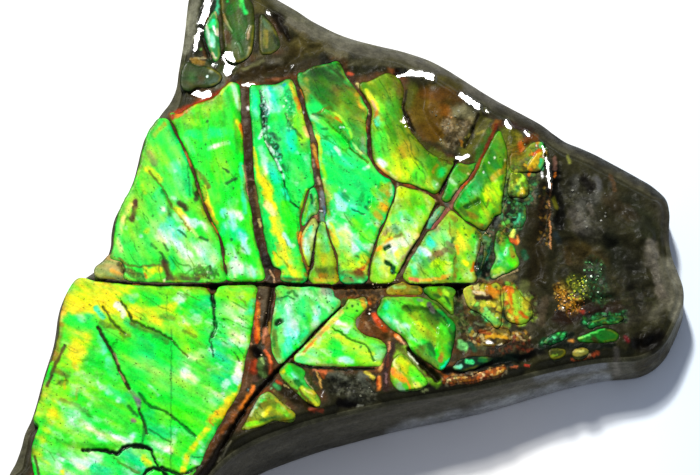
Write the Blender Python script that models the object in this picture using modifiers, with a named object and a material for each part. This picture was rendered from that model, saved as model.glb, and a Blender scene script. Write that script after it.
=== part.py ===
"""Ammolite specimen: a ground slab of dark shale with a crust of broken nacre plates on its upper face.

Metres, +Z up. The slab lies on its flat sawn underside, with the origin under the middle of its box.
The outlines are traced by eye as (right, down) steps on a view of the lying slab from TRACE_ELEVATION
above its front edge; place() lays each traced point on the curved shell surface, at real size.
"""
import math

import bmesh
import bpy
import numpy as np
from mathutils import Vector, noise
from mathutils.geometry import delaunay_2d_cdt

# Driving dimensions
MM = 0.001
TRACE_STEP = 0.130 * MM
TRACE_ELEVATION = math.radians(66.0)
TRACE_MIDDLE = (347.36, 235.40)
SHELL_HEIGHT = 12.0 * MM
SHELL_FALL_TO_RIGHT = 0.092
SHELL_CROWN = 1.9 * MM
CROWN_REACH = (46.0 * MM, 42.0 * MM)
RIPPLE = 0.22 * MM
RIPPLE_SIZE = 17.0 * MM
PLATE_THICKNESS = 0.90 * MM
BED_DEPTH = 1.22 * MM
ROCK_RISE = 1.0 * MM
ROCK_CLEARANCE = 1.9 * MM
ROCK_SLOPE = 1.6 * MM
ROUGH_HEIGHT = 1.1 * MM
ROUGH_SIZE = 5.5 * MM
CHIPPED_HEIGHT = 0.35 * MM
ROUGH_FROM_X = 26.0 * MM
SIDE_RIM = 0.5 * MM
BACK_RIM = 2.3 * MM
RIM_DROP_RATIO = 0.72
SHOULDER_INSET = 0.35
SHOULDER_DROP = 0.30
FOOT_BEVEL = 0.5 * MM
OUTLINE_SPACING = 2.1 * MM
PLATE_MESH_SPACING = 2.3 * MM
ROCK_MESH_SPACING = 1.8 * MM

# Edge of the slab's upper face, clockwise as seen from above, starting at the crest's left side
SLAB_OUTLINE = [
    (191, 0), (195, -16), (202, -29), (215, -36), (231, -31), (250, -15), (272, -1), (290, 9), (310, 22),
    (340, 37), (370, 46), (400, 53), (430, 63), (455, 77), (480, 93), (500, 105), (530, 121), (547, 131),
    (560, 142), (590, 155), (615, 168), (635, 179), (655, 191), (664, 200), (667, 214), (666, 232),
    (668, 252), (676, 275), (681, 292), (678, 307), (670, 326), (660, 342), (640, 355), (600, 358),
    (560, 365), (527, 373), (490, 382), (460, 388), (430, 393), (390, 400), (350, 409), (320, 416),
    (290, 425), (262, 435), (240, 446), (222, 459), (207, 475), (193, 491), (174, 503), (148, 510),
    (110, 512), (70, 509), (38, 503), (20, 494), (13, 482), (18, 468), (26, 452), (29, 436), (35, 424),
    (42, 403), (49, 376), (59, 343), (62, 320), (66, 304), (73, 291), (86, 282), (97, 274), (109, 261),
    (114, 250), (115, 236), (119, 217), (130, 196), (138, 177), (143, 156), (148, 138), (158, 123),
    (169, 107), (178, 93), (181, 75), (184, 57), (187, 38), (189, 18),
]

# Nacre plates: lift above the shell surface in millimetres, then the traced outline
PLATES = {
    "left_shoulder_plate": (0.00, [
        (167, 121), (159, 128), (152, 138), (147, 152), (144, 166), (141, 179), (134, 195), (126, 211),
        (121, 224), (118, 238), (120, 250), (124, 264), (131, 277), (150, 279), (176, 279), (200, 279),
        (225, 279), (223, 264), (222, 252), (219, 242), (215, 232), (209, 222), (204, 211), (200, 201),
        (197, 192), (194, 182), (191, 172), (188, 164), (184, 154), (179, 144), (174, 134)]),
    "left_corner_flake": (-0.10, [(118, 260), (109, 266), (100, 275), (112, 277), (126, 278)]),
    "left_panel_plate": (0.05, [
        (172, 119), (181, 112), (190, 106), (200, 102), (211, 98), (218, 92), (224, 86), (230, 81),
        (235, 85), (238, 93), (240, 104), (241, 120), (243, 138), (243, 158), (244, 172), (245, 186),
        (247, 200), (248, 212), (250, 226), (253, 240), (257, 252), (261, 263), (262, 271), (259, 279),
        (229, 279), (228, 272), (226, 262), (225, 250), (223, 240), (219, 230), (213, 220), (208, 210),
        (204, 201), (201, 191), (198, 181), (195, 171), (191, 161), (187, 151), (182, 141), (177, 131)]),
    "tall_panel_plate": (0.10, [
        (250, 88), (261, 84), (275, 84), (284, 80), (289, 80), (293, 88), (296, 96), (299, 105),
        (302, 115), (305, 126), (308, 137), (310, 148), (311, 160), (310, 172), (310, 183), (307, 193),
        (303, 203), (300, 213), (298, 224), (296, 236), (297, 248), (299, 260), (302, 270), (303, 279),
        (288, 279), (280, 269), (274, 260), (269, 250), (266, 238), (264, 222), (263, 206), (261, 192),
        (257, 180), (255, 166), (254, 152), (252, 136), (251, 120), (250, 104)]),
    "fork_sliver_plate": (0.00, [
        (313, 187), (317, 190), (319, 200), (318, 209), (312, 214), (306, 221), (303, 226), (303, 216),
        (307, 204), (310, 195)]),
    "fork_wedge_plate": (0.05, [
        (315, 218), (316, 226), (314, 240), (312, 254), (309, 267), (305, 260), (302, 250), (300, 242),
        (303, 235), (309, 226)]),
    "olive_wedge_plate": (-0.10, [
        (320, 223), (325, 223), (327, 231), (331, 243), (334, 254), (336, 266), (337, 279), (311, 279),
        (313, 266), (316, 252), (318, 238)]),
    "centre_panel_plate": (0.15, [
        (298, 80), (304, 72), (312, 66), (322, 64), (332, 63), (340, 67), (346, 76), (353, 85),
        (360, 94), (364, 102), (368, 110), (366, 119), (366, 130), (366, 142), (367, 152), (370, 160),
        (375, 168), (382, 175), (389, 180), (392, 186), (393, 195), (392, 200), (389, 207), (386, 213),
        (383, 222), (379, 230), (376, 240), (373, 250), (369, 260), (367, 270), (366, 279), (341, 279),
        (339, 264), (337, 252), (333, 240), (329, 228), (327, 214), (326, 200), (324, 186), (322, 174),
        (320, 162), (319, 150), (317, 138), (314, 128), (311, 118), (308, 108), (305, 98), (302, 89)]),
    "olive_panel_plate": (0.10, [
        (363, 84), (372, 80), (380, 75), (388, 72), (396, 75), (402, 82), (404, 92), (402, 104),
        (403, 116), (407, 126), (414, 135), (422, 144), (430, 152), (438, 157), (446, 160), (453, 162),
        (450, 167), (446, 174), (442, 182), (438, 189), (434, 192), (428, 189), (420, 185), (412, 182),
        (404, 180), (397, 176), (390, 172), (383, 167), (378, 161), (374, 154), (372, 146), (372, 134),
        (372, 122), (374, 114), (375, 108), (373, 100), (368, 92)]),
    "centre_right_plate": (0.05, [
        (399, 186), (408, 188), (416, 191), (424, 195), (430, 199), (434, 204), (429, 213), (424, 223),
        (419, 233), (414, 242), (409, 250), (403, 258), (398, 264), (393, 271), (390, 279), (371, 279),
        (372, 271), (374, 261), (378, 251), (381, 241), (384, 231), (388, 223), (391, 214), (394, 208),
        (397, 202), (398, 196)]),
    "slanted_sliver_plate": (0.05, [
        (459, 165), (467, 164), (476, 162), (474, 169), (468, 177), (462, 184), (457, 191), (451, 199),
        (446, 200), (442, 197), (445, 189), (449, 181), (454, 173)]),
    "cyan_wedge_plate": (0.00, [
        (440, 207), (445, 209), (440, 215), (434, 220), (428, 226), (425, 229), (428, 221), (433, 212)]),
    "right_panel_plate": (0.10, [
        (501, 131), (504, 138), (507, 147), (508, 158), (505, 170), (504, 182), (503, 193), (500, 203),
        (496, 213), (491, 223), (486, 229), (480, 227), (473, 222), (466, 217), (459, 209), (456, 206),
        (459, 201), (464, 195), (469, 188), (474, 181), (479, 175), (483, 166), (487, 156), (492, 147),
        (497, 137)]),
    "lower_right_plate": (0.00, [
        (452, 211), (459, 217), (466, 223), (474, 229), (480, 235), (481, 246), (478, 256), (475, 266),
        (473, 279), (442, 279), (411, 279), (409, 271), (413, 262), (418, 253), (422, 244), (427, 237),
        (433, 231), (440, 225), (446, 218)]),
    "bright_flake": (0.05, [
        (498, 231), (506, 235), (513, 243), (517, 254), (519, 265), (512, 271), (502, 275), (491, 279),
        (491, 270), (495, 258), (494, 246)]),
    "teal_shard": (0.00, [(485, 240), (490, 238), (491, 246), (488, 256), (484, 265), (479, 273), (481, 262)]),
    "teal_flake": (-0.10, [
        (508, 204), (518, 200), (526, 206), (527, 219), (520, 228), (509, 227), (503, 217)]),
    "yellow_flake": (0.10, [(514, 178), (522, 174), (528, 182), (529, 195), (520, 198), (512, 191)]),
    "gold_ridge_flake": (0.15, [
        (514, 158), (526, 149), (539, 142), (545, 148), (545, 163), (539, 171), (526, 171), (516, 168)]),
    "big_lower_left_plate": (0.00, [
        (87, 285), (100, 283), (115, 285), (130, 288), (146, 291), (162, 292), (182, 291), (200, 293),
        (215, 294), (229, 291), (245, 289), (255, 289), (256, 302), (254, 316), (252, 332), (249, 348),
        (245, 364), (243, 376), (241, 389), (234, 401), (226, 414), (219, 426), (213, 438), (207, 450),
        (202, 461), (195, 472), (186, 484), (174, 494), (155, 500), (130, 503), (95, 504), (62, 500),
        (43, 490), (37, 474), (34, 458), (35, 443), (40, 428), (46, 408), (51, 388), (57, 370),
        (65, 354), (69, 340), (66, 322), (70, 306), (77, 293)]),
    "lower_middle_plate": (0.05, [
        (279, 290), (290, 289), (302, 290), (315, 290), (325, 292), (333, 296), (338, 302), (327, 314),
        (317, 326), (307, 338), (297, 348), (287, 357), (280, 363), (275, 358), (272, 348), (271, 336),
        (272, 322), (275, 306)]),
    "lower_centre_plate": (-0.05, [
        (346, 307), (352, 302), (358, 297), (364, 296), (368, 300), (367, 308), (361, 314), (356, 320),
        (357, 328), (364, 334), (373, 337), (382, 340), (387, 347), (386, 354), (381, 361), (374, 364),
        (360, 365), (344, 365), (330, 364), (316, 364), (304, 361), (296, 359), (304, 351), (314, 341),
        (325, 329), (336, 317)]),
    "arrow_flake": (0.05, [
        (281, 371), (288, 364), (297, 368), (303, 376), (309, 385), (317, 393), (321, 402), (317, 406),
        (308, 402), (300, 395), (291, 388), (284, 380)]),
    "corner_triangle_flake": (0.05, [
        (258, 399), (263, 393), (270, 391), (280, 399), (288, 406), (296, 413), (294, 418), (284, 419),
        (273, 420), (259, 426), (242, 429), (246, 420), (252, 409)]),
    "folded_plate": (0.15, [
        (385, 299), (395, 297), (406, 297), (418, 299), (428, 303), (438, 309), (447, 316), (454, 323),
        (455, 334), (453, 346), (450, 358), (446, 365), (440, 370), (430, 364), (419, 356), (410, 348),
        (405, 340), (399, 334), (391, 329), (383, 321), (377, 312)]),
    "amber_strip_flake": (-0.05, [
        (387, 292), (391, 286), (404, 285), (418, 286), (420, 291), (417, 294), (404, 293), (393, 294)]),
    "green_corner_flake": (0.05, [
        (426, 288), (440, 287), (449, 289), (453, 298), (454, 314), (447, 309), (438, 301), (430, 297)]),
    "orange_edge_flake": (0.00, [
        (391, 364), (395, 357), (401, 354), (408, 358), (415, 366), (422, 374), (428, 382), (422, 387),
        (410, 389), (397, 389), (390, 378)]),
    "mosaic_left_flake": (0.10, [
        (467, 291), (476, 289), (486, 285), (496, 287), (500, 296), (500, 308), (499, 318), (496, 326),
        (489, 321), (482, 314), (472, 310), (466, 302)]),
    "mosaic_right_flake": (0.10, [
        (505, 287), (513, 286), (519, 292), (526, 299), (532, 305), (532, 314), (528, 322), (521, 326),
        (514, 322), (508, 312), (504, 300)]),
    "mosaic_lower_flake": (-0.05, [
        (478, 333), (488, 330), (500, 331), (508, 334), (511, 340), (500, 345), (487, 346), (477, 341)]),
    "gold_edge_strip": (-0.10, [
        (445, 379), (452, 375), (462, 375), (471, 375), (479, 371), (490, 368), (502, 365), (507, 368),
        (499, 374), (487, 377), (473, 380), (458, 382), (448, 383)]),
    "teal_edge_strip": (0.00, [
        (452, 368), (456, 362), (466, 358), (480, 356), (492, 357), (488, 362), (476, 367), (462, 371)]),
    "green_edge_flake_left": (0.05, [(542, 342), (550, 336), (559, 331), (567, 334), (562, 341), (550, 344)]),
    "olive_edge_flake": (-0.05, [(548, 350), (557, 347), (566, 349), (564, 356), (552, 359)]),
    "green_edge_flake_upper": (0.05, [
        (586, 323), (598, 318), (613, 315), (624, 318), (618, 323), (602, 325), (590, 329)]),
    "green_edge_flake_lower": (0.05, [
        (577, 337), (589, 333), (600, 329), (612, 329), (619, 335), (615, 341), (602, 343), (588, 343),
        (579, 342)]),
    "yellow_edge_flake": (0.00, [(572, 350), (582, 347), (589, 350), (584, 355), (573, 357)]),
    "crest_teal_plate": (0.00, [
        (208, 15), (215, 9), (218, 20), (218, 34), (220, 47), (219, 57), (214, 61), (209, 50), (204, 36),
        (204, 26)]),
    "crest_olive_plate": (0.15, [
        (219, -24), (230, -20), (243, -8), (252, 4), (254, 20), (254, 36), (252, 50), (245, 59),
        (234, 63), (225, 58), (223, 44), (222, 24), (220, 4)]),
    "crest_right_plate": (0.00, [
        (260, 12), (267, 17), (274, 26), (278, 36), (279, 46), (271, 53), (261, 53), (258, 40), (258, 26)]),
    "crest_foot_knob": (0.10, [
        (187, 74), (194, 68), (204, 65), (214, 69), (222, 76), (216, 84), (204, 87), (190, 84)]),
}

# Base colour, roughness and metallic value of each material
SHALE = ((0.045, 0.040, 0.030), 0.35, 0.0)
NACRE = ((0.060, 0.720, 0.080), 0.12, 0.1)


def clear_scene():
    for obj in list(bpy.data.objects):
        bpy.data.objects.remove(obj, do_unlink=True)


def make_collection(name):
    collection = bpy.data.collections.new(name)
    bpy.context.scene.collection.children.link(collection)
    return collection


def make_material(name, finish):
    colour, roughness, metallic = finish
    material = bpy.data.materials.new(name)
    material.use_nodes = True
    shader = material.node_tree.nodes["Principled BSDF"]
    shader.inputs["Base Color"].default_value = (*colour, 1.0)
    shader.inputs["Roughness"].default_value = roughness
    shader.inputs["Metallic"].default_value = metallic
    return material


def smooth_step(value):
    value = min(max(value, 0.0), 1.0)
    return value * value * (3.0 - 2.0 * value)


def shell_height(x, y):
    """Height of the nacre's upper face: it falls to the right, is crowned and ripples gently."""
    fall = SHELL_FALL_TO_RIGHT * x
    crown = SHELL_CROWN * ((x / CROWN_REACH[0]) ** 2 + (y / CROWN_REACH[1]) ** 2) / 2.0
    ripple = RIPPLE * noise.noise(Vector((x, y, 0.0)) / RIPPLE_SIZE)
    return SHELL_HEIGHT - fall - crown + ripple


def place(point, below=0.0):
    """Plan position of a traced point that lies this far below the shell surface."""
    x = (point[0] - TRACE_MIDDLE[0]) * TRACE_STEP
    seen = (TRACE_MIDDLE[1] - point[1]) * TRACE_STEP
    y = seen
    for _ in range(6):
        rise = shell_height(x, y) - below - SHELL_HEIGHT
        y = (seen - rise * math.cos(TRACE_ELEVATION)) / math.sin(TRACE_ELEVATION)
    return Vector((x, y))


def smooth_loop(points, spacing):
    """Even points on a Catmull-Rom curve through a closed loop."""
    dense = []
    count = len(points)
    for i in range(count):
        p0, p1, p2, p3 = (points[(i + k - 1) % count] for k in range(4))
        for step in range(12):
            t = step / 12.0
            dense.append(0.5 * (2.0 * p1 + (p2 - p0) * t + (2.0 * p0 - 5.0 * p1 + 4.0 * p2 - p3) * t ** 2
                                + (3.0 * p1 - p0 - 3.0 * p2 + p3) * t ** 3))
    lengths = [(dense[(i + 1) % len(dense)] - p).length for i, p in enumerate(dense)]
    total = sum(lengths)
    wanted = round(total / spacing)
    loop, walked, index = [], 0.0, 0
    for k in range(wanted):
        target = total * k / wanted
        while walked + lengths[index] < target:
            walked += lengths[index]
            index += 1
        share = (target - walked) / lengths[index]
        loop.append(dense[index].lerp(dense[(index + 1) % len(dense)], share))
    return loop


def outward(loop):
    """Unit normals that point out of a closed loop traced clockwise."""
    normals = []
    for i, point in enumerate(loop):
        along = (loop[(i + 1) % len(loop)] - loop[i - 1]).normalized()
        normals.append(Vector((-along.y, along.x)))
    return normals


def distance_to_loop(point, loop):
    """Shortest distance to a closed loop, negative inside it."""
    ends = np.roll(loop, -1, axis=0)
    along = ends - loop
    share = np.clip(((point - loop) * along).sum(1) / (along ** 2).sum(1), 0.0, 1.0)
    nearest = np.sqrt(((loop + along * share[:, None] - point) ** 2).sum(1)).min()
    above = (loop[:, 1] > point[1]) != (ends[:, 1] > point[1])
    crossing_x = loop[above, 0] + along[above, 0] * (point[1] - loop[above, 1]) / along[above, 1]
    inside = np.count_nonzero(point[0] < crossing_x) % 2 == 1
    return -nearest if inside else nearest


def fill_points(loop, spacing):
    """Points of a triangular grid inside a loop, kept clear of its edge."""
    outline = np.array(loop)
    low, high = outline.min(0), outline.max(0)
    row_height = spacing * math.sqrt(0.75)
    points = []
    for row in range(math.floor(low[1] / row_height), math.ceil(high[1] / row_height)):
        for column in range(math.floor(low[0] / spacing) - 1, math.ceil(high[0] / spacing) + 1):
            point = np.array(((column + 0.5 * (row % 2)) * spacing, row * row_height))
            if distance_to_loop(point, outline) < -0.45 * spacing:
                points.append(Vector(point))
    return points


def triangulated(loop, spacing):
    """Flat triangles that fill a loop, as corner positions and index triples."""
    corners = list(loop) + fill_points(loop, spacing)
    filled = delaunay_2d_cdt(corners, [], [list(range(len(loop)))], 1, 1e-7)
    return filled[0], filled[2]


def add_object(name, mesh, material, collection):
    mesh.materials.append(material)
    obj = bpy.data.objects.new(name, mesh)
    collection.objects.link(obj)
    return obj


def make_plate(name, lift, outline, collection):
    """A plate of shell: its outline filled, laid at its lift and thickened down to where all plates end."""
    corners, faces = triangulated([place(point) for point in outline], PLATE_MESH_SPACING)
    mesh = bpy.data.meshes.new(name)
    mesh.from_pydata([(p.x, p.y, shell_height(p.x, p.y) + lift * MM) for p in corners], [], faces)
    plate = add_object(name, mesh, make_material(name + "_nacre", NACRE), collection)
    thicken = plate.modifiers.new("Thickness", 'SOLIDIFY')
    thicken.thickness = PLATE_THICKNESS + lift * MM
    thicken.offset = -1.0
    return plate


def rock_height(point, plate_loops, brow_loop):
    """Upper face of the shale: a bed under the plates that rises where the rock is bare, rough at the right."""
    x, y = point
    clear = min(distance_to_loop(point, loop) for loop in plate_loops)
    inset = -distance_to_loop(point, brow_loop)
    bare = smooth_step((clear - ROCK_CLEARANCE) / ROCK_SLOPE) * smooth_step(inset / ROCK_SLOPE)
    rough = smooth_step((x - ROUGH_FROM_X) / ROCK_SLOPE)
    relief = CHIPPED_HEIGHT + (ROUGH_HEIGHT - CHIPPED_HEIGHT) * rough
    lumps = relief * noise.fractal(Vector((x, y, 0.0)) / ROUGH_SIZE, 0.8, 2.1, 3)
    return shell_height(x, y) - BED_DEPTH + bare * (ROCK_RISE * (1.0 - 0.35 * rough) + lumps)


def make_matrix(collection):
    """The shale slab: a foot, a ground wall, a rim that is widest along the back, and the upper face."""
    edge = smooth_loop([place(point, BED_DEPTH) for point in SLAB_OUTLINE], OUTLINE_SPACING)
    normals = outward(edge)
    plate_loops = [np.array([place(p) for p in outline]) for _, outline in PLATES.values()]
    rings = [[], [], [], [], []]
    for point, normal in zip(edge, normals):
        width = SIDE_RIM + (BACK_RIM - SIDE_RIM) * smooth_step(normal.y)
        drop = width * RIM_DROP_RATIO
        side = point + Vector((0.0, drop / math.tan(TRACE_ELEVATION) * smooth_step(normal.y)))
        foot = side - normal * FOOT_BEVEL
        shoulder = side - normal * width * SHOULDER_INSET
        brow = side - normal * width
        top = shell_height(side.x, side.y) - BED_DEPTH
        rings[0].append((*foot, 0.0))
        rings[1].append((*side, FOOT_BEVEL))
        rings[2].append((*side, top - drop))
        rings[3].append((*shoulder, top - drop * SHOULDER_DROP))
        rings[4].append((*brow, shell_height(brow.x, brow.y) - BED_DEPTH))
    brow_loop = np.array([p[:2] for p in rings[4]])
    corners, faces = triangulated([Vector(p) for p in brow_loop], ROCK_MESH_SPACING)
    heights = [rock_height(np.array(p), plate_loops, brow_loop) for p in corners[len(brow_loop):]]
    body = bmesh.new()
    face_corners = [body.verts.new(p) for p in rings[4]]
    face_corners += [body.verts.new((p.x, p.y, z)) for p, z in zip(corners[len(brow_loop):], heights)]
    for face in faces:
        body.faces.new([face_corners[i] for i in face])
    for lower, upper in ((0, 1), (1, 2), (2, 3), (3, 4)):
        add_band(body, rings[lower], rings[upper])
    body.faces.new([body.verts.new(p) for p in rings[0]])
    bmesh.ops.remove_doubles(body, verts=body.verts, dist=1e-6)
    bmesh.ops.recalc_face_normals(body, faces=body.faces)
    mesh = bpy.data.meshes.new("matrix")
    body.to_mesh(mesh)
    body.free()
    return add_object("matrix", mesh, make_material("matrix_shale", SHALE), collection)


def add_band(body, lower, upper):
    """Four-sided faces between two rings of the same number of corners."""
    below = [body.verts.new(p) for p in lower]
    above = [body.verts.new(p) for p in upper]
    for i in range(len(below)):
        after = (i + 1) % len(below)
        body.faces.new((below[i], below[after], above[after], above[i]))


def main():
    clear_scene()
    specimen = make_collection("ammolite_specimen")
    make_matrix(specimen)
    for name, (lift, outline) in PLATES.items():
        make_plate(name, lift, outline, specimen)


main()
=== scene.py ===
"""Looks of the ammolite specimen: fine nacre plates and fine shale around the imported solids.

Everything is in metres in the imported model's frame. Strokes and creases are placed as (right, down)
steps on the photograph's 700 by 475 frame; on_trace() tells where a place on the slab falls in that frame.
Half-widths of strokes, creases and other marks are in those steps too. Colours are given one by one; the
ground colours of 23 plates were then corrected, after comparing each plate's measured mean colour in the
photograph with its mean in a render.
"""

import math
import random

import bpy
import numpy as np
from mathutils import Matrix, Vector, kdtree, noise
from mathutils.geometry import delaunay_2d_cdt


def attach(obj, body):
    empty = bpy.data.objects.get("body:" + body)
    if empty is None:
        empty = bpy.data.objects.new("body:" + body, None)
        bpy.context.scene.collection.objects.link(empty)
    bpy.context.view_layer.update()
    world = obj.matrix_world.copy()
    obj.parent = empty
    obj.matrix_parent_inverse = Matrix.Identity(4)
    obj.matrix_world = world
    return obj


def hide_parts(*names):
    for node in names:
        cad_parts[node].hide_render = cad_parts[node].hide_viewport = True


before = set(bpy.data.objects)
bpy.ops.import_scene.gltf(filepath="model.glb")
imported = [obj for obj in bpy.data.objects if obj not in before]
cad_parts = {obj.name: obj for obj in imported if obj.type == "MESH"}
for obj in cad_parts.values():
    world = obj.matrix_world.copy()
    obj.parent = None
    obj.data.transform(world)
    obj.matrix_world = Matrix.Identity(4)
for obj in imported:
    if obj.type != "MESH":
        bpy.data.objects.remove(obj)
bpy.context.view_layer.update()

# Shape of the slab and its crust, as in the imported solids
MM = 0.001
TRACE_STEP = 0.130 * MM
TRACE_SIZE = (700, 475)
TRACE_ELEVATION = math.radians(66.0)
TRACE_MIDDLE = (347.36, 235.40)
SHELL_HEIGHT = 12.0 * MM
SHELL_FALL_TO_RIGHT = 0.092
SHELL_CROWN = 1.9 * MM
CROWN_REACH = (46.0 * MM, 42.0 * MM)
RIPPLE = 0.22 * MM
RIPPLE_SIZE = 17.0 * MM
BED_DEPTH = 1.22 * MM
ROCK_RISE = 1.0 * MM
ROCK_CLEARANCE = 1.9 * MM
ROCK_SLOPE = 1.6 * MM
ROCK_LOSS_WHERE_ROUGH = 0.35
ROUGH_HEIGHT = 1.1 * MM
ROUGH_SIZE = 5.5 * MM
ROUGH_FALL_OFF, ROUGH_STEP, ROUGH_OCTAVES = 0.8, 2.1, 3
CHIPPED_HEIGHT = 0.35 * MM
ROUGH_FROM_X = 26.0 * MM
SIDE_RIM = 0.5 * MM
BACK_RIM = 2.3 * MM
RIM_DROP_RATIO = 0.72
FOOT_BEVEL = 0.5 * MM

# Lights and camera, as azimuth and elevation in degrees; azimuth 0 is behind the slab and 90 is to its left
KEY_LIGHT, KEY_WATTS = (14.0, 50.0), 10.0
UPPER_LIGHT, UPPER_WATTS = (14.0, 56.0), 3.9
LIGHT_DISTANCE = 1.0
LIGHT_SIZE = 0.09
KEY_COLOUR = (1.0, 0.985, 0.94)
WORLD_COLOUR = (0.79, 0.845, 1.0, 1.0)
WORLD_STRENGTH = 0.364
EXPOSURE = 1.30
CAMERA_SIDE = (180.0, 66.0)
CAMERA_LENS = 800.0
CAMERA_SENSOR = 36.0

# The floor: white, and faintly blue past a band in x
FLOOR_SIZE = 4.0
FLOOR_WHITE = (0.90, 0.90, 0.90, 1.0)
FLOOR_BLUE = (0.715, 0.80, 0.90, 1.0)
FLOOR_BAND = (0.022, 0.045)
FLOOR_ROUGHNESS = 0.8

# Fineness of the made surfaces
PLATE_SPACING = 0.145 * MM
ROCK_SPACING = 0.19 * MM
HIDDEN_SPACING = 0.80 * MM
FOOT_SPACING = 0.30 * MM
GRID_SPREAD = 0.12
WALL_ROWS = 22
RIM_ROWS = 8

# How close inner points come to an edge, as a share of their spacing, and how far they go under the plates
PLATE_EDGE_GAP = 0.55
ROCK_EDGE_GAP = 0.8
FINE_UNDER_PLATES = 0.5 * MM
COARSE_UNDER_PLATES = 0.9 * MM

# Growth of the plates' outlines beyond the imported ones: over the slab's left side and out to the thin veins
OVERHANG_REACH = 2.2 * MM
OVERHANG_STOP = 0.40 * MM
OVERHANG_SKIRT = 0.5 * MM
OVERHANG_END = 422.0
FACES_LEFT = -0.5
GROWTH_REACH = 10.0
GROWTH_LIMIT = 7.0
GROWTH_AHEAD = 0.25
GROWTH_SMOOTHING = 6
OUTLINE_SMOOTHING = 3
SMALL_PLATE = 6.5 * MM
SMALL_PLATES_FROM_X = 10.0 * MM
CHIP_DEPTH = 0.09 * MM
SMALL_PLATE_CHIP_DEPTH = 0.20 * MM

# Relief of the plates and of the veins between them
PLATE_RIPPLE = 0.035 * MM
PLATE_FINE_RIPPLE = 0.010 * MM
PLATE_EDGE_FALL = 0.07 * MM
PLATE_EDGE_REACH = 1.2
SKIRT_BELOW_BED = 0.25 * MM
PLATE_FOOT_LIMIT = 0.6 * MM
VEIN_HEIGHT = 1.15 * MM
VEIN_WALL = (0.35 * MM, 0.3 * MM)
VEIN_SINKS = (1.2 * MM, 1.5 * MM)
VEIN_SINK_SHARE = 0.5
TUCK = (0.2 * MM, 0.5 * MM)
BROW_BLEND = 0.8 * MM
VEIN_GRAIN = 0.05 * MM
ROUGH_GRAIN = 0.07 * MM

# Named noises: how far each is drawn out, its lump size, its octaves and its seed. Sizes are in metres where
# they are given in MM, and in steps elsewhere
NOISES = {
    "soft wander across": (1.0, 11.0, 2, 21), "soft wander along": (1.0, 11.0, 2, 22),
    "fine wander across": (1.0, 3.5, 2, 23), "fine wander along": (1.0, 3.5, 2, 24),
    "plate ripple": (2.2, 14.0, 2, 41), "plate fine ripple": (3.0, 4.0, 2, 42),
    "plate streaks": (3.5, 5.0, 3, 55), "plate red": (3.0, 7.0, 3, 51), "plate blue": (3.0, 9.0, 3, 52),
    "plate shading": (2.0, 4.0, 3, 53), "plate bloom": (1.0, 7.0, 4, 58),
    "plate bloom fields": (1.0, 45.0, 2, 60), "plate hairs": (4.0, 13.0, 3, 56),
    "plate hair fields": (1.0, 30.0, 2, 57),
    "plate fringe": (1.0, 12.0, 2, 54), "plate edge shade": (1.0, 20.0, 2, 66),
    "plate rim": (1.0, 9.0, 2, 59),
    "plate chips": (1.0, 1.4 * MM, 4, 31), "rock grain": (1.0, 1.1 * MM, 4, 61),
    "rock shading": (1.0, 1.3 * MM, 4, 62), "vein rust": (1.0, 1.8 * MM, 3, 65),
    "wall clouds": (1.0, 3.0 * MM, 4, 63), "wall bands": (4.0, 2.0 * MM, 3, 64),
}

# What noises that are cut into soft fields are multiplied by, and what is then added
FIELDS = {"plate bloom fields": (1.5, 0.5), "plate hair fields": (2.0, 0.4), "plate fringe": (1.6, 0.3),
          "plate edge shade": (1.4, 0.35), "plate rim": (1.0, 0.6), "vein rust": (1.5, 0.0)}
PATCH_SEED = 71
CRUMB_SHIFT_SEEDS = (81, 82)
CRUMB_COLOUR_SEED = 83
GRID_SEEDS = (5, 6)
SPANGLE_SEED = 11

# How marks wander from their traced lines, in steps; strokes wider than LOOSE_FROM wander softly
SOFT_WANDER = 2.6
FINE_WANDER = 1.2
TIGHT_WANDER = 0.8
LOOSE_FROM = 4.0

# The reach and the fade of each kind of mark, as shares of its half-width, and the margin looked at round it
STROKE_EDGE, STROKE_MARGIN = (1.25, 0.9), 1.3
CREASE_EDGE, CREASE_MARGIN = (1.0, 1.0), 1.2
PATCH_EDGE, PATCH_MARGIN = (1.1, 0.5), 1.1
CRUMB_EDGE, CRUMB_MARGIN = (1.15, 0.5), 1.2
FACET_FADE, FACET_MARGIN = 0.3, 1.1
FACET_LENGTH = 14.0
FACET_LEAST_POINTS = 3
STREAKED_FROM = 2.0
STREAK_BASE, STREAK_SWING = 0.95, 0.7
PATCH_OCTAVES = 3
PATCH_LEVELS = 2.5
PATCH_STEPPED_SHARE = 0.6
CRUMB_SHIFT = 0.4
CRUMB_FAR = 9.0
CRUMB_LINE = 0.3
CRUMB_LINE_SHADE = 0.55

# Wetness: the share of clear coat on a plate's face, on rock and on spangles
PLATE_WET, ROCK_WET, SPANGLE_WET = 0.12, 0.004, 0.25
WET_FROM_EDGE, WET_BAND = 2.0, 2.0

# Colour play of the plates
PLATE_GAIN = 1.05
LIVELY_GAIN = 1.1
RED_PLAY, BLUE_PLAY = 0.26, 0.09
# The milky sheen: pale clouds painted over the bright nacre as painted sheen
BLOOM_LOOSE, BLOOM_ALONG, BLOOM_ACROSS = 0.5, 0.3, 0.6
BLOOM_GAIN, BLOOM_LOSS, BLOOM_MOST = 1.3, 0.15, 0.9
BLOOM_WITHOUT_BLUE, BLOOM_BLUE_GAIN = 0.4, 2.2
SHADING_PLAY = 0.10
HAIR_WIDTH = 0.05
HAIR_DARKENS = (0.45, 0.32, 0.55)
FRINGE_COLOUR = (0.70, 0.60, 0.12)
FRINGE_PLACE, FRINGE_REACH, FRINGE_STRENGTH = 1.8, 1.1, 0.45
# Painted shade near the plates' edges
EDGE_SHADE_DARKENS = (0.14, 0.18, 0.32)
EDGE_SHADE_REACH = 4.5
RIM_DARKENS, RIM_REACH = 0.5, 1.0
# Painted shade on the plates' skirts
SKIRT_PAINTED_SHADE = 0.5

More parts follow.
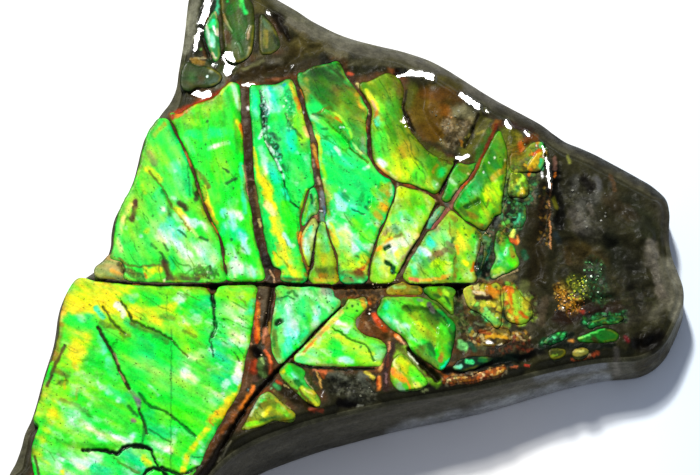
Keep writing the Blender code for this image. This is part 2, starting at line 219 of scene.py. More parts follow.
# Colour play of the rock
BROWN_FROM_PLATE, BROWN_BAND = 0.5 * MM, 0.9 * MM
BROWN_TO_X, BROWN_X_BAND = 13.0 * MM, 6.0 * MM
BROWN_FROM_BROW, BROWN_BROW_BAND = 0.8 * MM, 1.2 * MM
RUST_SHARE = 0.6
ROCK_PLAY = 0.22
WALL_CLOUDS, WALL_CLOUD_SQUEEZE = 0.16, 2.2
WALL_BANDS, WALL_BAND_SQUEEZE = 0.10, 3.0
# Painted light on the wall: darker on its left, lighter towards its right
WALL_DARK_SIDE, WALL_LIGHT_GAIN = 0.80, 0.25
WALL_LIGHT_FROM_X, WALL_LIGHT_BAND = -10.0 * MM, 45.0 * MM

# Noises that vary the materials: scale, detail, the noise's low and high ends and what these become
NACRE_MOTTLING = [(900.0, 4.0, 0.3, 0.7, 0.82, 1.16), (3500.0, 2.0, 0.3, 0.7, 0.85, 1.14),
                  (2600.0, 1.0, 0.685, 0.74, 1.0, 0.35)]
NACRE_ROUGHNESS = (1400.0, 3.0, 0.3, 0.7, 0.22, 0.42)
SHALE_MOTTLING = [(1500.0, 5.0, 0.28, 0.72, 0.75, 1.28), (5000.0, 2.0, 0.3, 0.7, 0.8, 1.2)]
SHALE_ROUGHNESS = (700.0, 3.0, 0.35, 0.65, 0.3, 0.6)

# Noises that roughen the materials: scale, detail and depth in metres
NACRE_BUMPS = [(1800.0, 4.0, 0.00004)]
SHALE_BUMPS = [(700.0, 5.0, 0.00012), (3000.0, 3.0, 0.00004)]
NOISE_ROUGHNESS = 0.6
SPECULAR_LEVEL = 0.06
COAT_ROUGHNESS = 0.2

# Spangles: reach, roundness, sides, tilt, half thickness, lift above the rock and shades; they lie on rock
# above a level
SPANGLE_REACH = (0.08 * MM, 0.23 * MM)
SPANGLE_ROUNDNESS = (0.6, 1.0)
SPANGLE_SIDES = (3, 4, 5)
SPANGLE_TILT = 0.25
SPANGLE_HALF_THICKNESS = 0.05 * MM
SPANGLE_LIFT = 0.03 * MM
SPANGLE_ROCK_ABOVE = 4.0 * MM
SPANGLE_SHADES = (0.7, 1.15)
TURN = 6.28


# Noise

def grain(x, y, size, octaves=3, seed=0):
    """Value noise from about -1 to 1 at places x, y, with its largest lumps one size across."""
    total, weight, gain = np.zeros(len(x)), 0.0, 1.0
    for octave in range(octaves):
        a, b = x / size * 2.0 ** octave + 17.3 * seed, y / size * 2.0 ** octave - 9.1 * seed
        column, row = np.floor(a).astype(np.int64), np.floor(b).astype(np.int64)
        s, t = a - column, b - row
        s, t = s * s * (3.0 - 2.0 * s), t * t * (3.0 - 2.0 * t)
        corners = [lattice(column + i, row + j, seed + octave) for j in (0, 1) for i in (0, 1)]
        low = corners[0] + (corners[1] - corners[0]) * s
        high = corners[2] + (corners[3] - corners[2]) * s
        total += gain * (low + (high - low) * t)
        weight += gain
        gain *= 0.55
    return total / weight * 1.4


def lattice(column, row, seed):
    """A repeatable value from -1 to 1 for each whole-number cell."""
    mixed = (column * 374761393 + row * 668265263 + seed * 974711 + 12345) & 0x7FFFFFFF
    mixed = ((mixed ^ (mixed >> 13)) * 1274126177) & 0x7FFFFFFF
    return ((mixed ^ (mixed >> 16)) & 0xFFFF) / 32767.5 - 1.0


def named_grain(name, x, y):
    """One of the named noises at places x, y, drawn out along x."""
    stretch, size, octaves, seed = NOISES[name]
    return grain(x / stretch, y, size, octaves, seed)


def smooth_step(value):
    """Nought below 0, one above 1 and a smooth rise between."""
    value = np.clip(value, 0.0, 1.0)
    return value * value * (3.0 - 2.0 * value)


def fields_of(name, places):
    """Soft fields from 0 to 1 cut from a named noise."""
    gain, offset = FIELDS[name]
    return smooth_step(named_grain(name, places[:, 0], places[:, 1]) * gain + offset)


def bell(value, middle, reach):
    """One at a middle value, falling off on both sides."""
    return np.exp(-((value - middle) / reach) ** 2)


# Places

def turned(x, y, degrees):
    """Coordinates along and across a direction given in degrees."""
    c, s = math.cos(math.radians(degrees)), math.sin(math.radians(degrees))
    return x * c + y * s, y * c - x * s


def direction(azimuth, elevation):
    """The unit direction of an azimuth and an elevation in degrees."""
    a, e = math.radians(azimuth), math.radians(elevation)
    return np.array((-math.sin(a) * math.cos(e), math.cos(a) * math.cos(e), math.sin(e)))


def shell_height(plan):
    """Height of the nacre's upper face at plan places."""
    x, y = plan[:, 0], plan[:, 1]
    crown = SHELL_CROWN * ((x / CROWN_REACH[0]) ** 2 + (y / CROWN_REACH[1]) ** 2) / 2.0
    ripple = np.array([noise.noise(Vector((a, b, 0.0)) / RIPPLE_SIZE) for a, b in plan])
    return SHELL_HEIGHT - SHELL_FALL_TO_RIGHT * x - crown + RIPPLE * ripple


def on_trace(plan, height):
    """Where places on the slab fall in the photograph's frame, in its steps right and down."""
    seen = plan[:, 1] * math.sin(TRACE_ELEVATION) + (height - SHELL_HEIGHT) * math.cos(TRACE_ELEVATION)
    return np.column_stack((TRACE_MIDDLE[0] + plan[:, 0] / TRACE_STEP, TRACE_MIDDLE[1] - seen / TRACE_STEP))


def face_outline(node, side):
    """Outline of a node's upper (side 1) or under (side -1) face in plan, counter-clockwise."""
    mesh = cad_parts[node].data
    numbers, places = {}, []
    for vertex in mesh.vertices:
        key = tuple(round(c / (0.001 * MM)) for c in vertex.co)
        places.append(numbers.setdefault(key, len(numbers)))
    where = {places[v.index]: (v.co.x, v.co.y) for v in mesh.vertices}
    steps = set()
    for face in mesh.polygons:
        if face.normal.z * side > 0.5:
            ring = [places[i] for i in face.vertices]
            steps.update(zip(ring, ring[1:] + ring[:1]))
    after = {a: b for a, b in steps if (b, a) not in steps}
    loop = [min(after)]
    while after[loop[-1]] != loop[0]:
        loop.append(after[loop[-1]])
    points = np.array([where[i] for i in loop])
    return points[::side]


def walked_along(line):
    """How far along a line each of its points lies."""
    return np.concatenate(([0.0], np.cumsum(np.linalg.norm(np.diff(line, axis=0), axis=1))))


def places_along(line, walked, wanted):
    """The places on a line at wanted distances along it."""
    return np.column_stack([np.interp(wanted, walked, line[:, k]) for k in (0, 1)])


def even_loop(points, spacing):
    """Even points on a Catmull-Rom curve through a closed loop."""
    p0, p1, p2, p3 = (np.roll(points, shift, axis=0)[:, None, :] for shift in (1, 0, -1, -2))
    t = np.linspace(0.0, 1.0, 24, endpoint=False)[None, :, None]
    curve = 0.5 * (2.0 * p1 + (p2 - p0) * t + (2.0 * p0 - 5.0 * p1 + 4.0 * p2 - p3) * t ** 2
                   + (3.0 * p1 - p0 - 3.0 * p2 + p3) * t ** 3)
    curve = curve.reshape(-1, 2)
    closed = np.vstack((curve, curve[:1]))
    walked = walked_along(closed)
    wanted = np.linspace(0.0, walked[-1], round(walked[-1] / spacing), endpoint=False)
    return places_along(closed, walked, wanted)


def outward(loop):
    """Unit normals that point out of a counter-clockwise loop."""
    along = np.roll(loop, -1, axis=0) - np.roll(loop, 1, axis=0)
    normals = np.column_stack((along[:, 1], -along[:, 0]))
    return normals / np.linalg.norm(normals, axis=1)[:, None]


def smoothed(values, times):
    """Values round a loop, blended with their neighbours a number of times."""
    for _ in range(times):
        values = (np.roll(values, 1, axis=0) + 2.0 * values + np.roll(values, -1, axis=0)) / 4.0
    return values


def inside(points, loop):
    """Which points lie inside a closed loop."""
    within = np.zeros(len(points), bool)
    near = np.flatnonzero(((points > loop.min(0)) & (points < loop.max(0))).all(1))
    for part in np.array_split(near, len(near) // 4000 + 1):
        x, y = points[part, 0][:, None], points[part, 1][:, None]
        x0, y0 = loop[:, 0], loop[:, 1]
        x1, y1 = np.roll(x0, -1), np.roll(y0, -1)
        spans = (y0 > y) != (y1 > y)
        rise = np.where(y1 == y0, 1.0, y1 - y0)
        within[part] = np.count_nonzero(spans & (x < x0 + (x1 - x0) * (y - y0) / rise), axis=1) % 2 == 1
    return within


def inside_any(points, loops):
    """Which points lie inside any of several loops."""
    within = np.zeros(len(points), bool)
    for loop in loops:
        within |= inside(points, loop)
    return within


def closest(points, samples):
    """For each point the nearest sample's index and its distance."""
    tree = kdtree.KDTree(len(samples))
    for i, (x, y) in enumerate(samples):
        tree.insert((x, y, 0.0), i)
    tree.balance()
    found = [tree.find((x, y, 0.0)) for x, y in points]
    return np.array([f[1] for f in found]), np.array([f[2] for f in found])


def distances(points, samples):
    """Distance from each point to the nearest sample."""
    return closest(points, samples)[1]


def clearance(points, loops):
    """How far points lie outside a set of loops, below zero inside them."""
    return distances(points, np.vstack(loops)) * np.where(inside_any(points, loops), -1.0, 1.0)


def grid_points(low, high, spacing):
    """Points of a triangular grid over a box in plan."""
    row_height = spacing * math.sqrt(0.75)
    rows = np.arange(math.floor(low[1] / row_height), math.ceil(high[1] / row_height) + 1)
    columns = np.arange(math.floor(low[0] / spacing) - 1, math.ceil(high[0] / spacing) + 2)
    column, row = np.meshgrid(columns, rows)
    points = np.column_stack(((column + 0.5 * (row % 2)).ravel() * spacing, row.ravel() * row_height))
    for axis, seed in enumerate(GRID_SEEDS):
        points[:, axis] += spacing * GRID_SPREAD * lattice(column.ravel(), row.ravel(), seed)
    return points


def points_within(loop, spacing, gap):
    """Grid points inside a loop that keep a gap, a share of their spacing, to it."""
    points = grid_points(loop.min(0), loop.max(0), spacing)
    points = points[inside(points, loop)]
    return points[distances(points, loop) > gap * spacing]


def triangles_in(loop, inner):
    """Triangles over a loop and the points inside it, as corner indices; the loop's points come first."""
    corners = [Vector(p) for p in np.vstack((loop, inner))]
    filled = delaunay_2d_cdt(corners, [], [list(range(len(loop)))], 1, 1e-9)
    return np.array([tuple(p) for p in filled[0]]), [tuple(f) for f in filled[2]]


# Painting

def near_line(uv, line):
    """Distance from places to a line of traced points."""
    line = np.array(line, float)
    if len(line) == 1:
        return np.linalg.norm(uv - line[0], axis=1)
    best = np.full(len(uv), np.inf)
    for a, b in zip(line[:-1], line[1:]):
        along = b - a
        share = np.clip(((uv - a) @ along) / (along @ along), 0.0, 1.0)
        best = np.minimum(best, np.linalg.norm(uv - a - share[:, None] * along, axis=1))
    return best


def reach_of(uv, line, width):
    """Indices of the places that a line of this half-width may touch."""
    line = np.array(line, float)
    low, high = line.min(0) - width, line.max(0) + width
    return np.flatnonzero(((uv > low) & (uv < high)).all(1))


def touch(uv, line, width, edge):
    """How strongly a line touches places, by its half-width and by its edge's reach and fade."""
    reach, fade = edge
    return smooth_step((reach - near_line(uv, line) / width) / fade)


def wander(uv):
    """The same places pushed about a little, softly and finely, so that strokes look grown."""
    soft, fine = (np.column_stack([named_grain("%s wander %s" % (kind, way), uv[:, 0], uv[:, 1])
                                   for way in ("across", "along")]) for kind in ("soft", "fine"))
    return uv + soft * SOFT_WANDER + fine * FINE_WANDER, uv + fine * TIGHT_WANDER


def put_strokes(paint, uv, strokes, streaks=None):
    """Lays soft strokes over a paint: each is a colour, a strength, a half-width and a line."""
    loose, tight = wander(uv)
    for colour, strength, width, *line in strokes:
        places = loose if width > LOOSE_FROM else tight
        near = reach_of(places, line, width * STROKE_MARGIN)
        if len(near) == 0:
            continue
        amount = strength * touch(places[near], line, width, STROKE_EDGE)
        if streaks is not None and width > STREAKED_FROM:
            amount = np.clip(amount * (STREAK_BASE + STREAK_SWING * streaks[near]), 0.0, 1.0)
        paint[near] += (np.array(colour) - paint[near]) * amount[:, None]


def put_creases(height, uv, creases):
    """Adds grooves (below zero) and ridges to a height: each is a height in mm, a half-width and a line."""
    tight = wander(uv)[1]
    for rise, width, *line in creases:
        near = reach_of(tight, line, width * CREASE_MARGIN)
        if len(near):
            height[near] += rise * MM * touch(tight[near], line, width, CREASE_EDGE)


def put_rough(height, uv, plan, patches):
    """Adds broken lumps: each patch has a height and a lump size in mm, a half-width and a line."""
    loose = wander(uv)[0]
    for i, (rise, size, width, *line) in enumerate(patches):
        near = reach_of(loose, line, width * PATCH_MARGIN)
        if len(near):
            lumps = grain(plan[near, 0], plan[near, 1], size * MM, PATCH_OCTAVES, PATCH_SEED + i)
            stepped = np.round(lumps * PATCH_LEVELS) / PATCH_LEVELS
            lumps = stepped * PATCH_STEPPED_SHARE + lumps * (1.0 - PATCH_STEPPED_SHARE)
            height[near] += rise * MM * lumps * touch(loose[near], line, width, PATCH_EDGE)


def put_facets(height, wet, uv, plan, facets):
    """Tilts small broken wet faces so that they throw the key light's glare at the camera."""
    tight = wander(uv)[1]
    half = direction(*KEY_LIGHT) + direction(*CAMERA_SIDE)
    for width, *line in facets:
        near = reach_of(tight, line, width * FACET_MARGIN)
        away = near_line(tight[near], line) / width
        near, away = near[away < 1.0], away[away < 1.0]
        if len(near) <= FACET_LEAST_POINTS:
            continue
        line = np.array(line, float)
        walked = walked_along(line)
        number = max(1, round(walked[-1] / (FACET_LENGTH * width)))
        stops = places_along(line, walked, (np.arange(number) + 0.5) / number * walked[-1])
        own = np.argmin(np.linalg.norm(tight[near][:, None] - stops[None], axis=2), axis=1)
        for stop in range(number):
            spot = near[own == stop]
            if len(spot) < FACET_LEAST_POINTS:
                continue
            middle, level = plan[spot].mean(0), height[spot].mean()
            flat = level - (plan[spot] - middle) @ (half[:2] / half[2])
            blend = smooth_step((1.0 - away[own == stop]) / FACET_FADE)
            height[spot] += (flat - height[spot]) * blend
            wet[spot] = np.maximum(wet[spot], blend)


def crumbs_at(spots, colours, patch):
    """The colour of the crumb that each place falls in, and how far the place is from that crumb's edge."""
    best = second = np.full(len(spots), CRUMB_FAR)
    kind = np.zeros(len(spots), int)
    cell = np.floor(spots).astype(np.int64)
    for p in (-1, 0, 1):
        for q in (-1, 0, 1):
            column, row = cell[:, 0] + p, cell[:, 1] + q
            shift = np.column_stack([lattice(column, row, seed + patch) for seed in CRUMB_SHIFT_SEEDS])
            away = np.linalg.norm(spots - np.column_stack((column, row)) - 0.5 - CRUMB_SHIFT * shift, axis=1)
            draw = (lattice(column, row, CRUMB_COLOUR_SEED + patch) + 1.0) * 0.5 * len(colours)
            closer = away < best
            second = np.where(closer, best, np.minimum(second, away))
            kind = np.where(closer, draw.astype(int), kind)
            best = np.where(closer, away, best)
    return np.array(colours)[np.clip(kind, 0, len(colours) - 1)], second - best


def put_mosaic(paint, uv, patches):
    """Lays patches of small crumbs, each in one of the patch's colours with a dark line round it."""
    loose, tight = wander(uv)
    for i, (cell, strength, width, colours, *line) in enumerate(patches):
        near = reach_of(loose, line, width * CRUMB_MARGIN)
        if len(near) == 0:
            continue
        crumbs, from_edge = crumbs_at(tight[near] / cell, colours, i)
        shade = CRUMB_LINE_SHADE + (1.0 - CRUMB_LINE_SHADE) * smooth_step(from_edge / CRUMB_LINE)
        amount = strength * touch(loose[near], line, width, CRUMB_EDGE)
        paint[near] += (crumbs * shade[:, None] - paint[near]) * amount[:, None]


def linear(paint):
    """Display colours as linear ones, less what the lights add on a level face."""
    paint = np.clip(paint, 0.0, 1.0)
    return np.where(paint <= 0.04045, paint / 12.92, ((paint + 0.055) / 1.055) ** 2.4) / EXPOSURE


def add_piece(name, corners, faces, paint, wet, material, nodes):
    """A painted, smooth mesh of one slot under the root body; it takes the place of the CAD nodes that are
    named, if any, which are hidden.
    """
    mesh = bpy.data.meshes.new(name)
    mesh.from_pydata(corners.tolist(), [], faces)
    mesh.shade_smooth()
    colours = mesh.color_attributes.new("paint", 'FLOAT_COLOR', 'POINT')
    colours.data.foreach_set("color", np.column_stack((linear(paint), np.ones(len(paint)))).ravel())
    wetness = mesh.attributes.new("wet", 'FLOAT', 'POINT')
    wetness.data.foreach_set("value", wet)
    mesh.materials.append(material)
    piece = bpy.data.objects.new(name, mesh)
    bpy.context.scene.collection.objects.link(piece)
    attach(piece, "root")
    if nodes:
        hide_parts(*nodes)
    return piece


# Display colours
GREEN = (0.10, 0.93, 0.22)
DARK_GREEN = (0.05, 0.30, 0.10)
EMERALD = (0.05, 0.85, 0.45)
CYAN = (0.20, 0.95, 0.70)
# Pale milky white: painted sheen and highlight on the nacre, laid partly over its own pale colour
MILK_AND_SHEEN = (0.85, 1.00, 0.88)
LIME = (0.50, 0.95, 0.12)
YELLOW = (0.93, 0.92, 0.10)
GOLD = (0.90, 0.68, 0.10)
ORANGE = (0.90, 0.45, 0.08)
RED = (0.70, 0.18, 0.06)
OLIVE = (0.38, 0.42, 0.08)
DARK_OLIVE = (0.22, 0.24, 0.07)
BROWN = (0.30, 0.19, 0.09)
DARK_BROWN = (0.17, 0.12, 0.06)
BLACK = (0.05, 0.05, 0.03)
ROCK = (0.175, 0.17, 0.095)
GREY = (0.42, 0.42, 0.38)
PALE_GREY = (0.62, 0.61, 0.55)
# Pure white, used for small dots and streaks of painted highlight
GLINT_WHITE = (1.0, 1.0, 1.0)
PALE_LIME = (0.75, 0.98, 0.60)
PALE_MINT = (0.60, 0.98, 0.62)
MINT = (0.45, 0.98, 0.65)
PALE_YELLOW = (0.95, 0.95, 0.60)
FOLD_GREEN = (0.36, 0.62, 0.05)
BRIGHT = (0.20, 0.98, 0.05)
TEAL_BLACK = (0.04, 0.20, 0.13)
SKY = (0.35, 0.85, 0.95)
PINK_BEIGE = (0.88, 0.70, 0.50)
# Dark green laid in the grooves of creases as painted shade
CREASE_SHADE = (0.12, 0.28, 0.02)
CRACK_GREEN = (0.02, 0.13, 0.04)
RIM_GREY = (0.30, 0.295, 0.22)
WALL_GREY = (0.37, 0.36, 0.31)
VEIN_BROWN = (0.32, 0.22, 0.11)
VEIN_RUST = (0.55, 0.27, 0.08)

# Each plate's ground colour, the fall of its streaks in degrees to the right, and its strokes. A stroke is a
# colour, a strength, a half-width and the places that it runs through
# White dots and streaks among the strokes are painted highlights, and milky ones are partly painted sheen
PLATE_LOOKS = {
    "left_shoulder_plate": ((.3, .93, .25), 60, [
        ((.5, .88, .2), .7, 14, (150, 160), (140, 190), (130, 230)),
        ((.6, .95, .55), .6, 14, (160, 230), (190, 250)), (GOLD, .6, 3, (164, 124), (153, 136)),
        (EMERALD, .6, 5, (170, 130), (176, 142)), ((.5, .6, .35), .6, 4, (149, 153), (154, 163)),
        (LIME, .6, 6, (160, 148), (165, 160)), (YELLOW, .9, 4, (147, 169), (152, 172), (160, 180)),
        (MINT, .6, 7, (175, 165), (180, 190)),
        (OLIVE, .8, 1.3, (149, 171), (155, 178), (162, 187), (168, 198), (172, 207), (180, 216),
         (190, 230)), (EMERALD, .6, 4, (184, 152), (189, 195)), (DARK_GREEN, .4, 1, (187, 165), (190, 195)),
        (MILK_AND_SHEEN, .5, 2.5, (175, 171)), (YELLOW, .5, 3, (142, 186), (145, 192)),
        (CYAN, .5, 6, (158, 195), (163, 210)), (MILK_AND_SHEEN, .8, 3, (163, 209)),
        (DARK_GREEN, .5, 3, (163, 192), (170, 202), (170, 215)),
        (BROWN, .9, 3.2, (135, 202), (135, 212), (132, 220)),
        (PALE_YELLOW, .6, 3, (130, 205), (123, 220), (119, 240), (121, 251)), (MILK_AND_SHEEN, .5, 2.5, (126, 228)),
        (MILK_AND_SHEEN, .5, 2.5, (141, 236)), (MILK_AND_SHEEN, .5, 2.5, (138, 218)), (YELLOW, .7, 3.5, (147, 231)),
        (DARK_GREEN, .8, 2.2, (152, 245), (156, 248)), (DARK_GREEN, .6, 1.5, (153, 216)),
        (DARK_GREEN, .7, 1.5, (163, 243), (168, 250)), (MILK_AND_SHEEN, .85, 6, (163, 232), (172, 238), (182, 230)),
        (MILK_AND_SHEEN, .9, 6, (178, 247), (186, 255)), (MILK_AND_SHEEN, .9, 5, (194, 222), (205, 226)),
        (MILK_AND_SHEEN, .75, 7, (205, 243), (212, 255)), (PALE_LIME, .6, 6, (190, 262), (210, 264)),
        (CYAN, .5, 5, (170, 222), (176, 236)), (CYAN, .5, 4, (192, 240), (198, 247)),
        (GREEN, .6, 4, (200, 230), (205, 237)), (YELLOW, .9, 3.5, (176, 209), (183, 215), (188, 221)),
        (PALE_YELLOW, .6, 2, (188, 223), (197, 236)), (DARK_OLIVE, .85, 3.5, (180, 203), (186, 208)),
        (LIME, .6, 7, (192, 203), (203, 213)), (DARK_BROWN, .8, 3, (197, 192), (196, 199)),
        (OLIVE, .8, 1.6, (120, 258), (128, 265), (140, 267), (155, 265), (165, 266)),
        (YELLOW, .95, 4.5, (147, 272), (159, 271)), (ORANGE, .8, 1.5, (145, 274), (147, 278)),
        (OLIVE, .6, 3, (127, 270), (143, 276)), (BROWN, .7, 4, (164, 262), (170, 275)),
        (EMERALD, .7, 3, (171, 258), (173, 268)), (BLACK, .7, 2, (210, 266), (209, 278)),
        (MILK_AND_SHEEN, .8, 1.5, (212, 273)), (MILK_AND_SHEEN, .8, 1.5, (213, 278)), (MILK_AND_SHEEN, .8, 1.5, (207, 272)),
        (OLIVE, .6, 3, (178, 276), (205, 276)), (LIME, .6, 4, (219, 268), (217, 277)),
        (MILK_AND_SHEEN, .85, 5, (186, 218), (200, 224)), (MILK_AND_SHEEN, .8, 6, (196, 246), (214, 264)),
        (MILK_AND_SHEEN, .7, 5, (160, 238), (178, 246)), (PALE_MINT, .7, 6, (184, 266), (216, 258)),
        ((.45, .95, .75), .7, 5, (164, 226), (184, 236)), (GREEN, .6, 4, (200, 228), (206, 238)),
        (DARK_GREEN, .7, 1.4, (178, 230), (186, 236)), (DARK_GREEN, .7, 1.6, (200, 237), (208, 241)),
        ((.3, .33, .16), .85, 2.6, (168, 278), (198, 279)), (GLINT_WHITE, .9, 2, (165, 280)),
        (DARK_GREEN, .7, 1.6, (160, 252), (168, 262))]),
    "left_corner_flake": ((.62, .66, .34), 10, [
        ((.3, .28, .12), .9, 3, (96, 278), (122, 277)), ((.3, .32, .14), .9, 3, (120, 264), (126, 274)),
        (GOLD, .7, 3, (112, 270), (120, 275))]),
    "left_panel_plate": ((.15, .95, .15), 75, [
        ((.42, .78, .1), .85, 9, (180, 124), (205, 112), (232, 98)),
        ((.45, .95, .1), .7, 12, (222, 175), (215, 165)),
        ((.55, .9, .5), .6, 12, (190, 225), (200, 250), (215, 268)),
        ((.45, .7, .12), .7, 6, (200, 108), (225, 96)),
        (RED, .9, 3, (170, 118), (178, 111), (188, 105), (196, 101)),
        (ORANGE, .9, 3, (176, 116), (186, 110), (193, 105)),
        (YELLOW, .6, 2.5, (195, 104), (205, 100), (212, 98)),
        (RED, .8, 2.5, (216, 93), (222, 86), (229, 82)), (YELLOW, .7, 2, (221, 93), (226, 86), (231, 82)),
        (LIME, .5, 5, (195, 108), (220, 108)),
        ((.2, .75, .1), .5, 4, (178, 126), (200, 128), (215, 124), (232, 122)),
        ((.05, .85, .3), .5, 6, (226, 98), (228, 122)), (LIME, .6, 4, (188, 120), (203, 124)),
        ((.03, .98, .45), .7, 6, (188, 134), (230, 132)), (LIME, .5, 3, (204, 126), (205, 140)),
        (MILK_AND_SHEEN, .75, 3, (209, 148), (218, 145), (228, 143)), (PALE_MINT, .7, 3.5, (185, 139), (193, 152)),
        (MILK_AND_SHEEN, .7, 3.5, (232, 86), (236, 95), (239, 108)), (FOLD_GREEN, .5, 4, (236, 112), (238, 150)),
        (YELLOW, .8, 2.5, (237, 121), (240, 127)), (ORANGE, .9, 2.5, (240, 125), (243, 135), (244, 143)),
        (LIME, .7, 8, (225, 168), (222, 182)), (DARK_GREEN, .8, 1.5, (226, 162)),
        (DARK_GREEN, .8, 1.3, (224, 169), (229, 172)), (DARK_GREEN, .8, 2, (226, 183), (236, 179)),
        (DARK_GREEN, .8, 1.5, (233, 189)), (DARK_GREEN, .8, 1, (215, 172)), (DARK_GREEN, .8, 2, (207, 121)),
        (DARK_GREEN, .8, 1.2, (205, 144)), (DARK_GREEN, .8, 1, (195, 143)),
        (OLIVE, .7, 3, (196, 171), (203, 178), (209, 187)),
        (YELLOW, .8, 3, (204, 187), (207, 198), (210, 207), (213, 214)),
        (GOLD, .8, 2, (205, 203), (211, 212)), (GOLD, .8, 2, (213, 216), (217, 224)),
        (CYAN, .8, 3.5, (241, 165), (243, 180), (245, 200)),
        (PINK_BEIGE, .8, 1.3, (243, 166), (246, 180), (247, 192)), (CYAN, .7, 9, (228, 230), (240, 235)),
        (MILK_AND_SHEEN, .8, 5, (226, 213), (240, 217)), (MILK_AND_SHEEN, .7, 5, (228, 226), (233, 227)),
        (MILK_AND_SHEEN, .95, 6, (244, 242), (246, 252)), (MILK_AND_SHEEN, .4, 7, (232, 205)), (TEAL_BLACK, .6, 2, (230, 222)),
        (TEAL_BLACK, .6, 2.5, (238, 254)), (TEAL_BLACK, .6, 2, (232, 240)), (TEAL_BLACK, .6, 2, (235, 262)),
        (LIME, .6, 3, (230, 255)), (MILK_AND_SHEEN, .6, 5, (236, 268)), (EMERALD, .7, 3, (246, 264)),
        (LIME, .6, 3, (250, 270), (257, 274)), (OLIVE, .7, 1.5, (243, 266), (250, 268), (257, 273)),
        ((.5, .95, .85), .75, 5, (226, 214), (232, 222)), ((.65, .98, .9), .8, 5, (240, 236), (246, 252)),
        (PALE_MINT, .75, 7, (236, 262), (252, 274)), (PALE_LIME, .7, 5, (232, 266), (234, 278)),
        (CYAN, .6, 3, (243, 190), (245, 212)), ((.78, 1, .82), .9, 7, (232, 268), (254, 272)),
        ((.6, .98, .85), .8, 5, (228, 248), (236, 258))]),
    "tall_panel_plate": ((.1, .93, .35), 70, [
        ((.85, .9, .12), .85, 6.5, (262, 172), (270, 200), (280, 232), (294, 262), (300, 278)),
        ((.95, .8, .1), .7, 4, (282, 255), (292, 272)),
        ((.75, .85, .12), .85, 4, (292, 84), (298, 104), (304, 122)),
        ((.4, .8, .15), .7, 7, (296, 120), (304, 150)), (SKY, .8, 3, (266, 88), (280, 87)),
        # The milky white strokes at the panel's top are painted glare
        ((.3, .6, .9), .6, 2.5, (284, 84)), (MILK_AND_SHEEN, .98, 6, (265, 92), (270, 98), (268, 107)),
        (MILK_AND_SHEEN, .95, 3, (266, 110), (267, 113)), (MILK_AND_SHEEN, .8, 2, (262, 87)),
        ((.1, .95, .65), .9, 4, (253, 90), (254, 105), (255, 118)),
        (TEAL_BLACK, .95, 3, (262, 105), (262, 115), (263, 128)),
        (TEAL_BLACK, .8, 1.5, (260, 90), (261, 102)), (MILK_AND_SHEEN, .95, 1.2, (264, 116)),
        (MILK_AND_SHEEN, .95, 1.2, (266, 120)), (MILK_AND_SHEEN, .95, 1.2, (264, 124)),
        (MILK_AND_SHEEN, .9, 2, (259, 138), (263, 132), (268, 127)), ((.45, .9, .7), .8, 6, (278, 92), (276, 108)),
        (MILK_AND_SHEEN, .9, 1.3, (283, 106)), (MILK_AND_SHEEN, .9, 1.3, (286, 100)), (MILK_AND_SHEEN, .9, 1.3, (289, 107)),
        (TEAL_BLACK, .7, 1.3, (286, 103)), (TEAL_BLACK, .7, 1.3, (288, 96)),
        (GREEN, .8, 6, (275, 118), (285, 116)), (LIME, .85, 6, (294, 117), (300, 127), (305, 137)),
        (DARK_GREEN, .6, 1.5, (285, 113), (288, 122), (295, 130), (302, 138)), (CYAN, .6, 4, (283, 130)),
        ((.05, .95, .7), .9, 7, (288, 135), (292, 148)), ((.04, .35, .2), .8, 3, (271, 134), (279, 140)),
        ((.04, .35, .2), .8, 3, (276, 145), (278, 158)), ((.04, .35, .2), .7, 2.5, (283, 165), (286, 170)),
        ((.02, .2, .08), .85, 1.3, (264, 138), (270, 152), (276, 163), (283, 175), (286, 190), (291, 202),
         (301, 210)), (MILK_AND_SHEEN, .95, 1.6, (266, 141), (271, 150), (274, 154)),
        (MILK_AND_SHEEN, .95, 1.6, (276, 160), (281, 170)), (MILK_AND_SHEEN, .95, 1.6, (283, 175), (284, 178)),
        (MILK_AND_SHEEN, .7, 5, (258, 148), (263, 160), (266, 172)), (CYAN, .6, 5, (270, 165), (277, 178)),
        (YELLOW, .95, 2.5, (252, 148), (255, 160), (258, 175), (264, 186), (270, 197), (275, 210)),
        (YELLOW, .9, 4, (262, 180), (270, 192)), (PALE_YELLOW, .85, 5, (267, 205), (273, 212)),
        (YELLOW, .9, 4.5, (272, 220), (277, 235), (280, 250), (287, 262), (295, 275)),
        (GOLD, .8, 2.5, (277, 243), (280, 252)), (GOLD, .8, 2, (274, 253), (279, 258)),
        (YELLOW, .95, 8, (278, 258), (290, 258)), (YELLOW, .9, 6, (285, 272), (300, 275)),
        (BROWN, .6, 2, (283, 279), (303, 280)), (BRIGHT, .8, 8, (286, 208), (292, 232)),
        (MILK_AND_SHEEN, .98, 4.5, (284, 235), (288, 243)), (MILK_AND_SHEEN, .8, 3.5, (292, 246)), (MINT, .5, 4, (290, 262)),
        (LIME, .7, 4, (300, 260), (300, 268)), (MILK_AND_SHEEN, .7, 2.5, (297, 153)), (MILK_AND_SHEEN, .7, 2.5, (297, 184)),
        (TEAL_BLACK, .7, 1.2, (291, 149)), (TEAL_BLACK, .7, 1.2, (302, 145)),
        (TEAL_BLACK, .7, 1.2, (298, 168)), (TEAL_BLACK, .7, 1.2, (305, 178)),
        (TEAL_BLACK, .7, 1.2, (299, 190)), (TEAL_BLACK, .7, 1.2, (299, 202)),
        (CYAN, .8, 3, (284, 190), (288, 198)),
        ((.75, .95, .1), .8, 2.5, (308, 190), (303, 205), (300, 220)),
        (PALE_YELLOW, .8, 2.5, (304, 128), (308, 136)), (ORANGE, .9, 2.5, (296, 98), (299, 108)),
        (ORANGE, .9, 2.5, (299, 233), (300, 240)), (GOLD, .8, 1.5, (301, 250), (303, 262)),
        (ORANGE, .8, 3, (306, 275))]),
    "fork_sliver_plate": ((.08, .8, .36), 70, [
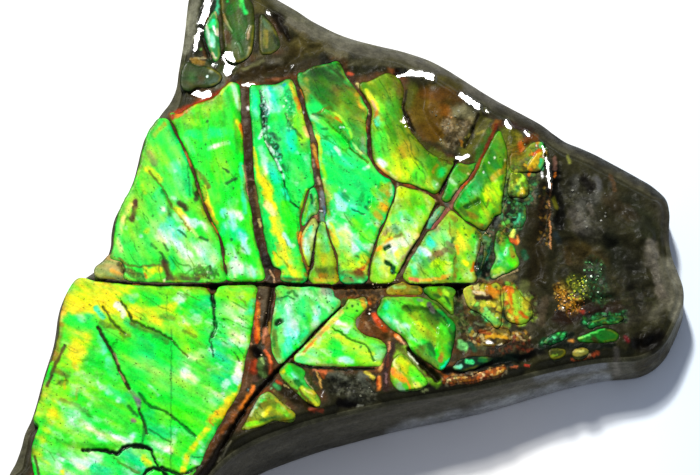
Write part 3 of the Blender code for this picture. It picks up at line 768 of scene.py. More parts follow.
        (CYAN, .8, 2, (306, 222), (309, 212)), (TEAL_BLACK, .7, 1.5, (311, 195), (312, 203)),
        (PALE_LIME, .6, 1.5, (316, 195), (314, 205)), (LIME, .7, 2, (303, 224), (305, 212), (309, 200))]),
    "fork_wedge_plate": ((.74, .8, .38), 80, [
        (CYAN, .7, 3, (311, 228), (306, 238)), (MILK_AND_SHEEN, .98, 4, (307, 240), (307, 253)),
        (ORANGE, .9, 2, (301, 236), (301, 246)), (YELLOW, .8, 2, (303, 250), (305, 258), (308, 265))]),
    "olive_wedge_plate": ((.62, .78, .1), 80, [
        ((.35, .7, .35), .8, 5, (320, 225), (326, 233)), ((.45, .85, .35), .8, 6, (323, 240), (325, 250)),
        ((.6, .75, .1), .8, 6, (325, 262), (333, 265)), (OLIVE, .9, 5, (318, 268), (333, 270)),
        ((.7, .48, .05), .9, 4, (322, 276), (335, 277)),
        ((.85, .7, .1), .95, 2, (315, 279), (325, 280), (335, 280))]),
    "centre_panel_plate": ((.07, .93, .38), 40, [
        # Dark olive strokes at the top, where the face curves away towards the back rim, are painted shade
        ((.22, .44, .07), .95, 14, (338, 64), (328, 82)), ((.5, .6, .08), .8, 5, (304, 92), (306, 106)),
        ((.35, .5, .06), .85, 7, (352, 96), (358, 112)),
        ((.32, .58, .08), .9, 15, (312, 85), (335, 95), (345, 118)),
        ((.42, .62, .1), .85, 10, (352, 100), (362, 130)),
        ((.75, .95, .3), .75, 12, (335, 245), (350, 268), (368, 270)),
        (PALE_LIME, .7, 9, (340, 235), (356, 250)), ((.16, .42, .1), .95, 14, (310, 80), (335, 85)),
        ((.12, .28, .08), .9, 10, (318, 70), (340, 74)), ((.2, .35, .1), .8, 6, (338, 88), (345, 92)),
        ((.18, .5, .12), .9, 10, (318, 92), (330, 96)), ((.55, .6, .2), .7, 4, (305, 80), (307, 93)),
        ((.45, .65, .3), .7, 3, (299, 76), (301, 86)),
        ((.5, .8, .4), .7, 2, (304, 72), (308, 68), (314, 64)),
        ((.45, .42, .12), .8, 9, (335, 95), (350, 95)), ((.38, .62, .1), .85, 10, (335, 104), (350, 112)),
        ((.5, .45, .08), .8, 5, (355, 105), (362, 112)), (GOLD, .9, 3.5, (357, 95), (360, 103), (363, 107)),
        ((.4, .8, .1), .8, 8, (335, 110), (348, 118)), ((.35, .65, .1), .85, 10, (355, 118), (358, 132)),
        ((.25, .6, .15), .8, 6, (356, 135), (358, 145)), ((.45, .65, .4), .8, 4.5, (362, 142), (363, 152)),
        ((.2, .95, .3), .9, 6, (308, 104), (318, 110), (324, 112)),
        ((.5, .45, .05), .8, 2, (318, 113), (325, 108), (330, 108), (337, 116), (342, 122)),
        ((.85, .5, .05), .8, 1.5, (335, 118), (341, 122)),
        ((.6, 1, .2), .9, 1.6, (330, 110), (338, 116), (345, 122), (349, 130), (352, 138)),
        ((.42, .62, .1), .9, 4, (322, 115), (332, 122), (340, 130), (348, 140)),
        ((.5, .6, .15), .7, 3, (325, 113), (333, 120)),
        ((.15, .42, .05), .9, 1.5, (312, 114), (321, 115), (330, 125), (338, 133), (346, 142), (352, 150),
         (368, 163)), (GLINT_WHITE, .9, 1.3, (341, 128)), (GLINT_WHITE, .9, 1.3, (344, 128)),
        ((.7, .95, .7), .8, 4, (313, 117), (318, 120)),
        (YELLOW, .95, 2.5, (313, 123), (317, 133), (319, 145)),
        ((.7, .95, .15), .9, 2, (320, 146), (321, 162)), ((.35, .95, .25), .8, 6, (325, 122), (330, 128)),
        (DARK_GREEN, .6, 1.5, (322, 129), (327, 129)), ((.3, 1, .2), .7, 7, (330, 135), (345, 147)),
        ((.1, .9, .2), .8, 4, (338, 136), (345, 146)), ((.05, 1, .6), .7, 8, (328, 145), (335, 150)),
        (MILK_AND_SHEEN, .9, 2.5, (336, 148), (340, 154)), (CYAN, .7, 5, (343, 160), (352, 164)),
        (MILK_AND_SHEEN, .8, 2.5, (364, 169), (368, 167)),
        ((.75, .95, .45), .9, 1.8, (353, 143), (357, 149), (361, 154)),
        (LIME, .9, 2.5, (322, 165), (326, 178)),
        ((.85, .95, .4), .9, 4.5, (325, 180), (328, 190), (330, 196)),
        ((.6, .75, .1), .8, 3, (327, 200), (329, 215)), ((.35, 1, .1), .7, 5, (333, 190), (335, 196)),
        (GLINT_WHITE, .95, 2.5, (345, 191)), (MILK_AND_SHEEN, .6, 1, (340, 188)),
        ((0, .45, .2), .75, 3, (343, 195), (348, 200)), ((.5, 1, .82), .9, 5, (338, 197), (343, 206)),
        (CYAN, .5, 6, (352, 200), (355, 212)), ((.05, .55, .2), .6, 3, (362, 195), (360, 205)),
        (TEAL_BLACK, .7, 2, (369, 202)), (TEAL_BLACK, .6, 1.8, (366, 207), (368, 210)),
        (TEAL_BLACK, .5, 1.5, (356, 205)), (DARK_GREEN, .7, 1, (352, 210), (358, 212), (364, 215)),
        ((.5, .85, .1), .8, 5, (374, 190), (373, 215)),
        ((.76, .7, .1), .95, 7, (385, 188), (383, 205), (379, 220)), (GOLD, .8, 3, (388, 185), (388, 198)),
        (YELLOW, .6, 3, (382, 183), (386, 188)), (PALE_YELLOW, .7, 1.6, (391, 184), (391, 195)),
        ((.1, .7, .3), .7, 5, (374, 182), (379, 186)), (PALE_LIME, .8, 1.3, (376, 187)),
        (PALE_MINT, .8, 7, (333, 222), (343, 232)), ((.8, 1, .75), .85, 6, (345, 235), (350, 240)),
        ((.35, 1, .15), .8, 9, (358, 226), (370, 238)), ((.55, 1, .1), .7, 6, (362, 238), (370, 242)),
        ((.94, 1, .92), .97, 7, (350, 241), (358, 247)), ((.95, .98, .85), .9, 4, (366, 247), (371, 247)),
        ((.8, 1, .8), .8, 5, (348, 228), (348, 234)),
        (YELLOW, .95, 3.5, (331, 225), (334, 238), (337, 245)), (GOLD, .7, 1.5, (329, 230), (333, 240)),
        ((.5, .9, .2), .8, 8, (345, 258), (360, 262)), (OLIVE, .7, 1.5, (355, 257), (359, 257)),
        (PALE_YELLOW, .7, 4, (350, 255)), (YELLOW, .95, 5, (368, 253), (362, 265)),
        (ORANGE, .85, 2.5, (360, 271), (364, 268)), (ORANGE, .7, 1.5, (366, 266), (370, 259)),
        ((.65, .95, .1), .7, 5, (342, 266), (355, 268)),
        ((.45, .3, .05), .95, 5, (343, 276), (350, 277), (362, 276)),
        ((.6, .42, .05), .7, 3, (345, 280), (350, 280)), ((.5, .28, .28), .7, 3, (352, 280), (356, 280)),
        ((.2, .42, .06), .8, 8, (318, 84), (332, 104)), ((.36, .55, .07), .75, 8, (346, 96), (356, 122)),
        ((.75, .9, .2), .6, 5, (344, 236), (352, 262))]),
    "olive_panel_plate": ((.35, .58, .05), 65, [
        ((.6, .9, .12), .85, 12, (385, 150), (400, 172), (425, 180)),
        # The dark olive strokes at the top, where the face curves away towards the back rim, are painted
        # shade
        ((.45, .82, .1), .8, 9, (378, 120), (384, 150)), ((.25, .25, .05), .9, 8, (385, 68), (400, 72)),
        ((.33, .4, .05), .85, 10, (395, 80), (403, 90)), ((.32, .55, .05), .8, 9, (385, 85), (390, 97)),
        ((.4, .42, .08), .8, 6, (403, 85), (402, 100)), ((.4, .72, .15), .8, 8, (384, 110), (388, 118)),
        ((.5, .95, .1), .9, 4, (376, 98), (382, 110)),
        ((.85, .98, .1), .98, 3, (367, 91), (372, 99), (378, 108)),
        ((.55, .75, .15), .8, 3, (370, 82), (376, 79)), ((.7, .6, .4), .9, 1.5, (372, 101), (376, 110)),
        ((.7, .5, .1), .9, 2, (377, 111), (375, 117)), ((.3, .95, .3), .9, 4, (380, 126), (383, 124)),
        ((.15, .92, .65), .98, 3.5, (377, 119), (378, 124)),
        ((.42, .95, .2), .95, 6, (377, 135), (378, 156)), ((.45, .8, .15), .6, 6, (388, 140), (390, 150)),
        ((.6, .9, .2), .8, 1.2, (386, 133), (390, 142)), ((.55, .65, .1), .8, 8, (405, 145), (412, 155)),
        ((.45, .75, .1), .7, 6, (398, 140)), ((.7, .98, .05), .9, 9, (394, 163), (410, 165)),
        ((.88, 1, .05), .98, 8, (398, 172), (405, 172)), ((.88, 1, .93), .95, 4, (379, 161), (384, 165)),
        ((.98, .88, .45), .95, 2.5, (377, 165), (383, 170), (390, 174), (396, 179)),
        ((.95, .65, .2), .8, 1.5, (380, 168), (388, 174)), ((.45, .9, .1), .8, 6, (418, 172), (424, 178)),
        ((.4, .7, .15), .7, 5, (420, 160), (428, 165)), ((.3, .5, .05), .5, 1, (416, 172), (417, 180)),
        ((.7, .9, .1), .8, 4, (424, 186)), ((.95, .85, .1), .9, 4, (429, 180), (431, 187)),
        ((.65, .5, .05), .8, 2, (433, 172), (437, 165)), ((.6, 1, .75), .95, 3.5, (434, 182), (437, 187)),
        (MILK_AND_SHEEN, .9, 2, (437, 184)), ((.2, .8, .3), .9, 4, (440, 175), (444, 170)),
        ((.3, .28, .06), .8, 3, (440, 158), (452, 163)), ((.5, .55, .2), .6, 2, (403, 108), (404, 122)),
        (GLINT_WHITE, .9, 1.8, (402, 121))]),
    "centre_right_plate": ((.58, .86, .12), 70, [
        ((.8, .95, .3), .7, 10, (400, 205), (395, 240), (385, 265)),
        ((.7, .95, .05), .9, 5, (403, 192), (412, 192)), ((.55, .75, .1), .9, 7, (402, 203), (415, 205)),
        ((.6, .85, .1), .7, 5, (420, 197)), ((.35, .95, .1), .9, 7, (412, 212), (420, 212)),
        ((.5, .9, .5), .8, 6, (403, 214), (410, 218)), ((.45, .95, .4), .7, 5, (395, 218), (400, 220)),
        ((.8, .98, .4), .8, 5, (415, 220), (420, 216)), ((.5, .7, .4), .9, 5, (395, 228), (398, 232)),
        ((.98, .98, .4), .95, 7, (413, 228), (410, 240)), ((.98, .95, .62), .8, 4, (417, 235), (413, 243)),
        ((.55, .5, .3), .8, 3, (388, 230), (384, 234)), ((.45, .4, .2), .7, 2, (395, 237), (402, 235)),
        ((.6, .95, .5), .9, 6, (376, 262), (383, 270)), ((.75, .95, .15), .9, 3.5, (382, 238), (387, 242)),
        ((.95, .7, .1), .95, 2.2, (376, 250), (383, 246), (388, 241), (391, 239)),
        ((.9, 1, .92), .97, 7, (391, 248), (398, 255)), ((.98, .98, .75), .9, 5, (396, 243), (404, 243)),
        ((.9, .95, .3), .8, 5, (398, 257), (403, 252)), ((.75, .98, .45), .8, 4, (395, 262)),
        ((.7, .95, .35), .8, 4, (384, 260)), ((.03, .25, .08), .95, 2.5, (385, 249), (389, 246)),
        ((.03, .25, .08), .95, 2.6, (386, 262), (391, 265)),
        ((.03, .25, .15), .95, 3, (393, 268), (393, 272)), (CYAN, .8, 1.2, (392, 270)),
        ((.5, .45, .1), .6, 1, (404, 238), (409, 245)),
        ((.8, .68, .48), .85, 1.5, (411, 246), (405, 256), (400, 262)),
        ((.7, .95, .3), .9, 5, (382, 272), (388, 275))]),
    "slanted_sliver_plate": ((.2, .66, .14), 55, [
        ((.3, .5, .1), .8, 5, (462, 168), (468, 170)), ((.45, .85, .55), .8, 3, (451, 180), (455, 184)),
        ((.2, .85, .2), .9, 5, (448, 190), (453, 188)), (PALE_MINT, .8, 2.5, (443, 196), (446, 192)),
        ((.45, .85, .5), .8, 2.5, (452, 196), (456, 190)), (GLINT_WHITE, .9, 1.8, (469, 174)),
        ((.15, .65, .2), .8, 5, (460, 180), (464, 176))]),
    "cyan_wedge_plate": ((.35, .7, .52), 55, [((.5, .88, .72), .9, 3, (434, 216), (438, 213))]),
    "right_panel_plate": ((.27, .66, .06), 60, [
        ((.25, .6, .1), .9, 6, (497, 140), (500, 148)), ((.18, .5, .15), .85, 7, (492, 155), (496, 165)),
        ((.35, .5, .08), .8, 5, (500, 152), (504, 158)), ((.12, .45, .12), .8, 6, (485, 168), (488, 178)),
        ((.1, .75, .3), .95, 8, (466, 195), (476, 186)), ((.1, .8, .35), .8, 6, (462, 200), (468, 192)),
        ((.15, .6, .2), .8, 6, (478, 185), (482, 177)), ((.75, .9, .05), .95, 7, (488, 196), (495, 186)),
        ((.65, .98, .05), .95, 6, (498, 184), (499, 197)), ((.85, .7, .1), .9, 4, (493, 179), (500, 172)),
        ((.6, .5, .1), .9, 2.5, (506, 163), (503, 172)), ((.6, .98, .1), .9, 6, (491, 208), (485, 215)),
        ((.5, .45, .08), .9, 5, (470, 213), (474, 217)),
        (DARK_GREEN, .9, 3, (466, 207), (472, 204), (478, 202)),
        ((.3, .4, .1), .8, 3.5, (461, 209), (466, 214)), ((.5, .85, .1), .9, 5, (482, 220), (487, 217)),
        ((.6, .5, .15), .8, 2.5, (477, 223), (482, 226)), (GLINT_WHITE, .9, 1.3, (484, 172)),
        (GLINT_WHITE, .9, 1.5, (495, 158)), (GLINT_WHITE, .9, 1.5, (505, 160)), (GLINT_WHITE, .9, 1.2, (490, 163)),
        (OLIVE, .7, 1, (489, 200), (487, 208))]),
    "lower_right_plate": ((.5, .8, .18), 60, [
        ((.4, .85, .3), .9, 5, (450, 222), (445, 228)), ((.5, .55, .15), .7, 3, (452, 217), (456, 219)),
        ((.6, .98, .5), .9, 9, (440, 235), (445, 242)), ((.5, .72, .48), .8, 4, (432, 234), (438, 228)),
        ((.25, .98, .8), .95, 6, (427, 243), (433, 246)), ((.78, 1, .98), .98, 5, (421, 250), (425, 253)),
        ((.2, .9, .5), .9, 5, (415, 256), (419, 262)), ((.4, .95, .5), .8, 4, (414, 266), (415, 272)),
        ((.45, .42, .25), .95, 4.5, (432, 256), (440, 253), (452, 249)),
        ((.5, .45, .3), .8, 3, (448, 243), (453, 246)), ((.4, .6, .35), .7, 4, (425, 262), (432, 259)),
        ((.75, .98, .05), .95, 7, (436, 266), (445, 268)), ((.45, .9, .1), .95, 7, (428, 274), (438, 274)),
        ((.3, .7, .2), .7, 5, (420, 268), (424, 264)), ((.9, .9, .1), .9, 4, (446, 268), (450, 265)),
        ((.9, .7, .15), .9, 3, (443, 277), (450, 275)), ((.95, .75, .1), .95, 2, (420, 280), (440, 279)),
        ((.95, .5, .3), .95, 2.5, (411, 279), (417, 280)),
        ((.55, .45, .12), .9, 2.5, (455, 258), (456, 270), (454, 279)),
        ((.75, .85, .05), .95, 6, (463, 232), (470, 232)), ((.95, .95, .1), .98, 7, (463, 242), (466, 250)),
        (GOLD, .8, 1.5, (457, 246), (458, 254)), ((.35, .9, .2), .9, 3.5, (474, 236), (478, 244)),
        ((.65, .97, .6), .9, 3, (478, 243), (476, 252)), ((.5, .95, .1), .9, 4, (464, 256), (468, 253)),
        ((.7, .95, .6), .8, 3.5, (470, 258)), ((.98, .98, .1), .95, 3, (463, 262), (466, 264)),
        ((.5, .9, .5), .8, 3, (458, 266)), ((.75, .8, .2), .8, 3, (462, 270)),
        ((.6, .85, .2), .9, 5, (464, 276), (468, 270)), (ORANGE, .95, 1.8, (472, 270), (474, 263)),
        (DARK_GREEN, .8, 1.5, (466, 235)), (DARK_GREEN, .8, 1.5, (474, 237)),
        (DARK_GREEN, .8, 1.2, (468, 240)), (DARK_GREEN, .8, 1.2, (464, 228)),
        (DARK_GREEN, .8, 1.2, (467, 254)), (DARK_GREEN, .7, 1.6, (453, 238), (452, 242)),
        (DARK_BROWN, .8, 1.5, (448, 279)), (OLIVE, .6, 1, (449, 222), (451, 236))]),
    "bright_flake": ((.2, .78, .2), 60, [
        ((.4, .6, .15), .9, 4, (502, 235), (502, 243)), ((.25, .65, .25), .9, 4, (496, 242), (497, 248)),
        ((.2, .95, .5), .95, 2.8, (508, 246), (506, 254)), ((.6, 1, .8), .9, 1.4, (507, 248), (505, 255)),
        ((.2, .95, .1), .95, 5, (508, 260), (511, 262)), ((.05, .85, .4), .95, 4, (499, 262), (501, 256)),
        ((.05, .6, .4), .9, 2, (499, 261)), ((.5, .6, .15), .8, 3, (511, 248), (514, 256)),
        ((.6, .9, .2), .95, 4, (495, 272), (503, 270)), (PALE_LIME, .9, 1.8, (492, 278), (503, 273))]),
    "teal_shard": ((.36, .66, .33), 60, [
        ((.25, .6, .4), .9, 3, (489, 254)), ((.14, .15, .13), .9, 4, (482, 262), (483, 268))]),
    "teal_flake": ((.18, .5, .3), 60, [
        ((.3, .8, .35), .9, 3.5, (514, 203), (510, 206)), ((.05, .15, .08), .95, 5, (511, 213), (515, 218)),
        ((.65, .75, .4), .9, 2, (516, 207)), ((.2, .65, .45), .9, 3.5, (522, 212), (520, 219)),
        ((.4, .9, .6), .95, 2.2, (518, 223), (518, 226)), ((.45, .8, .4), .95, 3.5, (507, 221), (510, 225)),
        (PALE_LIME, .8, 1, (523, 217))]),
    "yellow_flake": ((.8, .95, .08), 60, [
        (YELLOW, .98, 3, (518, 180), (514, 187)), (GOLD, .8, 1.2, (519, 177)),
        ((.3, .85, .35), .95, 3, (519, 186), (517, 190)), (OLIVE, .9, 1.8, (523, 183), (524, 188)),
        ((.98, .86, .1), .98, 3.4, (524, 191), (524, 195))]),
    "gold_ridge_flake": ((.5, .56, .14), 30, [
        ((.45, .42, .06), .9, 8, (514, 150), (518, 166)), ((.6, .42, .06), .8, 4, (520, 152)),
        ((.5, .62, .15), .8, 4, (536, 166)), ((.4, .85, .35), .95, 3, (542, 144), (543, 148)),
        ((.85, .8, .1), .9, 2, (541, 149), (543, 151)), ((.88, .45, .05), .98, 3.2, (543, 153), (538, 156)),
        ((.96, .88, .1), .98, 3.2, (534, 160), (531, 166)),
        ((.88, .55, .05), .95, 2.5, (535, 165), (532, 170)),
        ((.15, .78, .42), .98, 3.5, (542, 161), (542, 167)), ((.5, .75, .1), .9, 3, (538, 163)),
        ((.48, .54, .52), .9, 2.2, (537, 148), (536, 151)), (GREY, .8, 3.5, (522, 163), (526, 160)),
        (GLINT_WHITE, .9, 1.3, (537, 145))]),
    "big_lower_left_plate": ((.22, .93, .18), 30, [
        (YELLOW, .85, 9, (84, 282), (70, 296), (64, 316)), (PALE_YELLOW, .6, 4, (66, 300), (60, 330)),
        ((.55, .42, .1), .9, 4, (62, 325), (60, 345), (56, 358)),
        ((.7, .93, .15), .7, 6, (48, 385), (40, 410), (34, 425)),
        ((.72, .92, .1), .8, 22, (100, 300), (150, 310), (180, 320)),
        ((.62, .94, .12), .7, 16, (75, 330), (62, 400), (50, 430)),
        ((.4, .97, .35), .6, 24, (150, 360), (200, 390)), ((.55, .98, .55), .6, 20, (60, 462), (140, 462)),
        (YELLOW, .95, 9, (88, 290), (130, 290)), (YELLOW, .95, 12, (76, 300), (112, 302)),
        (YELLOW, .85, 8, (70, 312), (80, 305)), (LIME, .8, 6, (135, 290), (160, 292), (205, 290)),
        (LIME, .7, 8, (165, 300), (200, 312)), (YELLOW, .95, 7, (133, 312), (150, 315), (162, 323)),
        (YELLOW, .8, 6, (140, 304), (165, 308), (183, 306)), (GREEN, .7, 6, (146, 297), (154, 299)),
        (EMERALD, .6, 8, (205, 303), (194, 315)), (CYAN, .6, 4, (126, 297), (134, 300)),
        (MILK_AND_SHEEN, .7, 4, (132, 297), (136, 296)), (MILK_AND_SHEEN, .85, 5, (180, 296), (182, 306)),
        (OLIVE, .5, 4, (163, 316), (173, 318)), (MILK_AND_SHEEN, .6, 5, (188, 322), (198, 319)),
        (GREEN, .7, 6, (182, 312), (194, 300)), (GREEN, .8, 14, (140, 340), (175, 350)),
        (EMERALD, .5, 9, (140, 345), (150, 350)), (LIME, .8, 6, (165, 328), (195, 332)),
        (OLIVE, .5, 2, (184, 331), (196, 336)), (LIME, .8, 5, (178, 335), (187, 350)),
        (PALE_LIME, .6, 5, (190, 356), (212, 352)), (OLIVE, .4, 3, (197, 364), (212, 374)),
        (MILK_AND_SHEEN, .75, 8, (186, 372), (193, 379)), (MILK_AND_SHEEN, .3, 8, (183, 358), (185, 366)),
        (EMERALD, .7, 14, (214, 336), (222, 354), (222, 378)), (CYAN, .4, 9, (216, 345), (225, 365)),
        (MILK_AND_SHEEN, .9, 6, (240, 364), (239, 379)), (PALE_LIME, .75, 14, (232, 312), (238, 336)),
        (MILK_AND_SHEEN, .7, 5, (241, 310)), (MILK_AND_SHEEN, .7, 5, (244, 337)), (MILK_AND_SHEEN, .7, 5, (229, 342)),
        (LIME, .8, 6, (219, 294), (250, 296)), (GREEN, .7, 5, (245, 346), (232, 352)),
        (CYAN, .6, 5, (253, 303), (248, 312)), (GREEN, .8, 8, (72, 320), (90, 326)),
        (EMERALD, .6, 6, (91, 315)), (MILK_AND_SHEEN, .6, 5, (82, 317)),
        (FOLD_GREEN, .8, 5, (103, 322), (116, 327), (128, 335)), (CYAN, .8, 3.5, (97, 308), (104, 317)),
        (MILK_AND_SHEEN, .9, 4.5, (119, 303), (125, 313)), (EMERALD, .6, 5, (129, 320), (136, 326)),
        (YELLOW, .9, 12, (82, 338), (78, 352)), (GOLD, .5, 3, (75, 363), (78, 367)),
        (MINT, .7, 5, (100, 337), (107, 350)), (MINT, .5, 5, (110, 360), (117, 376)),
        (LIME, .6, 14, (76, 378), (90, 396)), (OLIVE, .6, 4, (58, 371), (70, 374)),
        (OLIVE, .6, 3.5, (62, 382), (68, 381)), (GOLD, .5, 1.5, (67, 378), (66, 388)),
        (GOLD, .5, 1.5, (78, 388), (78, 398)), (OLIVE, .6, 2.5, (63, 399), (80, 405), (94, 416)),
        (PALE_MINT, .6, 12, (72, 412), (86, 428)), (YELLOW, .6, 6, (55, 402), (50, 420), (45, 440)),
        (PALE_YELLOW, .6, 4, (52, 426)), (MILK_AND_SHEEN, .95, 6, (104, 433), (120, 437), (133, 438)),
        (MILK_AND_SHEEN, .7, 4, (90, 424), (104, 434)), (CYAN, .6, 6, (112, 388), (122, 400)),
        (MILK_AND_SHEEN, .5, 3.5, (120, 399)), (MILK_AND_SHEEN, .4, 3, (100, 383), (112, 392)),
        (EMERALD, .6, 5, (130, 394), (127, 403)), (YELLOW, .5, 7, (40, 445), (46, 470)),
        ((.15, .75, .05), .8, 4, (62, 441), (80, 444), (110, 446), (120, 443)),
        (MILK_AND_SHEEN, .95, 7, (72, 457), (88, 461), (98, 457)), (YELLOW, .7, 4, (64, 471)),
        (EMERALD, .8, 7, (96, 470), (108, 472)), (GREEN, .8, 9, (110, 456), (124, 468)),
        (EMERALD, .7, 9, (128, 455), (142, 470)), (OLIVE, .6, 1.8, (120, 460), (130, 466), (140, 471)),
        (YELLOW, .7, 4, (145, 456), (151, 464)), (MILK_AND_SHEEN, .6, 3, (150, 386), (158, 394)),
        (LIME, .7, 4, (140, 382), (155, 395)), (BRIGHT, .8, 10, (182, 412), (205, 425)),
        (EMERALD, .6, 8, (150, 415), (152, 428), (172, 432)), (MILK_AND_SHEEN, .9, 6, (154, 442), (168, 448)),
        (MILK_AND_SHEEN, .5, 4, (175, 437)), (CYAN, .7, 6, (196, 459), (204, 452)),
        (YELLOW, .95, 5, (243, 385), (232, 397), (222, 411), (211, 421)),
        (YELLOW, .85, 3.5, (209, 427), (198, 440), (188, 455), (184, 469)),
        (GOLD, .7, 3.5, (210, 419), (218, 412)), (ORANGE, .6, 1.2, (210, 420), (214, 425)),
        (PALE_YELLOW, .6, 3, (240, 393), (243, 388)), (EMERALD, .6, 3, (216, 428), (206, 446)),
        (MILK_AND_SHEEN, .35, 6, (214, 401), (227, 391)),
        # Painted shade along the creases: dark green in their grooves and olive beside them
        (CREASE_SHADE, .9, 1.6, (122, 302), (129, 311), (133, 320), (145, 326), (158, 331), (168, 337),
         (172, 339)), (OLIVE, .6, 3.5, (133, 323), (150, 331), (168, 341)),
        (CREASE_SHADE, .7, 1.2, (172, 339), (181, 349), (189, 356)),
        (CREASE_SHADE, .8, 1.3, (103, 306), (108, 313), (113, 321), (121, 329), (126, 333)),
        (DARK_BROWN, .9, 2, (99, 327), (104, 336), (109, 344), (114, 352), (118, 362), (122, 372),
         (127, 381), (131, 388)), (PINK_BEIGE, .7, 1, (115, 352), (120, 363)),
        (PINK_BEIGE, .7, 1, (121, 371), (126, 380)),
        ((.55, .5, .55), .9, 3.3, (133, 391), (139, 398), (140, 406)),
        (DARK_BROWN, .8, 1.4, (140, 408), (143, 416), (146, 424), (148, 432)),
        (DARK_GREEN, .5, 2, (141, 412), (146, 420), (145, 436), (143, 442)),
        ((.5, .45, .5), .8, 3, (135, 419)), (DARK_GREEN, .7, 2, (130, 405), (138, 415)),
        (DARK_GREEN, .7, 1.8, (140, 392), (146, 400), (152, 406), (160, 407), (168, 412), (176, 418),
         (186, 426), (196, 435)), (DARK_GREEN, .6, 1.2, (150, 428), (160, 434), (172, 441)),
        (CRACK_GREEN, .98, 2.3, (85, 449), (100, 448), (112, 450), (120, 452), (126, 446)),
        (CRACK_GREEN, .98, 3, (126, 446), (133, 444), (147, 445), (151, 447)),
        (CRACK_GREEN, .98, 1.5, (151, 447), (155, 455), (158, 463), (161, 468)),
        (CRACK_GREEN, .98, 2.2, (163, 466), (170, 469), (182, 473), (192, 470), (201, 465)),
        (CRACK_GREEN, .98, 2, (145, 474), (148, 469), (155, 466), (163, 468), (168, 474)),
        (DARK_GREEN, .35, 1, (172, 330), (172, 400), (172, 470)),
        (DARK_GREEN, .3, 1, (167, 295), (168, 316)), (OLIVE, .5, .9, (185, 293), (200, 300)),
        (OLIVE, .5, .9, (240, 297), (247, 305)), (CRACK_GREEN, .95, 3, (212, 293), (214, 306)),
        (CRACK_GREEN, .8, 2, (214, 308), (215, 318)),
        (CRACK_GREEN, .95, 2.5, (215, 320), (216, 328), (212, 336)),
        (CRACK_GREEN, .6, 1.1, (210, 338), (213, 350), (214, 356)),
        (DARK_GREEN, .6, .9, (194, 455), (205, 456)), (DARK_GREEN, .7, 1.2, (235, 352), (240, 360)),
        (DARK_GREEN, .7, 1, (244, 357), (248, 355)), (DARK_GREEN, .8, 1, (228, 297)),
        (DARK_GREEN, .8, 1, (243, 316)), (DARK_GREEN, .8, 1, (234, 324)), (DARK_GREEN, .8, 1, (243, 326)),
        (DARK_GREEN, .8, 1, (233, 335)), (DARK_GREEN, .8, 1, (246, 336)), (DARK_GREEN, .8, 1, (225, 333)),
        (DARK_GREEN, .8, 1, (240, 342)), (BROWN, .8, 2, (66, 345), (62, 354), (56, 366), (49, 385)),
        (BROWN, .8, 1.5, (37, 455), (42, 475))]),
    "lower_middle_plate": ((.32, .9, .36), 70, [
        ((.6, .95, .35), .9, 6, (281, 291), (295, 291)),
        ((.1, .35, .1), .7, 2, (288, 293), (293, 291), (297, 296)), ((.35, .85, .4), .7, 4, (298, 292)),
        ((.05, .3, .1), .7, 1, (281, 297), (288, 296), (294, 299)),
        ((0, .4, .3), .8, 2.5, (278, 299), (281, 299)), (MINT, .8, 4, (279, 303), (277, 309)),
        ((.6, .65, .45), .9, 6, (325, 292), (335, 294)), ((.5, .7, .3), .7, 5, (312, 293), (318, 296)),
        ((.78, .95, .62), .8, 4, (318, 299), (334, 299)),
        # Milky and white strokes along the ridge are a painted highlight
        (MILK_AND_SHEEN, .98, 7, (290, 306), (289, 316), (291, 328)), (GLINT_WHITE, .8, 3, (290, 310), (290, 324)),
        (MILK_AND_SHEEN, .8, 5, (295, 318), (293, 332)), ((.7, 1, .9), .9, 5, (287, 332), (294, 336)),
        ((.1, .98, .35), .9, 5, (301, 303), (303, 312)), ((.2, .95, .15), .9, 5, (309, 316), (308, 322)),
        ((.1, .85, .4), .6, 3, (300, 312), (305, 318)), ((.6, 1, .82), .9, 5, (316, 309), (317, 316)),
        (MILK_AND_SHEEN, .8, 4, (317, 312)), ((.55, .95, .35), .8, 5, (322, 302), (330, 306)),
        (DARK_GREEN, .8, 1.5, (327, 302)), (DARK_GREEN, .8, 1.1, (319, 307)),
        (DARK_GREEN, .8, 1.2, (333, 308)), ((.2, 1, .6), .8, 7, (308, 334), (302, 344)),
        (MILK_AND_SHEEN, .6, 4, (314, 325), (318, 323)), ((.15, .95, .2), .9, 4, (295, 346), (299, 349)),
        ((.3, .98, .7), .9, 6, (290, 342), (286, 350)), ((.1, .98, .45), .9, 5, (284, 356), (289, 354)),
        ((.35, .55, .15), .85, 4, (275, 332), (275, 345), (278, 355)),
        ((.55, .95, .35), .7, 3.5, (281, 330), (282, 340)),
        ((.15, .45, .1), .7, 1.6, (274, 337), (275, 345)),
        ((.03, .08, .02), 1, 3.3, (277, 323), (281, 321)),
        ((.8, .85, .65), .7, 1.2, (275, 305), (273, 318))]),
    "lower_centre_plate": ((.5, .97, .2), 15, [
        ((.6, .85, .25), .8, 5, (352, 305), (358, 302)), (GOLD, .9, 3, (362, 300), (365, 307)),
        ((.55, .95, .2), .9, 5, (350, 313), (346, 310)), (DARK_GREEN, .9, 1.5, (341, 315)),
        (DARK_GREEN, .9, 1.5, (357, 311)), (DARK_GREEN, .9, 1.5, (352, 306)),
        (DARK_GREEN, .9, 1.2, (358, 304)), (DARK_GREEN, .9, 1.2, (347, 308)),
        ((.4, .98, .2), .9, 5, (343, 317), (352, 318)),
        ((.93, 1, .95), .98, 4.5, (337, 324), (343, 324), (349, 328)), ((.75, 1, .8), .8, 3, (352, 324)),
        ((.55, .95, .4), .9, 5, (355, 331), (362, 336)),
        (DARK_GREEN, .6, 1, (354, 328), (361, 332), (366, 337)),
        ((.75, .95, .2), .9, 5, (335, 333), (340, 337)), (PALE_YELLOW, .7, 3, (330, 331)),
        ((.5, .98, .2), .9, 7, (325, 338), (320, 344)), ((.15, .98, .25), .9, 7, (334, 345), (336, 352)),
        ((.7, .98, .15), .9, 7, (345, 343), (352, 350)), (DARK_GREEN, .8, 1, (354, 348)),
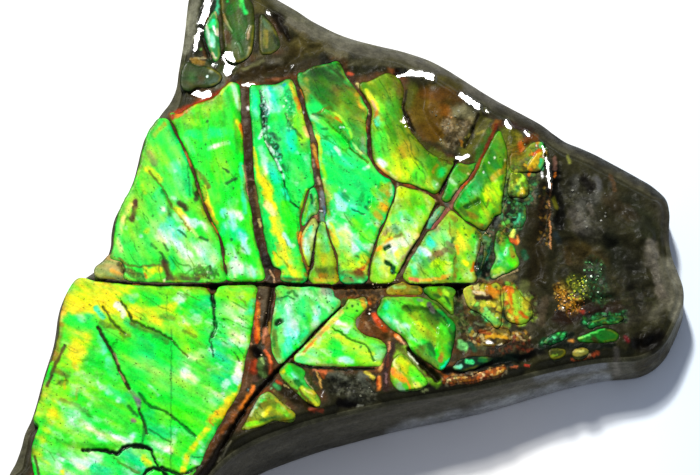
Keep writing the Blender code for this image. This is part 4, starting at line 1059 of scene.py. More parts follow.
        (DARK_GREEN, .7, 1.6, (361, 346)), (DARK_GREEN, .8, .9, (334, 349)),
        ((.68, 1, .68), .9, 7, (316, 350), (312, 357)), ((.6, 1, .2), .7, 5, (322, 349)),
        ((.9, .98, .5), .9, 2, (312, 345), (302, 354), (296, 359)),
        ((.35, .98, .45), .8, 6, (303, 358), (298, 359)), (MILK_AND_SHEEN, .6, 3, (318, 362)),
        (MILK_AND_SHEEN, .95, 4.5, (340, 361), (347, 361)), ((.85, 1, .85), .8, 3, (352, 361)),
        ((.2, .98, .2), .8, 4, (330, 361)), ((.75, .98, .15), .95, 7, (360, 359), (368, 355)),
        ((.6, 1, .15), .8, 4, (375, 361)), ((.45, .92, .55), .95, 8, (377, 345), (381, 352)),
        ((.6, .97, .65), .7, 4, (380, 356), (376, 358)), ((.25, .8, .4), .6, 2.5, (383, 343), (385, 348)),
        ((.2, .45, .05), .9, 1.2, (333, 328), (341, 332), (349, 338), (357, 341), (363, 343), (368, 347),
         (371, 352), (374, 360)), ((.99, .9, .35), .98, 3.2, (341, 312), (331, 323), (319, 335)),
        ((.95, .75, .3), .9, 1.8, (330, 325), (318, 337), (306, 347)),
        (ORANGE, .7, 1.5, (312, 343), (304, 351))]),
    "arrow_flake": ((.32, .76, .2), 50, [
        (YELLOW, .9, 2, (282, 372), (288, 366)), ((.1, .98, .3), .9, 5, (289, 370), (292, 376)),
        ((.65, 1, .82), .9, 3, (293, 373), (297, 377)), ((.05, .45, .12), .85, 4, (297, 381), (302, 386)),
        ((.15, .85, .4), .8, 3, (303, 379), (307, 384)),
        ((.92, .92, .2), .98, 3.2, (301, 390), (308, 391), (314, 392)),
        ((.6, .6, .08), .95, 4, (305, 395), (313, 396)),
        (YELLOW, .9, 2.3, (306, 400), (314, 403), (319, 404)),
        (BROWN, .8, 1.5, (284, 380), (291, 387), (297, 391)),
        ((.82, .82, .1), .9, 4, (303, 388), (312, 396), (319, 404)),
        ((.35, .32, .05), .85, 1.6, (299, 389), (306, 398), (314, 405)),
        ((.97, .95, .5), .85, 1.2, (304, 389), (312, 393))]),
    "corner_triangle_flake": ((.5, .6, .13), 40, [
        (CYAN, .8, 4, (262, 396), (256, 404)), (MILK_AND_SHEEN, .8, 3, (255, 404), (251, 412)),
        (GREEN, .8, 4, (264, 398)), (LIME, .9, 6, (280, 406), (286, 411)),
        (YELLOW, .8, 3, (270, 408), (264, 414)), (OLIVE, .8, 3, (262, 404), (274, 402)),
        (DARK_GREEN, .7, 3, (262, 420), (284, 416)), (LIME, .8, 3, (248, 424), (262, 422)),
        (GOLD, .6, 1.5, (276, 399), (290, 411))]),
    "folded_plate": ((.26, .76, .1), 50, [
        # The fold: the yellow band along its ridge is a painted highlight, and dark green strokes in its
        # grooves and on its right side are painted shade
        ((.72, .8, .1), .85, 9, (418, 316), (430, 334), (440, 352)),
        ((.45, .95, .55), .85, 8, (390, 306), (392, 322)),
        ((.1, .34, .07), .95, 7, (446, 298), (456, 322), (454, 348)),
        ((.35, .9, .15), .8, 7, (408, 330), (420, 350)), ((.3, .5, .06), .8, 5, (426, 312), (438, 328)),
        ((.5, .95, .4), .9, 2.5, (388, 299), (400, 299), (412, 300)),
        ((.25, .9, .2), .9, 5, (395, 303), (412, 304)), ((.05, .85, .25), .9, 5, (386, 308), (381, 312)),
        (CYAN, .8, 4, (388, 304), (386, 308)), (MILK_AND_SHEEN, .5, 2.5, (393, 307)),
        ((.2, 1, .2), .9, 7, (394, 312), (398, 308)), ((.1, .95, .4), .9, 5, (381, 315), (385, 318)),
        ((.5, 1, .8), .95, 5, (386, 318), (391, 320)), (MILK_AND_SHEEN, .8, 3, (388, 320)),
        ((.3, .98, .5), .9, 4, (392, 328)), ((.5, .98, .1), .95, 8, (408, 318), (416, 328)),
        ((.35, .98, .1), .95, 7, (412, 342), (415, 348)), ((.93, 1, .93), .98, 5, (398, 325), (400, 329)),
        (MILK_AND_SHEEN, .95, 5, (408, 330), (410, 338)), (MILK_AND_SHEEN, .9, 4, (404, 326)),
        ((.7, .95, .1), .95, 7, (420, 328), (420, 334)), ((.65, .7, .08), .9, 7, (428, 328), (430, 334)),
        ((.5, .65, .1), .8, 6, (412, 314), (420, 318)),
        ((.15, .35, .05), .95, 4, (405, 308), (418, 309), (428, 311)),
        ((.3, .42, .08), .85, 6, (422, 316), (434, 322)),
        ((.1, .28, .1), .98, 6, (432, 310), (440, 316), (446, 324)),
        ((.3, .38, .35), .9, 3, (429, 305), (433, 311)), (LIME, .9, 1.8, (422, 304), (424, 306)),
        ((.35, .6, .55), .8, 1.8, (418, 300), (422, 301)),
        ((.05, .75, .3), .95, 3, (440, 311), (446, 316), (450, 323)),
        ((.15, .6, .15), .9, 3, (452, 322), (452, 330)),
        ((.35, .95, .15), .95, 4.5, (442, 328), (446, 333)),
        ((.35, .9, .15), .9, 4, (440, 338), (438, 346)), (BRIGHT, .95, 4.5, (438, 352), (436, 356)),
        ((.72, .5, .08), .9, 3, (442, 354), (440, 360)), ((.15, .4, .1), .85, 4, (430, 345), (432, 355)),
        ((.1, .35, .25), .95, 3, (450, 343), (450, 354)), ((.45, .5, .1), .9, 6, (420, 350), (426, 356)),
        ((.4, .55, .12), .9, 4, (430, 360), (436, 364)),
        ((.2, .95, .65), .98, 1.8, (449, 359), (445, 365), (441, 368))]),
    "amber_strip_flake": ((.66, .58, .1), 10, [
        ((.7, .85, .3), .9, 2.2, (394, 287), (404, 287)), ((.85, .6, .12), .9, 3, (398, 292), (406, 292)),
        ((.5, .55, .12), .8, 2.5, (412, 292), (416, 292)), (TEAL_BLACK, .5, 2, (412, 287), (417, 287))]),
    "green_corner_flake": ((.24, .58, .1), 40, [
        (BRIGHT, .7, 3, (430, 289), (436, 289)), ((.62, .55, .1), .9, 2.5, (439, 290), (441, 293)),
        ((.55, .98, .2), .9, 3.5, (444, 291), (447, 294)), ((.4, .95, .1), .9, 4, (441, 300), (446, 303)),
        (DARK_GREEN, .8, 1.5, (446, 297), (449, 303)), ((.4, 1, .2), .9, 2.3, (445, 306), (451, 309)),
        (DARK_GREEN, .7, 2, (434, 295), (440, 297))]),
    "orange_edge_flake": ((.42, .75, .08), 50, [
        (PALE_YELLOW, .9, 3.5, (394, 360), (397, 366)), ((.78, .88, .05), .95, 6, (400, 362), (404, 368)),
        ((.92, .65, .1), .95, 4, (393, 370), (398, 375), (404, 380)),
        ((.95, .6, .25), .9, 1.8, (392, 368), (393, 373)), ((.45, .98, .1), .95, 6, (412, 372), (418, 378)),
        ((.85, .98, .3), .95, 4, (416, 384), (420, 384)),
        ((.6, .76, .52), .95, 4.5, (397, 384), (404, 388)), ((.4, .85, .3), .8, 3, (396, 380)),
        ((.9, .6, .1), .9, 1.2, (402, 379), (408, 382), (410, 388))]),
    "mosaic_left_flake": ((.7, .8, .25), 45, [
        ((.5, .42, .3), .9, 5, (473, 297), (480, 302)),
        ((.98, .96, .65), .98, 2.8, (474, 292), (482, 292), (488, 295)),
        ((.99, .6, .1), .98, 5, (488, 288), (491, 294)), (GOLD, .9, 3, (494, 293)),
        ((.45, .35, .15), .9, 3, (483, 298), (490, 297)),
        ((.9, .86, .15), .95, 3.5, (485, 304), (487, 309)),
        ((.5, .95, .45), .95, 3.5, (498, 298), (499, 310)),
        ((.3, .3, .05), .9, 2, (486, 300), (490, 304), (496, 304), (498, 300)),
        ((.98, .98, .6), .95, 2, (488, 308), (496, 307)), ((.45, .85, .3), .9, 3, (474, 305), (476, 309)),
        ((.65, .98, .72), .98, 4.5, (489, 314), (491, 320)),
        ((.65, .95, .3), .9, 4, (496, 316), (496, 322)), ((.75, .95, .6), .8, 2.5, (481, 307), (485, 312))]),
    "mosaic_right_flake": ((.75, .8, .15), 45, [
        ((.85, .35, .08), .95, 3, (507, 288), (511, 289)),
        ((.92, .55, .1), .9, 3.5, (512, 290), (516, 293)),
        ((.98, .86, .15), .98, 3.2, (508, 296), (512, 304), (514, 310)),
        ((.75, .25, .05), .95, 1.8, (507, 302), (510, 308)),
        ((.92, .45, .05), .95, 2.5, (510, 310), (512, 314)),
        ((.5, .95, .25), .95, 3, (518, 297), (518, 306)),
        (YELLOW, .95, 2.5, (524, 303), (524, 309), (521, 312)),
        ((.82, .35, .05), .95, 3, (520, 314), (524, 317)),
        ((.65, .96, .15), .95, 3.5, (518, 322), (523, 321)), ((.5, .8, .15), .9, 3, (513, 318)),
        (OLIVE, .8, 3, (529, 305), (530, 311))]),
    "mosaic_lower_flake": ((.5, .45, .2), 20, [
        ((.92, .88, .3), .95, 2.5, (484, 335), (492, 335)),
        ((.97, .86, .1), .98, 3, (498, 335), (506, 336)), ((.45, .3, .1), .9, 2.5, (500, 340), (508, 340)),
        (GLINT_WHITE, .95, 2.2, (487, 341), (491, 343)), (GLINT_WHITE, .9, 1.5, (497, 344), (501, 343))]),
    "gold_edge_strip": ((.75, .45, .2), 15, [
        ((.92, .62, .3), .9, 2.5, (450, 379), (458, 378)),
        ((.96, .92, .55), .98, 2.8, (474, 373), (482, 373)),
        ((.75, .3, .15), .9, 1.5, (478, 377), (486, 376)),
        ((.96, .66, .3), .95, 2.5, (490, 372), (500, 369)), (PALE_YELLOW, .9, 1.8, (493, 375), (500, 371))]),
    "teal_edge_strip": ((.03, .14, .09), 15, [
        ((.2, .88, .52), .98, 2.8, (467, 361), (472, 362)),
        ((.5, .95, .72), .98, 2.2, (455, 367), (461, 366)), ((.1, .42, .2), .9, 3, (480, 359), (485, 359))]),
    "green_edge_flake_left": ((.06, .3, .13), 30, [
        ((.45, .97, .65), .98, 1.5, (544, 343), (550, 339), (557, 337)),
        ((.15, .8, .3), .95, 2.5, (558, 334), (562, 335))]),
    "olive_edge_flake": ((.22, .25, .04), 10, [((.62, .66, .2), .9, 1.3, (551, 356), (557, 354))]),
    "green_edge_flake_upper": ((.12, .42, .18), 20, [
        ((.2, .72, .15), .9, 3, (589, 324), (594, 321)), (MINT, .7, 1.3, (604, 320), (607, 321)),
        (MINT, .7, 1.2, (613, 318)), ((.05, .28, .15), .9, 3, (618, 320))]),
    "green_edge_flake_lower": ((.08, .42, .11), 20, [
        ((.5, .92, .42), .98, 1.8, (579, 338), (586, 335), (597, 332)),
        ((.2, .22, .06), .98, 4.3, (593, 337), (595, 343)),
        ((.06, .38, .1), .97, 5, (604, 335), (616, 337)), ((.1, .6, .3), .8, 2, (583, 341)),
        ((.25, .9, .4), .9, 1.4, (598, 331), (604, 329))]),
    "yellow_edge_flake": ((.46, .5, .22), 15, [((.85, .95, .5), .8, 1.8, (576, 351), (582, 350))]),
    "crest_teal_plate": ((.1, .6, .3), 85, [
        # White and pale strokes on this plate are painted highlights
        ((.8, 1, .9), .95, 1.8, (215, 10), (216, 15)), ((.1, .96, .72), .98, 3, (212, 20), (212, 24)),
        ((.2, .95, .5), .9, 2.5, (208, 25), (215, 21)), (GLINT_WHITE, .95, 1.8, (207, 30), (209, 37), (211, 45)),
        (GLINT_WHITE, .9, 1.5, (213, 25), (216, 33)), ((.4, .92, .68), .95, 3, (211, 33), (212, 42)),
        ((.08, .5, .22), .95, 4, (217, 40), (217, 50)), (GLINT_WHITE, .9, 1.6, (212, 52), (215, 57)),
        (GLINT_WHITE, .85, 2.2, (206, 26), (208, 36), (210, 44)), ((.6, 1, .85), .8, 2, (212, 36), (213, 46)),
        (GLINT_WHITE, .8, 1.4, (217, 28), (218, 34))]),
    "crest_olive_plate": ((.22, .3, .09), 80, [
        ((.12, .45, .08), .9, 6, (235, 3), (232, 8)),
        ((.3, .95, .35), .98, 3, (240, -4), (242, 6), (245, 12)), ((.1, .8, .3), .9, 2, (227, 0)),
        ((.2, .38, .1), .9, 8, (235, 20), (240, 35)),
        # Pale grey streaks along the ridges are painted reflections
        ((.55, .6, .4), .95, 1.6, (223, 14), (226, 22), (231, 30)),
        ((.6, .63, .46), .95, 1.8, (250, 26), (247, 38)), ((.5, .55, .36), .9, 2, (237, 44), (241, 54)),
        ((.62, .66, .52), .95, 2.2, (249, 48), (246, 57)), ((.25, .2, .08), .9, 4, (226, 32), (228, 40)),
        ((.33, .38, .22), .9, 6, (232, 46), (238, 56)), ((.3, .9, .3), .8, 3, (228, -12), (236, -8))]),
    "crest_right_plate": ((.25, .3, .13), 85, [
        ((.42, .44, .12), .95, 3, (265, 30), (265, 44)), ((.35, .45, .28), .95, 3.5, (264, 20), (270, 28)),
        ((.15, .2, .1), .95, 3, (275, 35), (277, 42)), ((.5, .48, .25), .9, 1.8, (266, 46))]),
    "crest_foot_knob": ((.22, .27, .12), 20, [
        ((.28, .22, .06), .9, 5, (200, 78)), ((.3, .36, .16), .8, 4, (192, 73), (190, 82)),
        (GREY, .6, 4, (210, 82), (218, 79)), (PALE_GREY, .9, 2.5, (211, 71)), (GLINT_WHITE, .9, 1.4, (207, 76))]),
}

# The shale's strokes: the broad ground tones, the veins, then the crumbs and rusty fringes
# White dots among these strokes are painted highlights
ROCK_STROKES = [
    # Crest
    ((.19, .19, .08), .97, 14, (226, -12), (226, 60)), ((.2, .19, .08), .97, 12, (262, 0), (264, 58)),
    ((.2, .18, .09), .97, 12, (240, 70), (290, 62)), ((.14, .15, .08), .97, 6, (200, -8), (198, 50)),
    ((.17, .15, .07), .95, 9, (296, 66), (322, 64)), ((.24, .25, .13), .95, 8, (190, 78), (216, 82)),
    ((.3, .28, .13), .9, 9, (256, 0), (256, 50)), ((.24, .22, .1), .9, 9, (283, 42), (300, 52)),
    ((.2, .8, .55), .95, 3.4, (216, -6), (215, 12)), ((.1, .2, .1), .9, 4, (208, 60), (216, 64)),
    ((.28, .33, .16), .95, 5, (218, 70), (232, 66)), ((.3, .33, .18), .9, 5, (186, 66), (206, 66)),
    ((.75, .7, .5), .95, 1.2, (190, 58), (204, 57)), ((.62, .5, .2), .95, 2.2, (193, 61), (203, 62)),
    ((.5, .5, .42), .9, 6, (192, 0), (190, 25), (186, 50)),
    ((.08, .06, .02), .95, 5, (277, 15), (283, 30), (290, 37)),
    ((.33, .3, .2), .95, 6, (290, 22), (305, 32)), ((.3, .27, .13), .9, 9, (300, 42), (322, 48)),
    ((.22, .19, .08), .9, 7, (285, 50), (297, 52)), ((.36, .34, .24), .9, 7, (328, 47), (342, 54)),
    ((.08, .08, .03), .95, 8, (325, 60), (336, 66)), ((.15, .14, .08), .9, 4, (256, 15), (256, 50)),
    ((.3, .33, .25), .8, 2.5, (254, 22), (254, 38)),
    ((.08, .1, .05), .98, 3.5, (200, 30), (204, 42), (208, 54)),
    ((.08, .12, .06), .95, 3, (214, 0), (210, 12)), ((.5, .8, .3), .9, 1.8, (200, 48)),
    ((.55, .42, .15), .95, 3, (192, 59), (201, 62)), ((.4, .42, .32), .9, 3, (190, 66), (204, 68)),
    ((.35, .37, .3), .95, 5, (222, 76), (218, 84)),
    ((.62, .2, .05), .97, 4, (172, 115), (190, 107), (210, 99), (234, 84)),
    ((.85, .4, .1), .9, 1.6, (174, 117), (192, 110), (212, 102)),
    ((.4, .4, .25), .8, 2.5, (234, 73), (250, 66), (262, 60)),
    # The dark band below the crest's ridge is painted shadow
    ((.2, .16, .07), .95, 6, (240, 74), (260, 71), (284, 70)),
    ((.34, .32, .25), .9, 4, (268, 61), (280, 61)), ((.28, .24, .16), .9, 4, (245, 79), (262, 79)),
    ((.55, .33, .18), .9, 2.2, (273, 79), (286, 78)), ((.15, .13, .08), .9, 4, (236, 76), (232, 82)),
    # Back rim and the brown lens under it
    ((.4, .39, .33), .8, 6, (290, 20), (320, 34), (345, 44)),
    ((.34, .33, .28), .85, 7, (345, 46), (380, 54), (410, 58), (440, 72)),
    ((.3, .29, .25), .9, 8, (440, 74), (470, 88), (500, 105)),
    ((.2, .19, .15), .95, 8, (508, 110), (530, 122), (550, 134)),
    ((.28, .27, .18), .9, 5, (350, 62), (400, 64), (440, 82)),
    ((.12, .12, .05), .9, 4, (350, 68), (385, 68)), ((.37, .265, .05), .98, 21, (430, 103), (440, 120)),
    ((.4, .32, .08), .95, 12, (418, 100), (420, 122)), ((.3, .32, .07), .9, 8, (412, 88), (408, 104)),
    ((.4, .25, .05), .8, 9, (425, 92), (442, 95)), ((.34, .23, .05), .85, 10, (450, 88), (458, 98)),
    ((.26, .24, .1), .9, 7, (440, 80), (458, 84)), ((.45, .27, .06), .8, 6, (444, 110), (450, 114)),
    ((.38, .27, .05), .75, 8, (425, 130), (436, 138)), ((.22, .17, .05), .95, 6, (425, 146), (440, 153)),
    ((.12, .1, .02), .95, 1.6, (407, 90), (404, 103), (403, 110)),
    ((.1, .08, .02), .95, 2.6, (404, 110), (409, 120), (414, 130)),
    ((.26, .26, .05), .85, 4.5, (414, 134), (422, 142), (432, 149)),
    ((.34, .4, .08), .85, 5, (432, 153), (444, 158), (456, 162)),
    ((.48, .46, .32), .95, 7, (456, 112), (464, 108), (471, 116)),
    ((.53, .45, .28), .95, 6, (444, 124), (456, 124)),
    ((.45, .41, .26), .95, 8, (448, 142), (460, 132), (470, 122)),
    ((.85, .55, .15), .9, 1.5, (461, 140), (463, 146)), ((.88, .82, .35), .95, 1.3, (467, 137), (471, 132)),
    ((.9, .65, .42), .9, 1.2, (452, 117)), ((.95, .8, .6), .9, 1.2, (448, 127)),
    ((.35, .36, .1), .95, 8, (486, 116), (476, 140), (466, 154)),
    ((.25, .4, .1), .9, 6, (490, 132), (480, 152)), ((.45, .42, .12), .8, 3, (478, 124), (470, 146)),
    ((.14, .12, .05), .95, 2.2, (479, 114), (471, 138), (465, 147)),
    ((.33, .32, .15), .9, 5, (485, 118), (482, 130)), ((.3, .3, .06), .9, 7, (478, 142), (472, 154)),
    ((.6, .55, .2), .8, 1.5, (478, 134), (486, 130)), ((.16, .14, .08), .9, 3, (484, 112), (496, 118)),
    ((.2, .45, .1), .9, 5, (482, 148), (478, 160)), ((.38, .22, .08), .8, 4, (500, 122), (505, 132)),
    ((.5, .3, .06), .8, 3, (497, 121), (494, 128)),
    # Breccia on the right of the panels
    ((.36, .5, .12), .95, 7, (504, 132), (508, 160), (508, 196)),
    ((.5, .5, .1), .9, 5, (514, 150), (510, 172)), ((.32, .38, .1), .9, 6, (520, 172), (528, 176)),
    ((.4, .38, .07), .95, 9, (510, 134), (516, 152), (512, 172)),
    ((.4, .42, .1), .9, 6, (504, 130), (507, 160), (504, 190), (502, 210)),
    ((.3, .34, .12), .9, 8, (534, 174), (530, 192)), ((.22, .26, .12), .9, 9, (488, 232), (484, 262)),
    ((.3, .34, .16), .9, 8, (505, 226), (515, 250)), ((.32, .34, .08), .95, 8, (512, 138), (514, 158)),
    ((.66, .38, .05), .97, 5.5, (521, 142), (523, 150)), ((.45, .45, .08), .9, 5, (532, 146), (526, 158)),
    ((.4, .22, .05), .9, 5, (528, 138), (537, 138)), ((.2, .12, .08), .95, 4, (514, 124), (532, 129)),
    ((.15, .13, .06), .95, 11, (536, 200), (538, 240), (536, 275)),
    ((.6, .75, .2), .95, 3, (512, 170), (508, 177)), ((.35, .4, .2), .95, 4, (506, 208), (502, 216)),
    (BLACK, .98, 2.6, (502, 206), (497, 216), (494, 224)), ((.3, .33, .3), .9, 3.2, (499, 219), (496, 226)),
    ((.8, .6, .35), .9, 1.5, (506, 197), (504, 206)),
    ((.3, .3, .2), .9, 4, (517, 171), (508, 186), (508, 194)),
    ((.3, .45, .15), .9, 4, (536, 178), (534, 188)), ((.88, .92, .35), .98, 2.6, (514, 230), (512, 236)),
    ((.78, .32, .08), .98, 2.8, (512, 240), (516, 242)), ((.9, .6, .3), .9, 1.2, (518, 237), (519, 243)),
    ((.05, .06, .03), .95, 3.5, (507, 231), (507, 238)), ((.5, .42, .32), .95, 3.5, (482, 229), (492, 233)),
    ((.3, .5, .4), .9, 1.6, (484, 233)), ((.5, .75, .6), .9, 1.3, (494, 230)),
    ((.12, .12, .1), .95, 4, (480, 262), (481, 276)), ((.1, .11, .08), .95, 4, (489, 266), (488, 277)),
    ((.4, .35, .28), .9, 3.5, (485, 248), (482, 256)), ((.5, .45, .36), .9, 3, (478, 280), (488, 281)),
    ((.12, .35, .22), .9, 3.5, (524, 252), (526, 258)),
    ((.75, .65, .45), .9, 1, (497, 279), (508, 274), (518, 270)),
    ((.4, .36, .22), .95, 4, (502, 281), (514, 277)), ((.36, .38, .2), .9, 6, (525, 282), (522, 292)),
    ((.95, .65, .42), .98, 1, (551, 186), (550, 196)),
    ((.9, .62, .38), .98, .8, (550, 200), (550, 218), (551, 236), (551, 249)),
    ((.9, .55, .35), .95, 1.8, (545, 197), (543, 202)), ((.6, .75, .25), .9, 1.8, (545, 188), (545, 194)),
    ((.45, .38, .2), .9, 2, (546, 216), (547, 224)), (BLACK, .97, 6, (557, 168), (560, 196), (560, 226)),
    ((.16, .2, .2), .95, 4, (556, 234), (560, 243)), ((.42, .42, .1), .9, 2.2, (554, 198), (557, 208)),
    ((.5, .36, .3), .9, 2.5, (555, 158), (556, 168)), ((.92, .5, .15), .95, 1.3, (556, 172), (556, 177)),
    ((.5, .52, .2), .9, 2, (569, 156), (571, 162)),
    # Dark rock of the right end
    ((.2, .19, .14), .95, 9, (505, 108), (560, 138), (620, 168), (655, 188)),
    ((.24, .23, .19), .9, 8, (662, 196), (668, 240)), ((.14, .15, .09), .85, 14, (632, 205), (650, 232)),
    ((.13, .14, .09), .85, 12, (612, 240), (622, 264)),
    ((.13, .13, .1), .95, 5, (560, 138), (605, 158), (645, 180), (664, 198)),
    ((.28, .28, .25), .9, 10, (586, 206), (596, 196)), ((.4, .39, .35), .85, 8, (578, 212), (588, 228)),
    ((.34, .32, .28), .95, 8, (574, 214), (580, 230)), ((.37, .37, .36), .95, 5, (597, 177), (600, 188)),
    ((.23, .23, .2), .9, 6, (576, 178), (574, 190)), ((.07, .06, .04), .95, 6, (585, 178), (590, 188)),
    ((.42, .39, .34), .9, 3, (590, 205), (593, 214)), ((.36, .28, .16), .9, 4, (567, 249), (569, 262)),
    ((.26, .21, .08), .85, 14, (575, 252), (596, 262)), ((.16, .18, .1), .9, 12, (598, 272), (605, 295)),
    ((.12, .12, .08), .9, 14, (632, 262), (636, 300)),
    ((.4, .38, .33), .95, 7, (650, 243), (654, 262), (662, 282)),
    ((.44, .41, .35), .95, 8, (662, 290), (668, 302)), ((.2, .17, .1), .8, 10, (610, 200), (630, 215)),
    ((.35, .25, .14), .8, 3, (612, 176), (616, 190)), ((.24, .23, .17), .9, 9, (628, 318), (650, 314)),
    ((.05, .04, .02), .98, 11, (640, 344), (656, 340)), ((.45, .1, .12), .9, 2.5, (625, 337), (628, 341)),
    ((.12, .07, .03), .95, 8, (560, 318), (600, 310), (618, 306)),
    ((.36, .34, .3), .9, 4.5, (616, 350), (617, 364)), ((.3, .24, .1), .9, 8, (565, 285), (560, 300)),
    ((.35, .3, .22), .8, 6, (545, 300), (540, 320)), ((.3, .28, .2), .85, 7, (528, 310), (530, 330)),
    ((.85, .55, .2), .98, 2.2, (569, 340), (572, 341)), ((.5, .16, .1), .9, 2.5, (578, 310), (583, 312)),
    ((.4, .39, .32), .85, 6, (664, 262), (672, 290), (674, 316)),
    ((.5, .49, .42), .85, 5, (672, 262), (681, 296), (677, 322)),
    ((.34, .33, .26), .85, 8, (655, 316), (664, 304)),
    # Front edge
    ((.05, .05, .03), .97, 5, (445, 372), (480, 366), (520, 358), (540, 352)),
    ((.04, .09, .06), .97, 6, (490, 358), (515, 356)), ((.45, .16, .12), .95, 2.5, (520, 349), (528, 350)),
    ((.7, .22, .15), .95, 1.6, (525, 365), (528, 366)), ((.82, .42, .25), .95, 1.3, (511, 367), (517, 366)),
    ((.85, .35, .15), .98, 2, (572, 359), (585, 357), (598, 353)),
    ((.98, .78, .52), .98, 1.1, (573, 358), (582, 357), (590, 355)),
    ((.06, .08, .05), .95, 4, (565, 345), (590, 347), (612, 345)),
    ((.05, .08, .04), .95, 3, (540, 348), (560, 344), (572, 334)),
    ((.12, .1, .05), .9, 3, (410, 391), (430, 387), (442, 382)),
    ((.1, .15, .05), .9, 2, (411, 390), (424, 389)), ((.7, .75, .45), .9, 1.4, (422, 391), (428, 389)),
    # Between the folded plate, the mosaic flakes and the edge
    ((.55, .6, .2), .8, 6, (502, 288), (504, 322)),
    ((.3, .42, .12), .9, 7, (432, 296), (444, 306), (454, 320)),
    ((.3, .35, .15), .95, 6, (457, 300), (459, 320), (457, 336)),
    ((.03, .03, .01), .98, 6, (458, 288), (459, 294)), ((.36, .28, .14), .95, 5, (464, 312), (466, 334)),
    ((.55, .98, .52), .98, 4.6, (461, 345), (465, 347)), ((.15, .5, .3), .9, 3.5, (470, 330), (474, 335)),
    ((.25, .2, .08), .95, 5, (472, 316), (480, 320)), ((.4, .45, .3), .9, 1.5, (476, 323), (484, 325)),
    ((.15, .22, .18), .95, 3.5, (505, 314), (504, 324)), ((.3, .32, .18), .9, 6, (480, 345), (500, 349)),
    ((.12, .32, .2), .9, 3, (470, 343), (474, 350)), ((.45, .35, .25), .9, 4, (515, 335), (522, 343)),
    ((.32, .25, .12), .9, 4, (488, 327), (505, 328)), ((.55, .5, .35), .8, 3, (464, 296), (466, 304)),
    ((.2, .18, .1), .9, 5, (452, 358), (462, 353)), ((.3, .28, .18), .95, 6, (420, 290), (428, 291)),
    ((.15, .25, .1), .9, 3, (420, 287), (426, 289)), ((.95, .55, .25), .9, 1.6, (470, 289), (471, 292)),
    ((.5, .32, .14), .9, 4, (480, 284), (500, 283)),
    # The vein right of the left panel
    ((.22, .16, .09), .98, 7, (245, 95), (246, 130), (248, 165), (251, 200), (256, 232), (262, 262),
     (270, 282)), ((.36, .31, .25), .95, 3.5, (242, 92), (245, 122)),
    ((.38, .32, .16), .9, 2.5, (256, 186), (259, 215)), (GLINT_WHITE, .9, 1.8, (248, 108)),
    ((.55, .45, .35), .9, 1, (250, 179), (257, 180)), ((.78, .6, .42), .85, 1.4, (244, 165), (247, 200)),
    (RED, .95, 2.5, (249, 217), (250, 227)), (PINK_BEIGE, .8, 1.5, (250, 228), (251, 232)),
    (ORANGE, .95, 2, (250, 233), (251, 238)), (PINK_BEIGE, .9, 1.6, (252, 240), (253, 247)),
    (ORANGE, .95, 2.6, (254, 249), (257, 257)), (GOLD, .9, 2, (257, 261), (258, 264)),
    ((.9, .85, .45), .9, 1.6, (259, 219), (260, 226)), ((.06, .05, .02), .9, 5, (265, 256), (270, 268)),
    (PINK_BEIGE, .9, 1.1, (265, 278)), (PINK_BEIGE, .9, 1.1, (270, 270), (276, 284)),
    ((.3, .26, .2), .8, 3, (264, 272), (270, 280)),
    # The thin vein left of the left panel
    ((.26, .17, .08), .95, 2.6, (169, 119), (177, 135), (187, 155), (194, 173), (200, 193), (206, 210),
     (217, 231), (223, 250), (227, 280)), ((.62, .4, .14), .9, 1.6, (185, 152), (190, 165)),
    ((.7, .42, .12), .9, 1.8, (212, 223), (217, 232)), ((.5, .45, .15), .7, 1.5, (199, 190), (203, 202)),
    # The vein right of the tall panel, with its forks
    ((.27, .19, .1), .97, 4, (294, 80), (300, 96), (304, 112), (309, 126), (313, 140), (315, 156),
     (317, 172), (320, 190), (322, 212)), ((.85, .5, .1), .9, 1.8, (301, 89), (304, 96)),
    (GLINT_WHITE, .95, 1.7, (303, 113)), ((.42, .35, .26), .95, 2.5, (311, 127), (313, 140)),
    ((.85, .62, .2), .95, 2.3, (313, 145), (316, 158)), ((.85, .42, .12), .97, 2.3, (317, 160), (319, 167)),
    ((.55, .5, .38), .9, 1.6, (313, 160), (314, 166)), ((.68, .6, .45), .9, 1.8, (318, 178), (319, 184)),
    ((.25, .28, .22), .9, 2, (314, 170), (314, 184)), ((.45, .48, .48), .95, 3, (322, 192), (323, 206)),
    ((.25, .42, .48), .95, 1.8, (324, 207), (325, 216)), ((.35, .6, .45), .9, 2.2, (321, 214), (323, 222)),
    (GLINT_WHITE, .8, 1, (321, 199)), (GLINT_WHITE, .9, 1.2, (321, 211)),
    ((.75, .5, .35), .95, 2, (316, 214), (315, 223)), (BLACK, .8, 1.5, (306, 136)),
    ((.9, .75, .15), .9, 1.8, (307, 141), (309, 145)),
    ((.13, .09, .02), .95, 2.6, (318, 223), (315, 238), (313, 252), (311, 266), (309, 281)),
    ((.3, .22, .06), .9, 1.4, (327, 228), (331, 242), (336, 254), (338, 280)),
    ((.55, .4, .08), .9, 1.5, (300, 242), (303, 256), (308, 268)),
    ((.95, .6, .08), .95, 1.8, (300, 233), (299, 242)), ((.95, .55, .1), .9, 1.8, (305, 272), (306, 279)),
    # The vein between the centre and olive panels, and its branches
    ((.24, .15, .07), .97, 4.5, (348, 70), (354, 82), (361, 92), (368, 102), (371, 112), (369, 126),
     (368, 140), (368, 154), (372, 166), (382, 175), (394, 182)),
    ((.85, .35, .2), .95, 2, (349, 73), (352, 74)), ((.9, .85, .5), .95, 2, (357, 83), (361, 88)),
    ((.75, .95, .3), .9, 2, (361, 84), (364, 85)), ((.3, .55, .25), .9, 1.6, (353, 88), (356, 92)),
    ((.6, .35, .06), .9, 1.8, (367, 88), (374, 84), (379, 79)),
    ((.95, .95, .6), .95, 1.4, (367, 110), (368, 113)), ((.6, .4, .12), .9, 1.6, (365, 116), (366, 128)),
    ((.6, .24, .08), .9, 1.6, (366, 128), (366, 132)), ((.8, .9, .6), .9, 1.2, (365, 135), (366, 138)),
